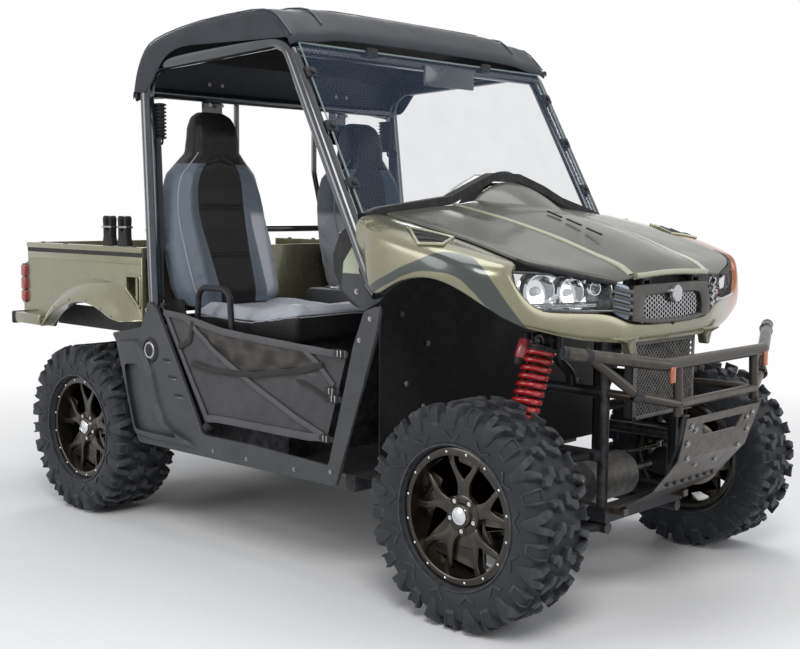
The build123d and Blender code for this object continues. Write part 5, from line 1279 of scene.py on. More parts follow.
# ------------------------------------------------------------------------------------------ front body
@dataclass
class FrontBody:
    """Fenders, nose band, hood and the vents.

    Attributes:
        vehicle: the vehicle.
        stations: outer x and y, inner x and y, top and lower z, from the cab to the nose.
        stripe: lower and upper line of the dark stripe over the wheel, as (x, z).
        turn: how much a stripe climbs for each millimetre that the surface lies inside its widest line.
        widest: y of the fender's widest line.
        warm_tint: colour of the tint on the left fender.
        stripe_dark: colour of the stripe.
        hood: x, seam y, seam z, line y, line z and centre z of the hood's sections.
        vent: corners of the side vent.
        hump: x, half width, middle y, foot and rise of the cover over the dials.
        surface: the fenders' surface, on which the vents are laid.
    """

    vehicle: Vehicle
    stations: tuple = (
        (560, 690, 560, 561, 1168, 1082), (590, 700, 590, 561, 1162, 1058), (614, 708, 614, 561, 1156, 1034),
        (634, 718, 634, 561, 1152, 968), (664, 728, 664, 561, 1146, 934), (704, 734, 704, 561, 1138, 936),
        (754, 735, 754, 561, 1127, 966), (811, 735, 811, 561, 1114, 986), (870, 735, 870, 561, 1099, 993),
        (930, 733, 930, 561, 1084, 990), (1000, 718, 1000, 561, 1063, 962), (1050, 699, 1050, 561, 1047, 929),
        (1082, 670, 1082, 566, 1037, 903), (1095, 658, 1090, 598, 1026, 890), (1108, 642, 1098, 606, 1006, 880),
        (1124, 621, 1110, 602, 966, 866), (1140, 576, 1126, 562, 922, 853), (1156, 528, 1142, 520, 902, 842),
        (1185, 430, 1172, 426, 898, 816), (1214, 322, 1200, 318, 893, 804), (1227, 264, 1213, 260, 874, 800),
        (1236, 225, 1222, 222, 855, 797), (1240, 120, 1226, 119, 851, 797), (1242, 0, 1228, 0, 851, 798))
    stripe: tuple = (
        ((640, 930), (700, 955), (762, 980), (810, 999), (883, 1014), (962, 1014), (1029, 985), (1070, 952),
         (1106, 938), (1127, 944), (1150, 962)),
        ((640, 962), (720, 990), (791, 1020), (859, 1044), (908, 1066), (942, 1085), (990, 1092), (1040, 1068),
         (1080, 1026), (1106, 990), (1127, 960), (1150, 925)))
    turn: float = 0.6
    widest: float = 735.0
    warm_tint: Colour = (0.33, 0.085, 0.025)
    stripe_dark: Colour = (0.040, 0.050, 0.047)
    hood: tuple = (
        (552, 556, 1171, 232, 1200, 1224), (640, 556, 1156, 230, 1181, 1208), (740, 556, 1136, 228, 1160, 1190),
        (860, 556, 1108, 225, 1129, 1162), (975, 556, 1078, 222, 1096, 1130), (1060, 550, 1052, 218, 1066, 1100),
        (1098, 540, 1040, 216, 1052, 1084), (1150, 488, 1024, 215, 1036, 1062), (1190, 420, 1008, 213, 1020, 1040),
        (1222, 300, 986, 211, 997, 1006))
    vent: tuple = ((742, 656, 1131), (868, 594, 1103), (912, 690, 1082), (848, 720, 1084))
    hump: tuple = (
        (540, 222, 62, 1178, 104), (575, 212, 64, 1172, 100), (620, 188, 66, 1168, 84), (675, 154, 68, 1160, 58),
        (730, 112, 70, 1152, 30), (780, 70, 72, 1150, 4))
    surface: Optional[BVHTree] = field(default=None, init=False)

    @property
    def olive(self) -> Finish:
        """Body paint with a dark stripe over each front wheel and a warm tint on the left fender."""
        return replace(OLIVE, name="body_olive_striped", recolour=self.add_stripes)

    def add_stripes(self, surface: Surface, colour: Socket) -> Socket:
        """Tints the left fender and draws the stripes, which turn over the fender's shoulder.

        Args:
            surface: the body paint.
            colour: its colour so far.

        Returns:
            The new colour.
        """
        x, y, z = surface.split(surface.where)
        low, high = (surface.curve(x, line) for line in self.stripe)
        side = surface.maths("ABSOLUTE", y)
        rise = surface.maths("ADD", z, self.turn * self.widest * MM)
        girth = surface.maths("MULTIPLY_ADD", side, -self.turn, rise)
        band = surface.maths("MULTIPLY", surface.between(girth, low, high), surface.between(side, 0.500, 0.9))
        warm = surface.maths("MULTIPLY", surface.between(y, 0.470, 0.9, 0.09), surface.between(x, 0.93, 1.4, 0.09))
        colour = surface.mix(warm, colour, self.warm_tint)
        return surface.mix(band, colour, self.stripe_dark)

    def fender_rows(self) -> list:
        """Rows of points from the hood's seam over the shoulder to the arch's lip."""
        rows = []
        for x, y, x_in, y_in, top, low in self.stations:
            wide = max(y - y_in, 1.0)
            drop = top - low
            fall = min(26.0, 0.22 * drop)
            ease = min(1.0, y / 100)
            rows.append([
                (x_in, y_in, top - 9), (x_in, y_in, top - 1), (x_in + 0.3 * (x - x_in), y_in + 0.30 * wide, top + 2),
                (x_in + 0.8 * (x - x_in), y_in + 0.72 * wide, top - 1), (x, y - 3 * ease, top - fall),
                (x + 1, y, top - 2 * fall), (x + 1, y + ease, low + 0.30 * drop), (x, y - ease, low + 8),
                (x - 2, y - 5 * ease, low), (x - 8, y - 24 * ease, low + 5)])
        return rows

    def build_fenders(self) -> None:
        """Fenders and nose band in one skin, with the two legs under the nose."""
        bm = new_shape()
        add_sheet(bm, self.fender_rows())
        face_out(bm, (900, 0, 900))
        self.surface = BVHTree.FromBMesh(bm)
        self.vehicle.piece("front_fenders", bm, self.olive, "olive_body", replaces=["front_body"], normals=False,
                           wall=4.0, subdivide=2)
        bm = new_shape()
        for sign in (1, -1):
            leg = [(sign * y, z) for y, z in ((172, 822), (196, 806), (208, 766), (226, 764), (240, 800), (300, 815))]
            add_plate(bm, leg, Plane.FRONT, 1208, 1240, bevel=5)
            wall = [(612, 1153), (612, 1010), (617, 1010), (617, 1151)]
            add_plate(bm, wall, Plane.SIDE, sign * 562, sign * 700)
        self.vehicle.piece("nose_legs", bm, self.olive, "olive_body")
        bm = new_shape()
        for sign in (1, -1):
            arch = [(x - 3, sign * (y - 30), low + 6) for x, y, _, _, _, low in self.stations[2:16]]
            add_tube(bm, arch, 5.0, segments=8)
        self.vehicle.piece("arch_lips", bm, BLACK, "black_plastic")

    def hood_rows(self) -> list:
        """Rows of points across the hood, with a crisp shoulder along each light line."""
        rows = []
        for x, seam_y, seam_z, line_y, line_z, centre in self.hood:
            half = [(0, centre), (0.30 * line_y, centre - 0.06 * (centre - line_z)),
                    (0.66 * line_y, line_z + 0.55 * (centre - line_z)), (line_y - 8, line_z + 3),
                    (line_y + 6, line_z), (line_y + 0.35 * (seam_y - line_y), line_z - 0.20 * (line_z - seam_z)),
                    (line_y + 0.72 * (seam_y - line_y), line_z - 0.58 * (line_z - seam_z)),
                    (seam_y - 8, seam_z + 5), (seam_y, seam_z - 1), (seam_y, seam_z - 10)]
            rows.append([(x, -y, z) for y, z in reversed(half)] + [(x, y, z) for y, z in half[1:]])
        last = rows[-1]
        rows.append([(x + 6, y * 0.995, z - 5) for x, y, z in last])
        rows.append([(x + 2, y * 0.99, z - 12) for x, y, z in last])
        return rows

    def build_hood(self) -> None:
        """Hood skin with the cover over the dials, its pale lines, slots and front lip."""
        bm = new_shape()
        add_skin(bm, self.hood_rows())
        bmesh.ops.recalc_face_normals(bm, faces=bm.faces[:])
        face_out(bm, (900, 0, 700))
        self.vehicle.piece("hood_shell", bm, HOOD_DARK, "olive_body", "hood", replaces=["hood"], normals=False,
                           wall=4.0, subdivide=2)
        bm = new_shape()
        rows = []
        for x, half, middle, foot, rise in self.hump:
            turns = [step * math.pi / 16 for step in range(-8, 9)]
            rows.append([(x, middle + half * math.sin(a), foot + rise * math.cos(a) ** 1.6) for a in turns])
        add_skin(bm, rows)
        face_out(bm, (640, 60, 1000))
        self.vehicle.piece("dial_cover", bm, HOOD_DARK, "olive_body", "hood", normals=False, wall=4.0, subdivide=1)
        bm = new_shape()
        for sign in (1, -1):
            for (x0, _, _, y0, z0, _), (x1, _, _, y1, z1, _) in zip(self.hood, self.hood[1:]):
                w0, w1 = (6 + 9 * ((x - 552) / 670) ** 2 for x in (x0, x1))
                strip = [(y0 - w0, z0 - 2), (y0 + w0, z0 - 2), (y0 + w0 - 2, z0 + 4), (y0 - w0 + 2, z0 + 6)]
                end = [(y1 - w1, z1 - 2), (y1 + w1, z1 - 2), (y1 + w1 - 2, z1 + 4), (y1 - w1 + 2, z1 + 6)]
                add_skin(bm, [[(x0, sign * y, z) for y, z in strip + strip[:1]],
                              [(x1, sign * y, z) for y, z in end + end[:1]]])
        bmesh.ops.remove_doubles(bm, verts=bm.verts[:], dist=SKIN_WELD)
        front = [(x + 9, y, z - 6) for x, y, z in self.hood_rows()[-3] if abs(y) < 215]
        add_tube(bm, front, 11, segments=12, squash=0.8)
        self.vehicle.piece("hood_lines", bm, OLIVE_LINE, "olive_body", "hood")
        bm = new_shape()
        for sign in (1, -1):
            edge = [(x + 5, sign * y, z - 8) for x, y, z, *_ in self.hood[5:]]
            add_tube(bm, edge, 8.0, segments=10, squash=1.0)
        for index in range(3):
            x = 800 + 92 * index
            y = -64 - 22 * index
            z = along([(row[0], row[5]) for row in self.hood], x) - 0.02 * (y / 100) ** 2 * 100
            add_box(bm, (x, y - 4, z - 7), (x + 70, y + 4, z - 1.5), bevel=1.5, turn=Matrix.Rotation(
                math.radians(16), 4, "Y") @ Matrix.Rotation(math.radians(-12), 4, "Z"))
        self.vehicle.piece("hood_edges", bm, BLACK, "black_plastic", "hood")
        bm = new_shape()
        for sign in (1, -1):
            add_lathe(bm, [(-20, 7.9), (-20, 3.3), (20, 3.3), (20, 7.9)], (1226, sign * 140, 986), (0, 1, 0), 20,
                      closed=True)
        self.vehicle.piece("hood_hinge_barrels", bm, FRAME_BLACK, "black_frame", "hood")

    def build_vents(self) -> None:
        """Louvred vent with a pale frame on each fender."""
        frames, fins = new_shape(), new_shape()
        for sign in (1, -1):
            corners = [Vector((x, sign * y, z)) for x, y, z in self.vent]

            def spot(across: float, down: float, lift: float) -> Vector:
                """Point of the vent on the fender, lifted off it."""
                top, low = corners[0].lerp(corners[1], across), corners[3].lerp(corners[2], across)
                near = self.surface.find_nearest(top.lerp(low, down))
                return near[0] + Vector((0, 0.25 * sign, 1)) * lift

            loop = [spot(t / 6, 0, 3) for t in range(7)] + [spot(1, t / 3, 3) for t in range(1, 4)]
            loop += [spot(1 - t / 6, 1, 3) for t in range(1, 7)] + [spot(0, 1 - t / 3, 3) for t in range(1, 3)]
            add_tube(frames, loop, 5.0, segments=10, closed=True, squash=0.9)
            for index in range(3):
                down = 0.25 + 0.26 * index
                add_tube(fins, [spot(0.06 + t * 0.11, down, 3.5) for t in range(9)], 5.5, segments=8, squash=0.6)
            add_skin(fins, [[spot(a / 6, d / 4, 2.2) for a in range(7)] for d in range(5)])
        self.vehicle.piece("side_vent_frames", frames, OLIVE_LINE, "olive_body")
        self.vehicle.piece("side_vent_louvres", fins, BLACK, "black_plastic", normals=False)

    def build(self) -> None:
        """Builds the front body."""
        self.build_fenders()
        self.build_hood()
        self.build_vents()


# ------------------------------------------------------------------------------------------- front end
@dataclass
class Lamps:
    """Headlamps: bowls, clear lens, black surround, and the finned strip beside the grille.

    Attributes:
        vehicle: the vehicle.
        front: x, y, top and lower z of the lens, from the fender to the grille.
        bowls: x, y, z and radius of the bowls in each lamp.
        strip: x, y, top and lower z of the finned strip.
        hollow: how far the lamp's back lies behind the lens, how much lower it is, and its crown.
    """

    vehicle: Vehicle
    front: tuple = ((1094, 596, 1014, 912), (1108, 604, 1014, 908), (1122, 578, 1012, 906), (1140, 524, 1009, 905),
                    (1158, 472, 1005, 903), (1176, 414, 1000, 901), (1192, 354, 994, 899), (1207, 294, 986, 897))
    bowls: tuple = ((1112, 508, 958, 46), (1142, 400, 952, 40), (1126, 456, 930, 16), (1174, 330, 962, 17))
    strip: tuple = ((1211, 288, 984, 893), (1225, 256, 976, 876), (1237, 226, 968, 860))
    hollow: tuple = (46, 3, -6)

    def lens_rows(self, back: float, shrink: float, crown: float) -> list:
        """Rows of points on the lens, or on a surface behind it."""
        rows = []
        for x, y, top, low in self.front:
            middle, half = (top + low) / 2, (top - low) / 2 - shrink
            rows.append([(x - back + crown * (1 - share * share) - 10 * share, y, middle + half * share)
                         for share in (-1, -0.8, -0.4, 0, 0.4, 0.8, 1)])
        return rows

    def rim(self, sign: int, back: float, shrink: float, crown: float) -> list:
        """Closed edge of one lamp's lens, or of a surface behind it."""
        rows = [[(x, sign * y, z) for x, y, z in row] for row in self.lens_rows(back, shrink, crown)]
        return [row[-1] for row in rows] + rows[-1][-2::-1] + [row[0] for row in rows[-2::-1]] + rows[0][1:-1]

    def build(self) -> None:
        """Builds both lamps and both strips."""
        lens, back, bowls, rims, bulbs = (new_shape() for _ in range(5))
        add_sheet(lens, self.lens_rows(0, 1, 5))
        face_out(lens, (1000, 0, 950))
        add_sheet(back, self.lens_rows(*self.hollow))
        face_out(back, (1000, 0, 950))
        for sign in (1, -1):
            loop, inner = self.rim(sign, 1, 0, 5), self.rim(sign, *self.hollow)
            add_tube(rims, loop, 4.2, segments=8, closed=True)
            add_skin(rims, [loop + loop[:1], inner + inner[:1]])
            for x, y, z, radius in self.bowls:
                way = Vector((0.94, sign * 0.30, 0.0))
                add_lathe(bowls, [(-34, 2), (-33, 0.3 * radius), (-24, 0.62 * radius), (-8, 0.88 * radius),
                                  (8, radius), (8, radius + 3), (-8, radius + 1)], (x, sign * y, z), way, 32)
                add_lathe(bulbs, [(-30, 0), (-30, 0.26 * radius), (-8, 0.27 * radius), (0, 0.2 * radius), (4, 0)],
                          (x, sign * y, z), way, 20)
            for index in range(3):
                z = 912 + 5 * index
                line = [(x - 22, sign * y, z) for x, y, _, _ in self.front[1:]]
                add_tube(bowls, line, 2.6, segments=6)
        self.vehicle.piece("headlamp_reflectors", bowls, CHROME, "lens", replaces=["headlights"])
        self.vehicle.piece("headlamp_backs", back, CHROME, "lens", normals=False)
        self.vehicle.piece("headlamp_surrounds", rims, GLOSS, "gloss_black")
        self.vehicle.piece("headlamp_bulbs", bulbs, BULB_GLASS, "lens")
        self.vehicle.piece("headlamp_lenses", lens, LAMP_GLASS, "lens",
                           normals=False, wall=2.4, subdivide=1)
        strips, fins = new_shape(), new_shape()
        rows = [[(x - 7 * share * share, y, (top + low) / 2 + (top - low) / 2 * share)
                 for share in (-1, -0.6, 0, 0.6, 1)] for x, y, top, low in self.strip]
        add_sheet(strips, rows)
        face_out(strips, (1000, 0, 940))
        for sign in (1, -1):
            for index in range(4):
                z = 902 + 21 * index
                path = [(x + 2, sign * y, z - 0.26 * (290 - y)) for x, y, _, _ in self.strip]
                add_tube(fins, path, 5.2, segments=8, squash=1.5)
        self.vehicle.piece("grille_side_strips", strips, LAMP_GREY, "gloss_black", normals=False, wall=3.0,
                           subdivide=1)
        self.vehicle.piece("grille_side_fins", fins, GLOSS, "gloss_black")


@dataclass
class Grille:
    """Grille panel with its honeycomb, the blank round badge and the radiator's lattice.

    Attributes:
        vehicle: the vehicle.
        outer: edge of the panel as y and z.
        recess: edge of the recess as y and z.
        badge: middle of the blank badge and its radius.
        cell: radius of a cell of the honeycomb.
        core: y and z limits of the radiator's lattice, and its x.
    """

    vehicle: Vehicle
    outer: tuple = ((0, 970), (120, 970), (206, 967), (217, 958), (222, 905), (222, 864), (120, 852), (0, 850))
    recess: tuple = ((0, 938), (96, 938), (150, 935), (160, 924), (167, 896), (162, 868), (90, 862), (0, 861))
    badge: tuple = ((1258, 0, 936), 27.0)
    cell: float = 8.2
    core: tuple = (-172.0, 172.0, 562.0, 798.0, 1218.0)

    def panel_x(self, y: float, z: float) -> float:
        """X of the panel's face, which falls back to the sides and to the top."""
        return 1249 - 0.00018 * y * y - 0.10 * max(z - 900, 0)

    def ring(self, points: Sequence, back: float) -> list:
        """Closed loop of points on the panel, mirrored to both sides."""
        half = [(self.panel_x(y, z) - back, y, z) for y, z in points]
        return half + [(x, -y, z) for x, y, z in half[-2:0:-1]] + half[:1]

    def build(self) -> None:
        """Builds the panel, its mesh, the badge and the radiator."""
        bm = new_shape()
        outer_back = self.ring([(0.985 * y, z) for y, z in self.outer], 24)
        add_skin(bm, [outer_back, self.ring(self.outer, 3), self.ring([(y * 0.985, z + (905 - z) * 0.03) for y, z in
                                                                      self.outer], 0),
                      self.ring([(y + 5 * (y > 0), z + (4 if z > 900 else -4)) for y, z in self.recess], 0),
                      self.ring(self.recess, 3), self.ring(self.recess, 26)])
        bmesh.ops.remove_doubles(bm, verts=bm.verts[:], dist=SKIN_WELD)
        bmesh.ops.recalc_face_normals(bm, faces=bm.faces[:])
        face_out(bm, (1150, 0, 905))
        self.vehicle.piece("grille_panel", bm, BRONZE_PANEL, "gloss_black", replaces=["grille"], smooth=30,
                           normals=False)
        bm = new_shape()
        step_y, step_z = self.cell * 1.5, self.cell * math.sqrt(3)
        for column in range(-14, 15):
            for row in range(-3, 4):
                y, z = column * step_y, 898 + row * step_z + (step_z / 2 if column % 2 else 0)
                if not (862 < z < 937 and abs(y) < 160):
                    continue
                matrix = Matrix.Translation((self.panel_x(y, z) - 13, y, z)) @ Matrix.Rotation(math.pi / 2, 4, "Y")
                matrix = matrix @ Matrix.Rotation(math.pi / 2, 4, "Z")
                made = bmesh.ops.create_circle(bm, cap_ends=True, segments=6, radius=self.cell * 0.98, matrix=matrix)
                face = next(iter({f for v in made["verts"] for f in v.link_faces}))
                bmesh.ops.inset_region(bm, faces=[face], thickness=1.5, use_boundary=True)
                bmesh.ops.delete(bm, geom=[face], context="FACES_ONLY")
        bmesh.ops.solidify(bm, geom=bm.faces[:], thickness=5.0)
        self.vehicle.piece("grille_honeycomb", bm, CHROME, "bare_steel")
        bm = new_shape()
        add_plate(bm, [(-166, 862), (166, 862), (160, 937), (-160, 937)], Plane.FRONT, 1212, 1219)
        add_plate(bm, [(-216, 844), (216, 844), (208, 966), (-208, 966)], Plane.FRONT, 1186, 1213, bevel=3)
        add_plate(bm, [(-205, 950), (205, 950), (200, 1000), (-200, 1000)], Plane.FRONT, 1188, 1198)
        for sign in (1, -1):
            add_plate(bm, [(sign * 212, 846), (sign * 336, 876), (sign * 336, 899), (sign * 212, 899)], Plane.FRONT,
                      1168, 1176)
            add_rod(bm, (1226, sign * 121, 986), (1226, sign * 159, 986), 3.2, segments=16)
            for y in (121, 159):
                add_box(bm, (1206, sign * y - 3, 940), (1233, sign * y + 3, 993), bevel=2)
            for y in (126, 154):
                add_rod(bm, (1226, sign * y - 5, 986), (1226, sign * y + 5, 986), 8, segments=20)
        self.vehicle.piece("grille_back", bm, BLACK, "black_plastic")
        bm = new_shape()
        (x, y, z), radius = self.badge
        add_lathe(bm, [(-14, radius - 6), (-12, radius), (-2, radius), (1, radius - 3), (0, radius - 6), (2.5, 0)],
                  (x - 4, y, z), (1, 0, -0.05), 48)
        self.vehicle.piece("badge_blank", bm, DISC_BLANK, "bare_steel")
        self.build_radiator()

    def build_radiator(self) -> None:
        """Radiator core behind a diamond lattice."""
        y0, y1, z0, z1, x = self.core
        bm = new_shape()
        add_box(bm, (1178, y0 + 4, z0 + 4), (1204, y1 - 4, z1 - 4), bevel=3)
        for index in range(30):
            z = z0 + 10 + index * 7.6
            add_box(bm, (1203, y0 + 14, z), (1208, y1 - 14, z + 2.2))
        self.vehicle.piece("radiator_core", bm, BLACK, "black_plastic", replaces=["radiator"])
        bm = new_shape()
        for low, high in (((x - 6, y0, z0), (x, y1, z0 + 12)), ((x - 6, y0, z1 - 12), (x, y1, z1)),
                          ((x - 6, y0, z0), (x, y0 + 12, z1)), ((x - 6, y1 - 12, z0), (x, y1, z1))):
            add_box(bm, low, high, bevel=1.5)
        height, width = z1 - z0, y1 - y0
        for lean in (1, -1):
            start = -height
            while start < width:
                a, b = max(start, 0.0), min(start + height, width)
                if b - a > 6:
                    ends = [(y, (y - start)) for y in (a, b)]
                    if lean < 0:
                        ends = [(width - y, z) for y, z in ends]
                    (ya, za), (yb, zb) = ends
                    add_rod(bm, (x - 4 + lean, y0 + ya, z0 + za), (x - 4 + lean, y0 + yb, z0 + zb), 1.6, segments=5)
                start += 17
        self.vehicle.piece("radiator_lattice", bm, CAST, "bare_steel")


@dataclass
class Guard:
    """Fittings of the front guard and the skid plate.

    Attributes:
        vehicle: the vehicle.
        caps: ends of the top tube.
        bolts: bolts of the skid plate, as y and z.
        wing: edge of the dark wing beside the skid plate, as y and z.
        face: z and x of the skid plate's face.
    """

    vehicle: Vehicle
    caps: tuple = ((1255, 583, 803), (1392, 289, 757))
    bolts: tuple = ((180, 572), (150, 470), (152, 560), (60, 436), (176, 520))
    wing: tuple = ((232, 612), (218, 520), (196, 424), (176, 426), (190, 520), (200, 610))
    face: tuple = ((290, 1185), (362, 1300), (470, 1388), (600, 1425))

    def skid_x(self, z: float) -> float:
        """X of the skid plate's face at a height."""
        return along(self.face, z)

    def build(self) -> None:
        """Builds the caps, reflector, bolts and the dark wings."""
        caps, bolts, wings, glow = (new_shape() for _ in range(4))
        for sign in (1, -1):
            start, inner = (Vector((x, sign * y, z)) for x, y, z in self.caps)
            way = (start - inner).normalized()
            add_lathe(caps, [(-10, 18.3), (1, 19.5), (3.5, 18.5), (4.5, 14), (3.4, 10), (3.4, 0)],
                      start - way * 2, way, 32)
            for at in (Vector((1285, sign * 515, 792)), Vector((1350, sign * 360, 672))):
                add_lathe(caps, [(-14, 18), (-12, 20.5), (12, 20.5), (14, 18)], at, (0.55, -sign * 0.8, -0.4), 24)
            edge = [(sign * y, z) for y, z in self.wing]
            before = set(wings.verts)
            add_plate(wings, edge, Plane.FRONT, -9, -1)
            for vert in set(wings.verts) - before:
                vert.co.x += min(self.skid_x(vert.co.z), 1424)
            for y, z in self.bolts:
                lean = Vector((0.86, 0, -0.5)) if z < 470 else Vector((0.96, 0, -0.25))
                add_bolt(bolts, (self.skid_x(z) + 1, sign * y, z), lean, 7, 4)
        for sign in (1, -1):
            add_box(glow, (1404, sign * 262, 706), (1411, sign * 286, 752), bevel=3)
        for index in range(7):
            y = -132 + 44 * index
            add_plate(wings, [(y - 11, 388), (y + 11, 388), (y + 7, 372), (y - 7, 372)], Plane.FRONT,
                      self.skid_x(380) - 4, self.skid_x(380) + 6, bevel=2)
        self.vehicle.piece("guard_caps", caps, FRAME_BLACK, "bumper_paint")
        self.vehicle.piece("skid_bolts", bolts, BOLT, "bare_steel")
        self.vehicle.piece("skid_wings", wings, FRAME_BLACK, "bumper_paint", bevel=1.2)
        self.vehicle.piece("guard_reflectors", glow, ORANGE, "red_lens")


@dataclass
class Suspension:
    """Coil springs, their seats and reservoirs, and the boots on the half shafts.

    Attributes:
        vehicle: the vehicle.
        front: foot, head and share of the spring's lower end of the front shocks.
        rear: the same for the rear shocks.
        radius: radius of the coils' middle line.
        wire: radius of the wire.
        boots: x, y and z of the inner end of the boots on the half shafts.
    """

    vehicle: Vehicle
    front: tuple = ((977, 452, 453), (1012, 345, 800), 0.30)
    rear: tuple = ((-885, 442.5, 459), (-800, 500, 890), 0.45)
    radius: float = 38.0
    wire: float = 9.0
    boots: tuple = ((985, 300, 322), (-940, 300, 322))

    def build(self) -> None:
        """Builds the springs and boots on both sides."""
        coils, black, pink, boots = (new_shape() for _ in range(4))
        for sign in (1, -1):
            for (foot, head, share) in (self.front, self.rear):
                a = Vector((foot[0], sign * foot[1], foot[2]))
                b = Vector((head[0], sign * head[1], head[2]))
                way = (b - a).normalized()
                side = way.orthogonal().normalized()
                other = way.cross(side)
                low, high, turns = a.lerp(b, share), a.lerp(b, 0.91), 9 if share < 0.4 else 6
                path = []
                for index in range(turns * 20 + 1):
                    t = index / (turns * 20)
                    angle = math.tau * turns * t
                    path.append(low.lerp(high, t) + (side * math.cos(angle) + other * math.sin(angle)) * self.radius)
                add_tube(coils, path, self.wire, segments=10)
                for at, out in ((low, -1), (high, 1)):
                    seat = ((-6, 20), (-6, 44), (2, 46), (4, 44), (6, 24))
                    add_lathe(black, [(reach * out, radius) for reach, radius in seat], at, way, 32)
                add_lathe(black, [(0, 12), (4, 26), (10, 27), (14, 24), (20, 28), (26, 24), (32, 28), (38, 24),
                                  (42, 14)], high + way * 3, way, 28)
                if share < 0.4:
                    near = b + Vector((-46, sign * 40, -26))
                    add_lathe(pink, [(-30, 0), (-30, 17), (-26, 20), (24, 20), (30, 16), (31, 0)], near, way, 28)
                    add_lathe(black, [(-52, 0), (-52, 15), (-48, 18), (-31, 18.5), (-30, 0)], near, way, 28)
        for sign in (1, -1):
            for x, y, z in self.boots:
                profile = [(0, 14)]
                for index in range(7):
                    reach = 14 + 4.6 * index
                    profile += [(6 + 13 * index, reach + 8), (12 + 13 * index, reach + 2)]
                profile += [(98, 48), (112, 48), (114, 20)]
                add_lathe(boots, profile, (x, sign * y, z), (0, sign, 0), 32)
        self.vehicle.piece("spring_coils", coils, SPRING, "spring_red", replaces=["coil_springs"])
        self.vehicle.piece("spring_seats", black, FRAME_BLACK, "black_frame")
        self.vehicle.piece("shock_reservoirs", pink, RED_CAP, "spring_red")
        self.vehicle.piece("shaft_boots", boots, SEAL, "seal_rubber")


# ------------------------------------------------------------------------------------- sides and doors
def smooth_outline(points: Profile, bend: float, steps: int = 4) -> list[tuple[float, float]]:
    """Rounds the corners of a closed flat outline."""
    middle = ((points[0][0] + points[-1][0]) / 2, (points[0][1] + points[-1][1]) / 2)
    path = rounded_path([(a, b, 0) for a, b in [middle, *points, middle]], bend, steps)
    return [(p.x, p.y) for p in path[:-1]]


def clamped(value: float) -> float:
    """A value kept within 0 and 1."""
    return max(0.0, min(1.0, value))


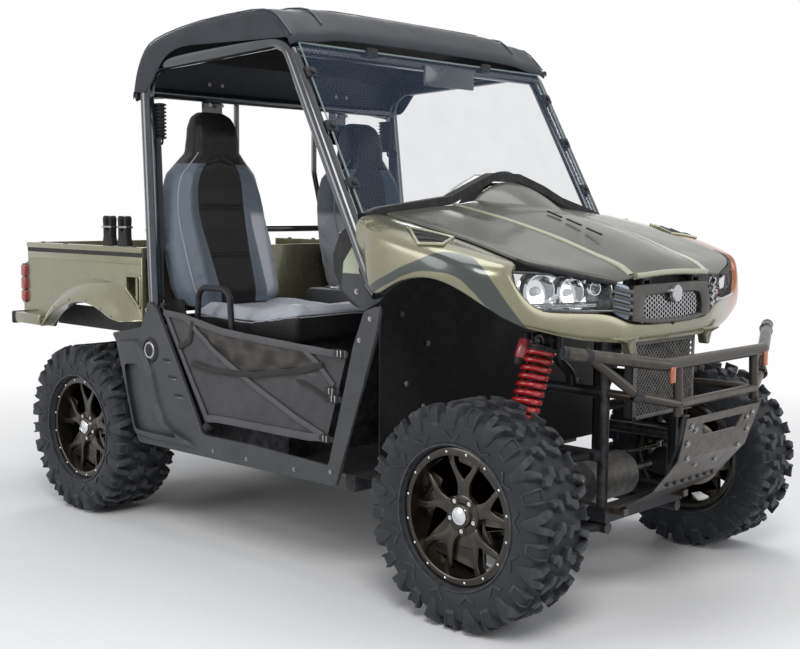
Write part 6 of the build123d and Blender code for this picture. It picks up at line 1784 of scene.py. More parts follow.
@dataclass
class SidePanels:
    """Quarter panel, sill, front leg, filler, slots and the plates at the pillars' feet.

    Attributes:
        vehicle: the vehicle.
        outline: edge of the panel as x and z.
        bulge: edge of the raised part of the quarter panel.
        slots: x and z of the slots on the door post.
        bolts: x and z of the bolts.
    """

    vehicle: Vehicle
    outline: tuple = ((-737, 712), (-716, 690), (-668, 590), (-634, 500), (-600, 400), (-580, 340), (-566, 318),
                      (-60, 322), (490, 328), (502, 355), (531, 442), (572, 560), (609, 656), (640, 744), (668, 828),
                      (682, 905), (612, 880), (588, 822), (566, 772), (530, 640), (494, 514), (457, 389), (90, 400),
                      (-166, 398), (-186, 402), (-196, 418), (-214, 452), (-309, 604), (-399, 744), (-449, 822),
                      (-500, 848), (-545, 748))
    bulge: tuple = ((-700, 690), (-640, 540), (-596, 400), (-578, 345), (-480, 340), (-210, 343), (-240, 366),
                    (-330, 386), (-392, 420), (-430, 480), (-470, 590), (-512, 660), (-560, 704))
    slots: tuple = ((-386, 640, 56), (-354, 582, 58), (-318, 520, 60))
    bolts: tuple = ((-508, 812), (470, 372), (640, 860), (595, 792), (300, 352), (60, 350), (-120, 350))

    def build(self) -> None:
        """Builds both sides."""
        panel, bulge, dark, trim_and_slot_highlights, plates, bolts = (new_shape() for _ in range(6))
        outline = smooth_outline(self.outline, 14, 2)
        for sign in (1, -1):
            add_plate(panel, outline, Plane.SIDE, sign * 689, sign * 704)
            before = set(bulge.verts)
            loop = smooth_outline(self.bulge, 40, 4)
            rows = []
            for share, y in ((1.0, 702), (0.955, 711), (0.90, 717), (0.80, 721), (0.62, 723), (0.35, 724)):
                ring = []
                for x, z in loop:
                    near = Vector((max(-640, min(x, -240)) * 0.55 - 0.45 * 520, 0, 0.5 * z + 0.5 * 430))
                    ring.append((near.x + (x - near.x) * share, sign * y, near.z + (z - near.z) * share))
                rows.append(ring + ring[:1])
            add_skin(bulge, rows)
            made = list(set(bulge.verts) - before)
            bmesh.ops.remove_doubles(bulge, verts=made, dist=SKIN_WELD)
            lip = [(x, sign * 701, z) for x, z in ((-700, 690), (-640, 548), (-600, 420), (-578, 345), (-566, 322),
                                                   (-60, 325), (488, 331), (531, 446), (609, 660), (680, 900))]
            add_tube(panel, rounded_path(lip, 20, 4), 3.2, segments=8)
            filler = (-484, sign * 704, 668)
            add_lathe(dark, [(0, 46), (5, 44), (6, 38), (-6, 36), (-8, 0)], filler, (0, sign, 0), 40)
            add_lathe(trim_and_slot_highlights, [(-4, 31), (7, 31), (9, 28), (8, 23), (0, 22)], filler, (0, sign, 0), 40)
            add_lathe(dark, [(0, 23), (9, 21), (11, 15), (10, 0)], (-484, sign * 703, 668), (0, sign, 0), 32)
            # Each slot is a black oval that stands in for the shade inside the opening, and a silver oval set lower
            # is a painted highlight on its lower lip.
            for x, z, length in self.slots:
                add_ball(dark, (x, sign * 704, z), 10, (length / 20, 0.35, 0.62), rings=8)
                add_ball(trim_and_slot_highlights, (x + 2, sign * 702.5, z - 5), 10, (length / 22, 0.28, 0.4), rings=8)
            for x, z in self.bolts:
                add_bolt(bolts, (x, sign * 704, z), (0, sign, 0), 5, 3)
            edge = smooth_outline(((440, 1020), (430, 930), (531, 871), (600, 905), (640, 950), (600, 1000),
                                   (580, 1060), (505, 1100)), 16, 3)
            add_plate(plates, edge, Plane.SIDE, sign * 613, sign * 623, bevel=2)
            for x, z in ((520, 1040), (560, 985), (500, 930)):
                add_bolt(bolts, (x, sign * 623, z), (0, sign, 0), 6, 4)
            add_rod(dark, (540, sign * 622, 1000), (540, sign * 640, 1000), 16, segments=20, bevel=2)
        self.vehicle.piece("side_panel_sheets", panel, GREY, "grey_plastic", replaces=["side_panels"], smooth=50,
                           bevel=2.5)
        face_out(bulge, (-400, 0, 500))
        self.vehicle.piece("quarter_bulges", bulge, GREY, "grey_plastic", smooth=60, subdivide=1)
        # Black sheet inboard of each door's rear edge: painted shade that stands in for the dark interior seen
        # through the gap between the door and the quarter panel.
        for sign in (1, -1):
            add_plate(dark, [(-560, 850), (-430, 850), (-230, 430), (-400, 430)], Plane.SIDE, sign * 600, sign * 605)
        # Black plastic parts, together with the painted shade inside the slots and in the door gap.
        self.vehicle.piece("side_dark_parts", dark, BLACK, "black_plastic")
        # Silver filler rings, together with the painted highlights on the slots' lower lips.
        self.vehicle.piece("filler_rings", trim_and_slot_highlights, TRIM, "bare_steel")
        foot_grey = replace(GREY, name="pillar_foot_grey", recolour=self.add_pad)
        self.vehicle.piece("pillar_foot_plates", plates, foot_grey, "olive_body", replaces=["pillar_plates"])
        self.vehicle.piece("side_bolts", bolts, BOLT, "bare_steel")

    def add_pad(self, surface: Surface, colour: Socket) -> Socket:
        """Turns the upper part of the plates at the pillars' feet pale green."""
        return surface.mix(surface.between(surface.split(surface.where)[2], 0.985, 2.0), colour, GREEN_PAD.colour)


@dataclass
class Doors:
    """Fabric half doors with sewn borders, straps and buckles.

    Attributes:
        vehicle: the vehicle.
        top: top edge from the rear to the front, as x and z.
        base: lower edge from the rear to the front.
        borders: points and half width of the strips round the cloth and across it.
        dark: points and half width of the black straps.
        buckles: x and z of the buckles.
        patch: lower and upper line of the coated patch, as x and z.
        patch_colour: colour of the coated patch.
        patch_rough: roughness of the coated patch.
    """

    vehicle: Vehicle
    top: tuple = ((-418, 818), (-310, 812), (-200, 790), (-87, 776), (30, 768), (150, 763), (300, 756), (455, 750),
                  (528, 752))
    base: tuple = ((-168, 440), (-120, 447), (0, 448), (120, 449), (240, 449), (352, 450), (432, 459))
    borders: tuple = (
        (((-418, 808), (-310, 802), (-87, 766), (150, 753), (455, 740), (526, 742)), 11),
        (((-166, 456), (-120, 461), (120, 463), (352, 464), (430, 472)), 12),
        (((-406, 806), (-290, 628), (-165, 450)), 9),
        (((-300, 806), (-120, 690), (80, 600), (300, 515), (424, 478)), 9),
        (((310, 752), (400, 700), (470, 640)), 8))
    dark: tuple = (
        (((-256, 640), (-150, 626), (80, 634), (320, 672), (420, 700)), 10),
        (((-246, 790), (-262, 720), (-330, 690)), 9),
        (((300, 640), (380, 622), (450, 590)), 5))
    buckles: tuple = ((500, 742), (462, 622), (474, 600), (436, 470))
    patch: tuple = (((-280, 800), (-180, 740), (0, 655), (180, 640), (330, 690), (400, 740)),
                    ((-280, 801), (-100, 776), (100, 760), (300, 752), (400, 741)))
    patch_colour: Colour = (0.022, 0.017, 0.013)
    patch_rough: float = 0.12

    def line(self, points: Sequence, share: float) -> tuple[float, float]:
        """Point at a share of a polyline's length."""
        lengths = [math.dist(a, b) for a, b in zip(points, points[1:])]
        goal = share * sum(lengths)
        for (a, b), length in zip(zip(points, points[1:]), lengths):
            if goal <= length:
                t = goal / length
                return a[0] + (b[0] - a[0]) * t, a[1] + (b[1] - a[1]) * t
            goal -= length
        return points[-1]

    def fold(self, x: float, z: float) -> float:
        """How far the cloth stands out in its folds, in millimetres."""
        upper = clamped((z - 610) / 60) * clamped((790 - z) / 40)
        wide = clamped((x + 260) / 120) * clamped((430 - x) / 120)
        deep = math.sin(0.036 * x + 0.012 * z) * math.sin(0.055 * z - 0.010 * x + 0.8)
        fine = math.sin(0.085 * x - 0.05 * z) + 0.6 * math.sin(0.13 * x + 0.09 * z + 1.0)
        broad = math.sin(0.017 * x + 0.024 * z) + 0.5 * math.sin(0.041 * z - 0.013 * x)
        return 11.0 * upper * wide * deep + 0.7 * fine + 2.2 * broad

    def at(self, s: float, t: float) -> tuple[float, float, float]:
        """Point of the cloth at shares along its length and height: x, stand-off and z."""
        (x0, z0), (x1, z1) = self.line(self.base, s), self.line(self.top, s)
        x, z = x0 + (x1 - x0) * t, z0 + (z1 - z0) * t
        edge = min(1.0, 8 * s, 8 * (1 - s), 8 * t, 8 * (1 - t))
        return x, self.fold(x, z) * edge, z

    def ribbon(self, bm: bmesh.types.BMesh, points: Sequence, half: float, sign: int, lift: float) -> None:
        """Adds a strip of webbing that follows the folds."""
        steps = 22
        rows = []
        for index in range(steps + 1):
            x, z = self.line(points, index / steps)
            xa, za = self.line(points, min(1.0, (index + 0.5) / steps))
            xb, zb = self.line(points, max(0.0, (index - 0.5) / steps))
            way = Vector((xa - xb, za - zb)).normalized()
            row = []
            for share in (-1, -0.8, 0, 0.8, 1):
                px, pz = x - way.y * half * share, z + way.x * half * share
                out = 690 + lift + max(0.0, 0.75 * self.fold(px, pz)) + (1.2 if abs(share) < 1 else 0)
                row.append((px, sign * out, pz))
            rows.append(row)
        add_skin(bm, rows)

    def build(self) -> None:
        """Builds both doors."""
        self.coat_patch()
        for side in Side:
            sign, body = side.value, f"door_{side.word}"
            bm = new_shape()
            add_skin(bm, [[(x, sign * (687 + off), z) for x, off, z in (self.at(s / 64, t / 26) for t in range(27))]
                          for s in range(65)])
            face_out(bm, (100, 0, 600))
            sheet = self.vehicle.piece(f"door_cloth_{side.word}", bm, DOOR_CLOTH, "door_fabric", body,
                                       replaces=[f"door_{side.word}"], smooth=180, normals=False, wall=2.0,
                                       subdivide=1)
            self.area()
            borders, dark, metal = new_shape(), new_shape(), new_shape()
            for points, half in self.borders:
                self.ribbon(borders, points, half, sign, 1.5)
            for points, half in self.dark:
                self.ribbon(dark, points, half, sign, 3.0)
            for x, z in self.buckles:
                add_box(dark, (x - 20, sign * 694 - 4, z - 13), (x + 18, sign * 694 + 4, z + 13), bevel=2.5)
                add_box(dark, (x - 32, sign * 692 - 2, z - 9), (x + 34, sign * 692 + 2, z + 9), bevel=1.5)
                for across in (-9, 6):
                    add_box(metal, (x + across, sign * 697 - 2.5, z - 10), (x + across + 4, sign * 697 + 2.5, z + 10),
                            bevel=1)
            add_rod(dark, (-169, sign * 684, 416), (-181, sign * 684, 434), 17, segments=20, bevel=3)
            for name, made, finish, wall in (("borders", borders, BORDER, 1.0), ("straps", dark, STRAP, 1.0),
                                             ("buckles", metal, TRIM, 0.0)):
                self.vehicle.piece(f"door_{name}_{side.word}", made, finish, "door_fabric", body, smooth=60,
                                   normals=wall == 0.0, wall=wall)

    def area(self) -> float:
        """Flat area of the cloth in square metres."""
        shares = [s / 20 for s in range(21)]
        loop = [self.line(self.base, s) for s in shares] + [self.line(self.top, 1 - s) for s in shares]
        total = sum(a[0] * b[1] - b[0] * a[1] for a, b in zip(loop, loop[1:] + loop[:1]))
        return abs(total) / 2 * 1e-6 * 1.01

    def coat_patch(self) -> None:
        """Turns the door cloth dark and glossy where its coated patch lies."""
        surface = self.vehicle.shop.made[DOOR_CLOTH.name]
        x, _, z = surface.split(surface.where)
        low, high = (surface.curve(x, line) for line in self.patch)
        patch = surface.between(z, low, high, 0.006)
        woven = surface.shader["Base Color"].links[0].from_socket
        surface.set({"Base Color": surface.mix(patch, woven, self.patch_colour),
                     "Roughness": surface.ramp(patch, end=(DOOR_CLOTH.rough, self.patch_rough))})


# --------------------------------------------------------------------------------------------- seats
SWELL_VOXEL = 7.5       # size of the even mesh, in millimetres
SWELL_PRESSURE = 4.0    # pressure inside the cloth
SWELL_REACH = 9.0       # how far a point may move, in millimetres
SWELL_FRAMES = 20       # frames that the cloth is run for
FAR = 99.0              # distance that stands for no seam near by


def puff(bm: bmesh.types.BMesh) -> bmesh.types.BMesh:
    """Swells a closed form into a padded one with a cloth simulation.

    Args:
        bm: the form in millimetres, which is used up.

    Returns:
        The padded form, in millimetres.
    """
    scene = bpy.context.scene
    bmesh.ops.scale(bm, vec=(MM, MM, MM), verts=bm.verts[:])
    work = put_in_scene("padding", to_mesh(bm, "padding"))
    remesh = work.modifiers.new("even mesh", "REMESH")
    remesh.mode = "VOXEL"
    remesh.voxel_size = SWELL_VOXEL * MM * 1.0
    even = bpy.data.meshes.new_from_object(work.evaluated_get(bpy.context.evaluated_depsgraph_get()))
    work.modifiers.clear()
    work.data = even
    start = [vert.co.copy() for vert in even.vertices]
    cloth = work.modifiers.new("swell", "CLOTH")
    cloth.settings.use_pressure = True
    cloth.settings.uniform_pressure_force = SWELL_PRESSURE
    cloth.settings.effector_weights.gravity = 0.0
    cloth.settings.quality = 4
    cloth.point_cache.frame_start, cloth.point_cache.frame_end = 1, SWELL_FRAMES
    for step in range(1, SWELL_FRAMES + 1):
        scene.frame_set(step)
    done = work.evaluated_get(bpy.context.evaluated_depsgraph_get()).data
    moved = [vert.co.copy() for vert in done.vertices]
    work.modifiers.clear()
    scene.frame_set(1)
    for vert, before, after in zip(even.vertices, start, moved):
        way = after - before
        vert.co = before + way * min(1.0, SWELL_REACH * MM / max(way.length, LEAST))
    result = new_shape()
    result.from_mesh(even)
    bpy.data.objects.remove(work)
    bmesh.ops.scale(result, vec=(1 / MM, 1 / MM, 1 / MM), verts=result.verts[:])
    for _ in range(3):
        bmesh.ops.smooth_vert(result, verts=result.verts[:], factor=0.5, use_axis_x=True, use_axis_y=True,
                              use_axis_z=True)
    return result


@dataclass
class Seats:
    """Two bucket seats with padded backs and cushions.

    Attributes:
        vehicle: the vehicle.
        middle: y of the seats' middle.
        back: z, front x, rear x, half width and side padding of the back's sections.
        cushion: x, top z, half width and side padding of the cushion's sections.
        seams: z of the sewn channels across the back.
        seam_wide: width of a sewn channel.
        seam_deep: depth of a sewn channel.
        insert: z and half width of the back's black middle.
        rim: x and z of the seam round the cushion, by its side.
    """

    vehicle: Vehicle
    middle: float = 390.0
    back: tuple = ((822, -356, -492, 196, 16), (880, -376, -520, 212, 38), (950, -402, -548, 216, 44),
                   (1030, -432, -572, 216, 46), (1110, -462, -582, 216, 46), (1180, -480, -588, 214, 44),
                   (1250, -486, -588, 208, 38), (1310, -484, -584, 190, 26), (1352, -480, -580, 150, 12),
                   (1390, -476, -574, 112, 4), (1440, -472, -568, 106, 4), (1490, -478, -566, 98, 4),
                   (1528, -492, -562, 80, 2), (1546, -510, -556, 54, 0))
    cushion: tuple = ((-392, 818, 196, 8), (-330, 822, 212, 18), (-240, 818, 216, 24), (-140, 812, 216, 24),
                      (-40, 812, 216, 22), (60, 828, 214, 20), (130, 844, 212, 16), (176, 852, 208, 8),
                      (194, 836, 200, 0))
    seams: tuple = (1010.0, 1185.0)
    seam_wide: float = 5.0
    seam_deep: float = 4.5
    insert: tuple = ((820, 78), (1000, 92), (1200, 106), (1290, 96), (1352, 60), (1372, 10))
    rim: tuple = ((-392, 806), (-40, 800), (176, 832))

    def back_ring(self, z: float, front: float, rear: float, half: float, pad: float) -> list:
        """Closed section of the back at a height."""
        ring = []
        for index in range(17):
            u = -1 + index / 8
            side = math.exp(-((abs(u) - 0.78) / 0.17) ** 2)
            ring.append((front + pad * side - 20 * max(0.0, abs(u) - 0.86) / 0.14, half * u, z + 0.02 * abs(u)))
        ring += [(rear + 14, half, z), (rear + 2, 0.84 * half, z), (rear, 0.4 * half, z), (rear, 0, z),
                 (rear, -0.4 * half, z), (rear + 2, -0.84 * half, z), (rear + 14, -half, z)]
        return ring + ring[:1]

    def cushion_ring(self, x: float, top: float, half: float, pad: float) -> list:
        """Closed section of the cushion at a distance along X."""
        ring = []
        for index in range(17):
            u = -1 + index / 8
            side = math.exp(-((abs(u) - 0.8) / 0.16) ** 2)
            ring.append((x, half * u, top + pad * side - 14 * max(0.0, abs(u) - 0.86) / 0.14))
        low = 742 + (12 if x > 180 else 0)
        ring += [(x, half, 0.5 * (top + low)), (x, half - 3, low + 8), (x, half - 12, low), (x, 0, low),
                 (x, -half + 12, low), (x, -half + 3, low + 8), (x, -half, 0.5 * (top + low))]
        return ring + ring[:1]

    def loft(self, rings: Sequence) -> bmesh.types.BMesh:
        """Closed form through rings of points."""
        bm = new_shape()
        add_skin(bm, rings)
        bmesh.ops.remove_doubles(bm, verts=bm.verts[:], dist=0.05)
        for ring in (rings[0], rings[-1]):
            members = [v for v in bm.verts if any((v.co - Vector(p)).length < 0.1 for p in ring)]
            bmesh.ops.contextual_create(bm, geom=[e for e in loop_edges(members) if e.is_boundary])
        bmesh.ops.recalc_face_normals(bm, faces=bm.faces[:])
        return bm

    def carve(self, bm: bmesh.types.BMesh, gap: Callable) -> None:
        """Presses sewn channels into a form, where a function gives the distance to the nearest seam."""
        bm.normal_update()
        for vert in bm.verts:
            near = gap(vert.co)
            if near < 4 * self.seam_wide:
                vert.co -= vert.normal * self.seam_deep * math.exp(-(near / self.seam_wide) ** 2)

    def centre_half(self, z: float) -> float:
        """Half width of the black middle of the back at a height."""
        return along(self.insert, z)

    def back_gap(self, co: Vector) -> float:
        """Distance to the nearest seam of the back, large behind it."""
        if co.x < along([(822, -420), (1180, -530), (1548, -540)], co.z):
            return FAR
        side = abs(abs(co.y) - self.centre_half(co.z)) if co.z < 1375 else FAR
        inside = abs(co.y) < self.centre_half(co.z)
        across = min(abs(co.z - z) for z in self.seams) if inside else FAR
        head = abs(co.z - (1352 - 0.25 * abs(co.y))) if abs(co.y) < 110 else FAR
        return min(side, across, head)

    def cushion_gap(self, co: Vector) -> float:
        """Distance to the nearest seam of the cushion."""
        rim = abs(co.z - along(self.rim, co.x)) if abs(co.y) > 180 or co.x > 150 else FAR
        top = abs(abs(co.y) - 118) if co.z > 800 and -360 < co.x < 170 else FAR
        return min(rim, top)

    def paint_back(self, surface: Surface, colour: Socket) -> Socket:
        """Gives the blue-grey back its black middle and headrest, and a pale insert on the inner side.

        Args:
            surface: the back's vinyl.
            colour: its colour so far.

        Returns:
            The new colour.
        """
        _, y, z = surface.split(surface.where)
        beside = surface.maths("SUBTRACT", surface.maths("ABSOLUTE", y), self.middle * MM)
        away = surface.maths("ABSOLUTE", beside)
        pale = surface.maths("MULTIPLY", surface.between(beside, -0.3, -0.125), surface.between(z, 0.86, 1.16, 0.012))
        colour = surface.mix(pale, colour, SEAT_PALE.colour)
        half = surface.curve(z, self.insert[:-1], (0, 200))
        colour = surface.mix(surface.between(away, -1.0, half), colour, SEAT_BLACK.colour)
        return surface.mix(surface.between(z, 1.345, 2.0), colour, SEAT_BLACK.colour)

    def paint_cushion(self, surface: Surface, colour: Socket) -> Socket:
        """Turns the pale cushion black below its seam."""
        x, _, z = surface.split(surface.where)
        edge = surface.curve(x, ((-395, 806), (-40, 800), (90, 816), (200, 834)))
        return surface.mix(surface.between(z, 0.0, edge), colour, SEAT_BLACK.colour)

    def build(self) -> None:
        """Builds one seat and sets it on both sides."""
        back = puff(self.loft([self.back_ring(*row) for row in self.back]))
        self.carve(back, self.back_gap)
        cushion = puff(self.loft([self.cushion_ring(*row) for row in self.cushion]))
        self.carve(cushion, self.cushion_gap)
        piping = new_shape()
        for sign in (1, -1):
            line = [(self.front_of(z, 0.97) + 4, sign * along([(row[0], row[3]) for row in self.back], z) * 0.95, z)
                    for z in range(850, 1400, 18)]
            add_tube(piping, self.laid(back, line), 2.6, segments=8)
        edge = [(x, -along([(row[0], row[2]) for row in self.cushion], x) - 4,
                 along([(-392, 806), (-40, 800), (90, 816), (176, 832)], x)) for x in range(-380, 190, 20)]
        front = [(200, y, 836) for y in range(-180, 200, 20)]
        loop = edge + front + [(x, -y, z) for x, y, z in reversed(edge)]
        add_tube(piping, self.laid(cushion, loop), 2.6, segments=8)
        vinyl = {"back": replace(SEAT_GREY, name="seat_back_vinyl", recolour=self.paint_back),
                 "cushion": replace(SEAT_PALE, name="seat_cushion_vinyl", recolour=self.paint_cushion)}
        for side in Side:
            for name, made in (("back", back), ("cushion", cushion)):
                stands_for = ["seats"] if name == "back" and side is Side.RIGHT else ()
                piece = self.vehicle.piece(f"seat_{name}_{side.word}", self.placed(made, side, side is Side.RIGHT),
                                           vinyl[name], "seat_vinyl", replaces=stands_for, smooth=180,
                                           normals=False, subdivide=1)
            self.vehicle.piece(f"seat_piping_{side.word}", self.placed(piping, side, False), PIPING, "seat_vinyl",
                               smooth=60)
        for used in (back, cushion, piping):
            used.free()

    def placed(self, form: bmesh.types.BMesh, side: Side, mirrored: bool) -> bmesh.types.BMesh:
        """A copy of a form on one side of the vehicle."""
        copy = form.copy()
        if mirrored:
            mirror_y(copy)
        bmesh.ops.translate(copy, vec=(0, side.value * self.middle, 0), verts=copy.verts[:])
        return copy

    def front_of(self, z: float, share: float) -> float:
        """X of the back's front at a height, near its edge."""
        front = along([(row[0], row[1]) for row in self.back], z)
        return front + share * 0.2 * along([(row[0], row[4]) for row in self.back], z)

    def laid(self, bm: bmesh.types.BMesh, line: Sequence) -> list:
        """Points of a line moved onto a form's surface."""
        tree = BVHTree.FromBMesh(bm)
        return [tree.find_nearest(Vector(point))[0] for point in line]


# --------------------------------------------------------------------------------------- roof and cabin
@dataclass
class Roof:
    """Roof shell with its skirts, raised panel, seams and lining.

    Attributes:
        vehicle: the vehicle.
        crown: height of the roof's crown.
        top: x and drop below the crown along the middle, from the rear to the front.
        skirt: x and lower z of the side skirts.
        arch: y and drop of the roof's section, from the middle to the skirt.
    """

    vehicle: Vehicle
    crown: float = 1859.0
    top: tuple = ((-621, 258), (-619, 215), (-616, 178), (-606, 140), (-590, 110), (-568, 84), (-540, 62), (-500, 47),
                  (-435, 33), (-340, 19), (-232, 9), (-100, 3), (40, 1), (100, 6), (140, 15), (172, 36), (205, 68),
                  (232, 96), (240, 124))
    skirt: tuple = ((-622, 1601), (-560, 1594), (-522, 1596), (-500, 1640), (-478, 1676), (-450, 1708), (-410, 1730),
                    (-350, 1742), (205, 1722), (240, 1730))
    arch: tuple = ((0, 0), (200, 0.5), (350, 2), (452, 5), (500, 11), (540, 20), (590, 22), (628, 25), (652, 31),
                   (664, 42))

    def row(self, x: float, drop: float, off: float = 0.0) -> list:
        """Section of the roof across Y, set off inwards where off is above zero."""
        z = self.crown - drop - off
        low = min(along(self.skirt, x), z - 4)
        points = [(x, y - off * y / 664, z - down) for y, down in self.arch]
        points += [(x, 669 - off, max(low, z - 62)), (x, 669 - off, min(low, z - 44)),
                   (x, 666 - off, low - 1 + off / 2)]
        return [(px, -y, pz) for px, y, pz in reversed(points)] + points[1:]

    def build(self) -> None:
        """Builds the shell, the panel, seams and lining."""
        shell = new_shape()
        add_skin(shell, [self.row(x, drop) for x, drop in self.top])
        face_out(shell, (-200, 0, 1500))
        self.vehicle.piece("roof_shell", shell, ROOF, "roof_plastic", replaces=["roof"], normals=False,
                           wall=9.0, subdivide=2)
        lining = new_shape()
        rows = []
        for x, drop in self.top[4:-2]:
            flat = [point for point in self.row(x + 6, drop, 20) if abs(point[1]) < 640]
            rows.append([(px, y, z + 4 * math.cos(y / 60) * (abs(y) < 500)) for px, y, z in flat])
        add_skin(lining, rows)
        face_out(lining, (-200, 0, 2500))
        self.vehicle.piece("roof_lining", lining, BLACK, "roof_plastic", normals=False, wall=3.0, subdivide=1)
        seams = new_shape()
        for sign in (1, -1):
            line = [(x, sign * 500, self.crown - drop - 9) for x, drop in self.top[6:-2]]
            add_tube(seams, line, 3.2, segments=8)
            line = [(x, sign * 655, self.crown - drop - 31) for x, drop in self.top[3:-1]]
            add_tube(seams, line, 2.6, segments=8)
        across = [(x, y, z + 1) for x, y, z in self.row(-20, 2) if abs(y) < 645]
        add_tube(seams, across, 2.4, segments=6)
        self.vehicle.piece("roof_seams", seams, ROOF_SIDE, "roof_plastic", smooth=60)
        panel = new_shape()
        for x0, x1, half in ((-430, -60, 400), (10, 118, 400)):
            rows = []
            for step in range(9):
                x = x0 + (x1 - x0) * step / 8
                z = self.crown - along(self.top, x)
                lift = 0.0 if step in (0, 8) else (-2 if x < 100 else -3)
                rise = {half: -3, half - 14: lift, 200: 1 + lift, 0: 1 + lift}
                rows.append([(x, y, z + rise[abs(y)]) for y in (-half, 14 - half, -200, 0, 200, half - 14, half)])
            add_skin(panel, rows)
        face_out(panel, (0, 0, 1000))
        self.vehicle.piece("roof_panels", panel, ROOF, "roof_plastic", normals=False, subdivide=1)


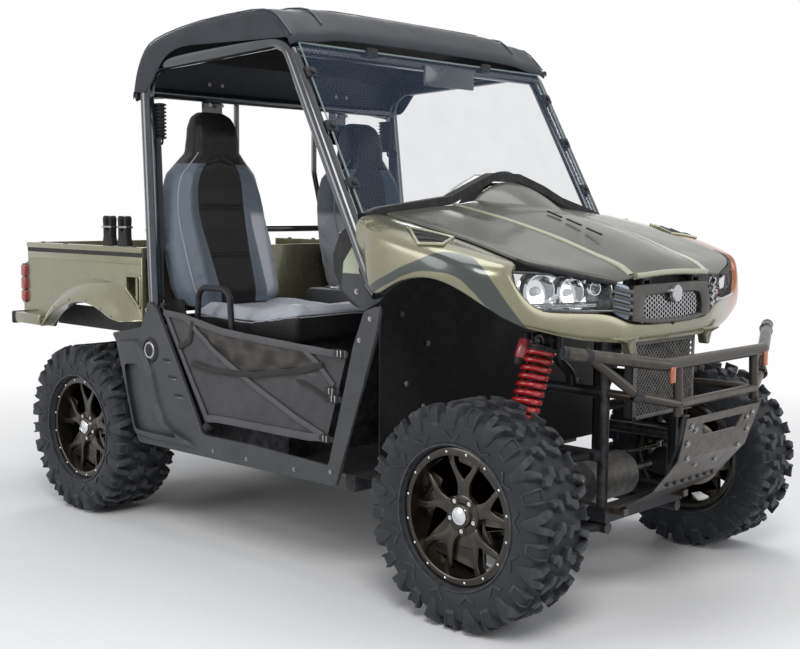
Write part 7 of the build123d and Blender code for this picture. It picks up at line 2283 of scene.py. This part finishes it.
@dataclass
class Cabin:
    """Windscreen, mirror, belts, dashboard, steering wheel and console.

    Attributes:
        vehicle: the vehicle.
        pillar: two points of the A pillar's middle line, as x and z.
        cowl: y and z along the windscreen's lower edge.
        wheel: middle of the steering wheel, its radius and its tilt in degrees.
    """

    vehicle: Vehicle
    pillar: tuple = ((602, 965), (190, 1722))
    cowl: tuple = ((-622, 1172), (-560, 1186), (-225, 1224), (-115, 1266), (-10, 1303), (130, 1303), (270, 1266),
                   (385, 1224), (560, 1186), (622, 1172))
    wheel: tuple = ((175, 390, 1190), 168.0, 35.0)

    def glass_x(self, z: float) -> float:
        """X of the windscreen at a height."""
        (x0, z0), (x1, z1) = self.pillar
        return x0 + (x1 - x0) * (z - z0) / (z1 - z0) + 34

    def build(self) -> None:
        """Builds everything in the cabin."""
        self.build_screen()
        self.build_belts()
        self.build_dash()
        self.build_wheel()
        self.build_console()

    def build_screen(self) -> None:
        """Bright edge, clamps and mirror of the windscreen."""
        edge, clamps, mirror = new_shape(), new_shape(), new_shape()
        loop = [(self.glass_x(z), y, z) for y, z in self.cowl]
        loop += [(self.glass_x(1709), 622, 1709), (self.glass_x(1709), -622, 1709)]
        add_tube(edge, loop, 3.6, segments=8, closed=True)
        for sign in (1, -1):
            for z in (1262, 1440, 1612):
                x = self.glass_x(z)
                turn = Matrix.Rotation(math.radians(-28.5), 4, "Y")
                add_box(clamps, (x - 8, sign * 616 - 22, z - 20), (x + 6, sign * 616 + 22, z + 20), bevel=5,
                        turn=turn)
                add_rod(clamps, (x + 5, sign * 616, z), (x + 12, sign * 616, z + 6), 9, segments=16, bevel=2)
        for y in (-300, 300):
            x = self.glass_x(1700)
            add_box(clamps, (x - 6, y - 26, 1690), (x + 6, y + 26, 1722), bevel=4)
        add_box(mirror, (225, -32, 1620), (236, 237, 1692), bevel=5, segments=3)
        add_rod(mirror, (222, 102, 1690), (205, 102, 1712), 9, segments=16, bevel=2)
        self.vehicle.piece("screen_edge", edge, EDGE_GLASS, "pane")
        self.vehicle.piece("screen_clamps", clamps, BLACK, "black_plastic")
        self.vehicle.piece("mirror_case", mirror, GREEN_BLACK, "gloss_black", replaces=["mirror"])
        face = new_shape()
        add_box(face, (221.5, -24, 1627), (225.5, 229, 1686), bevel=1.5)
        self.vehicle.piece("mirror_face", face, CHROME, "lens")

    def build_belts(self) -> None:
        """Webbing, its covers, and the ribbed sleeves on the B pillars."""
        web, sleeve, ends, plates = (new_shape() for _ in range(4))
        for sign in (1, -1):
            rows = []
            for step in range(25):
                t = step / 24
                z, sway = 1434 - 628 * t, math.sin(math.pi * t)
                rows.append([(-551 + u * 23 + 6 * sway, sign * (617 - 2 * sway - 1.2 * u * sway), z) for u in
                             (-1, -0.86, 0, 0.86, 1)])
            add_skin(web, rows)
            for index in range(10):
                z = 1433 + 13.2 * index
                add_box(sleeve, (-604, sign * 599 - 18, z), (-542, sign * 599 + 18, z + 8.4), bevel=3.5)
            add_box(sleeve, (-600, sign * 599 - 13, 1430), (-546, sign * 599 + 13, 1562), bevel=4)
            hoop = [(x, sign * y, z) for x, y, z in ((-578, 613, 1432), (-578, 614, 1412), (-524, 614, 1412),
                                                    (-524, 613, 1432))]
            add_tube(sleeve, rounded_path(hoop, 10, 4), 4.0, segments=8)
            add_box(ends, (-576, sign * 618 - 9, 788), (-526, sign * 618 + 9, 846), bevel=7, segments=3)
            for y0, z0 in ((300, 1668), (360, 1668), (330, 1630), (300, 1592), (360, 1592)):
                add_bolt(plates, (-575, sign * y0, z0 - 20), (1, 0, 0), 5, 3)
        self.vehicle.piece("belt_webbing", web, WEBBING, "webbing", replaces=["seat_belts"], smooth=180,
                           normals=False, wall=1.3)
        self.vehicle.piece("belt_sleeves", sleeve, SEAL, "seal_rubber")
        self.vehicle.piece("belt_ends", ends, SEAT_PALE, "grey_plastic")
        self.vehicle.piece("plate_bolts", plates, BOLT, "bare_steel")

    def build_dash(self) -> None:
        """Dial, vents, switches, bin and trim on the dashboard, and bolts on the firewall."""
        black, trim, bolts, face = (new_shape() for _ in range(4))
        add_lathe(trim, [(0, 52), (-10, 54), (-13, 50), (-8, 46), (0, 46)], (404, 74, 1184), (1, 0, 0.3), 40)
        add_lathe(face, [(-3, 0), (-3, 46), (0, 46.5)], (404, 74, 1184), (1, 0, 0.3), 40)
        for index in range(9):
            angle = math.radians(-30 + 30 * index)
            a = Vector((400 - 3, 74 + 38 * math.cos(angle), 1184 + 36 * math.sin(angle)))
            add_rod(trim, a, a + Vector((0, 5 * math.cos(angle), 5 * math.sin(angle))), 1.2, segments=6)
        add_box(black, (366, -520, 990), (388, -190, 1096), bevel=10, segments=3)
        add_box(trim, (362, -500, 1038), (368, -210, 1046), bevel=2)
        for y in (-150, -110, -70, -30):
            add_box(black, (366, y - 14, 1010), (376, y + 14, 1046), bevel=3)
            add_box(trim, (363, y - 8, 1022), (368, y + 8, 1034), bevel=1.5)
        for y in (-560, 230, 550):
            add_lathe(black, [(0, 30), (-10, 31), (-12, 27), (-4, 24), (-4, 0)], (392, y, 1088), (1, 0, 0.5), 28)
        for y, z in ((-560, 1000), (-520, 860), (-500, 640), (-560, 480), (-420, 560), (-400, 760)):
            for sign in (1, -1):
                add_bolt(bolts, (596, sign * y, z), (1, 0, 0), 6, 3)
        self.vehicle.piece("dash_parts", black, GLOSS, "gloss_black")
        self.vehicle.piece("dash_trim", trim, TRIM, "bare_steel")
        self.vehicle.piece("dial_face", face, DIAL, "black_plastic")
        self.vehicle.piece("firewall_bolts", bolts, BOLT, "bare_steel")

    def build_wheel(self) -> None:
        """Padded steering wheel with three spokes."""
        centre, radius, tilt = self.wheel
        lean = math.radians(tilt)
        axis = Vector((math.cos(lean), 0, -math.sin(lean)))
        up = Vector((math.sin(lean), 0, math.cos(lean)))
        across = Vector((0, 1, 0))
        middle = Vector(centre)
        rim, spokes = new_shape(), new_shape()
        ring = [(13 * math.sin(math.tau * i / 14), radius - 14 + 13 * math.cos(math.tau * i / 14)) for i in range(14)]
        add_lathe(rim, ring, middle, axis, 72, True)
        for angle in (205, 335, 270):
            way = across * math.cos(math.radians(angle)) + up * math.sin(math.radians(angle))
            add_tube(spokes, [middle + axis * 14, middle + way * 60 + axis * 12, middle + way * (radius - 22)], 12,
                     segments=12, squash=0.5)
        add_lathe(rim, [(26, 0), (26, 40), (14, 54), (-4, 52), (-12, 40), (-14, 0)], middle, axis, 36)
        self.vehicle.piece("wheel_grip", rim, SEAT_BLACK, "black_plastic", "steering_wheel",
                           replaces=["steering_wheel"])
        self.vehicle.piece("wheel_spokes", spokes, FRAME_BLACK, "black_plastic", "steering_wheel")

    def build_console(self) -> None:
        """Console with cup wells, a bin and the gear lever."""
        body, trim, knob = new_shape(), new_shape(), new_shape()
        add_plate(body, [(-328, 737), (118, 737), (118, 820), (80, 866), (-40, 878), (-300, 878), (-328, 856)],
                  Plane.SIDE, -104, 104, bevel=9, segments=3)
        for x in (-250, -150):
            add_lathe(trim, [(0, 44), (5, 43), (5, 38), (-4, 38)], (x, 0, 878), (0, 0, 1), 32)
            add_lathe(knob, [(1, 0), (1, 38)], (x, 0, 878), (0, 0, 1), 32)
        add_box(trim, (-60, -70, 868), (60, 70, 876), bevel=3, turn=Matrix.Rotation(math.radians(5), 4, "Y"))
        add_lathe(knob, [(0, 42), (14, 34), (18, 36), (30, 24), (34, 26), (48, 12)], (20, 0, 872), (0.3, 0, 1), 28)
        add_rod(trim, (30, 0, 900), (58, 0, 990), 7, segments=16)
        add_ball(knob, (62, 0, 1004), 23, (0.9, 0.9, 1.1))
        self.vehicle.piece("console_body", body, GREY, "black_plastic", replaces=["console"])
        self.vehicle.piece("console_trim", trim, TRIM, "bare_steel")
        self.vehicle.piece("console_wells", knob, GLOSS, "gloss_black")


# ------------------------------------------------------------------------------------------ cargo bed
@dataclass
class CargoBed:
    """Ribs, flares, lamps, tailgate fittings and the tool clamps of the cargo bed.

    Attributes:
        vehicle: the vehicle.
        outer: line where a flare leaves the bed's side, as x and z.
        inner: lip of the flare's arch.
        clamps: x of the tool clamps.
    """

    vehicle: Vehicle
    outer: tuple = ((-1226, 704), (-1196, 752), (-1150, 812), (-1096, 852), (-1034, 882), (-960, 900), (-888, 908),
                    (-815, 906), (-746, 898), (-692, 878), (-640, 848), (-600, 806), (-568, 764))
    inner: tuple = ((-1184, 704), (-1160, 722), (-1124, 752), (-1080, 776), (-1026, 796), (-970, 812), (-906, 819),
                    (-850, 817), (-796, 806), (-750, 790), (-715, 775), (-680, 766), (-640, 762))
    clamps: tuple = (-800.0, -700.0)

    def build(self) -> None:
        """Builds the bed's fittings."""
        bm = new_shape()
        rows = []
        for (x0, z0), (x1, z1) in zip(self.outer, self.inner):
            def spot(share: float, y: float) -> tuple[float, float, float]:
                """Point across the flare."""
                return x0 + (x1 - x0) * share, y, z0 + (z1 - z0) * share
            rows.append([spot(-0.04, 678), spot(0, 682), spot(0.12, 700), spot(0.34, 722), spot(0.60, 737),
                         spot(0.86, 744), spot(0.97, 743), spot(1.0, 737), spot(1.0, 712), spot(0.98, 684)])
        add_sheet(bm, rows)
        face_out(bm, (-900, 0, 700))
        self.vehicle.piece("rear_flares", bm, OLIVE, "olive_body", "cargo_bed", replaces=["rear_fenders"],
                           normals=False, wall=3.0, subdivide=2)
        ribs, dark, bolts, steps = (new_shape() for _ in range(4))
        for sign in (1, -1):
            add_box(ribs, (-1388, sign * 680 - 5, 1014), (-566, sign * 680 + 5, 1036), bevel=4, segments=3)
            add_box(ribs, (-1382, sign * 680 - 4, 972), (-566, sign * 680 + 4, 1000), bevel=3.5, segments=3)
            add_box(dark, (-1384, sign * 680 - 2, 1000), (-566, sign * 680 + 2, 1014))
            add_box(ribs, (-570, sign * 680 - 4, 768), (-563, sign * 680 + 4, 1000), bevel=2.5)
            add_box(steps, (-1412, sign * 676, 706), (-1212, sign * 736, 750), bevel=8, segments=3)
            add_box(dark, (-1425, sign * 672, 702), (-1404, sign * 740, 752), bevel=6)
            for x, z in self.inner[1:-1:2]:
                add_bolt(bolts, (x - 2, sign * 742, z + 12), (0, sign, 0), 4.5, 2.5)
            add_plate(dark, [(-1300, 702), (-1296, 786), (-640, 786), (-640, 702)], Plane.SIDE, sign * 590,
                      sign * 596)
            for x in (-1290, -1120, -640):
                add_rod(dark, (x, sign * 664, 1034), (x, sign * 664, 1040), 9, segments=16, bevel=2)
            loop = [(x, sign * 681, z) for x, z in ((-668, 928), (-578, 930), (-578, 806), (-670, 880))]
            add_tube(ribs, rounded_path(loop + loop[:1], 12, 3)[:-1], 5, segments=10, closed=True)
        for index in range(11):
            y = -330 + 66 * index
            add_box(ribs, (-1380, y - 12, 794), (-640, y + 12, 800), bevel=2.5)
        self.vehicle.piece("bed_ribs", ribs, OLIVE, "olive_body", "cargo_bed")
        self.vehicle.piece("bed_steps", steps, OLIVE, "olive_body", "cargo_bed")
        self.vehicle.piece("bed_dark_parts", dark, BLACK, "black_plastic", "cargo_bed")
        self.vehicle.piece("flare_bolts", bolts, BOLT, "bare_steel", "cargo_bed")
        self.build_lamps()
        self.build_tailgate()
        self.build_clamps()

    def build_lamps(self) -> None:
        """Tail lamps that wrap round the bed's rear corners."""
        lens, case = new_shape(), new_shape()
        for sign in (1, -1):
            add_box(case, (-1423, sign * 640, 786), (-1396, sign * 690, 948), bevel=4)
            for z0, z1 in ((792, 836), (840, 890), (894, 942)):
                add_box(lens, (-1425, sign * 646, z0), (-1394, sign * 694, z1), bevel=5, segments=3)
        self.vehicle.piece("tail_lamp_lenses", lens, RED_LENS, "red_lens", "cargo_bed", replaces=["tail_lamps"])
        self.vehicle.piece("tail_lamp_cases", case, GLOSS, "gloss_black", "cargo_bed")

    def build_tailgate(self) -> None:
        """Pressed frame, handle and hinge pins of the tailgate."""
        ribs, dark = new_shape(), new_shape()
        for low, high in (((-1424, -600, 1010), (-1418, 600, 1032)), ((-1424, -600, 812), (-1418, 600, 834)),
                          ((-1424, -600, 830), (-1418, -578, 1014)), ((-1424, 578, 830), (-1418, 600, 1014)),
                          ((-1423, -540, 872), (-1418, 540, 888)), ((-1423, -540, 906), (-1418, 540, 922))):
            add_box(ribs, low, high, bevel=2.4)
        add_box(dark, (-1425, -110, 950), (-1416, 110, 996), bevel=5, segments=3)
        add_box(dark, (-1425, -90, 962), (-1421, 90, 984), bevel=2)
        for y in (-520, 520):
            add_rod(dark, (-1404, y - 24, 815), (-1404, y + 24, 815), 11, segments=20, bevel=2)
        self.vehicle.piece("tailgate_pressings", ribs, OLIVE, "olive_body", "tailgate")
        self.vehicle.piece("tailgate_handle", dark, BLACK, "black_plastic", "tailgate")

    def build_clamps(self) -> None:
        """Rubber tool clamps on the right rail."""
        rubber, metal = new_shape(), new_shape()
        for x in self.clamps:
            half = [(34, 1036), (30, 1060), (27, 1070), (27, 1110), (30, 1140), (22, 1151), (12, 1140), (11, 1100)]
            outline = [(x - 34, 1036), *((x + off, z) for off, z in half), (x, 1088),
                       *((x - off, z) for off, z in half[:0:-1])]
            add_plate(rubber, outline, Plane.SIDE, -677, -651, bevel=3)
            add_box(metal, (x - 31, -680, 1104), (x + 31, -648, 1112), bevel=2)
            add_bolt(metal, (x - 22, -664, 1040), (0, 0, 1), 5, 3)
        self.vehicle.piece("tool_clamp_rubbers", rubber, SEAL, "seal_rubber", "cargo_bed", replaces=["tool_clamps"])
        self.vehicle.piece("tool_clamp_bands", metal, BOLT, "bare_steel", "cargo_bed")


SUBASSEMBLIES: tuple = (Wheels, FrontBody, Lamps, Grille, Guard, Suspension, SidePanels, Doors, Seats, Roof, Cabin,
                        CargoBed)


# ------------------------------------------------------------------------------------------------ main
def main() -> None:
    """Builds the stage, dresses the nodes and builds every sub-assembly in order."""
    logging.basicConfig(level=logging.INFO, format="%(message)s")
    shop = PaintShop()
    Camera().build()
    Studio().build()
    vehicle = Vehicle(shop)
    Dressing(vehicle).build()
    for part in SUBASSEMBLIES:
        LOG.info("sub-assembly %s", part.__name__)
        part(vehicle).build()


if __name__ == "__main__":
    main()
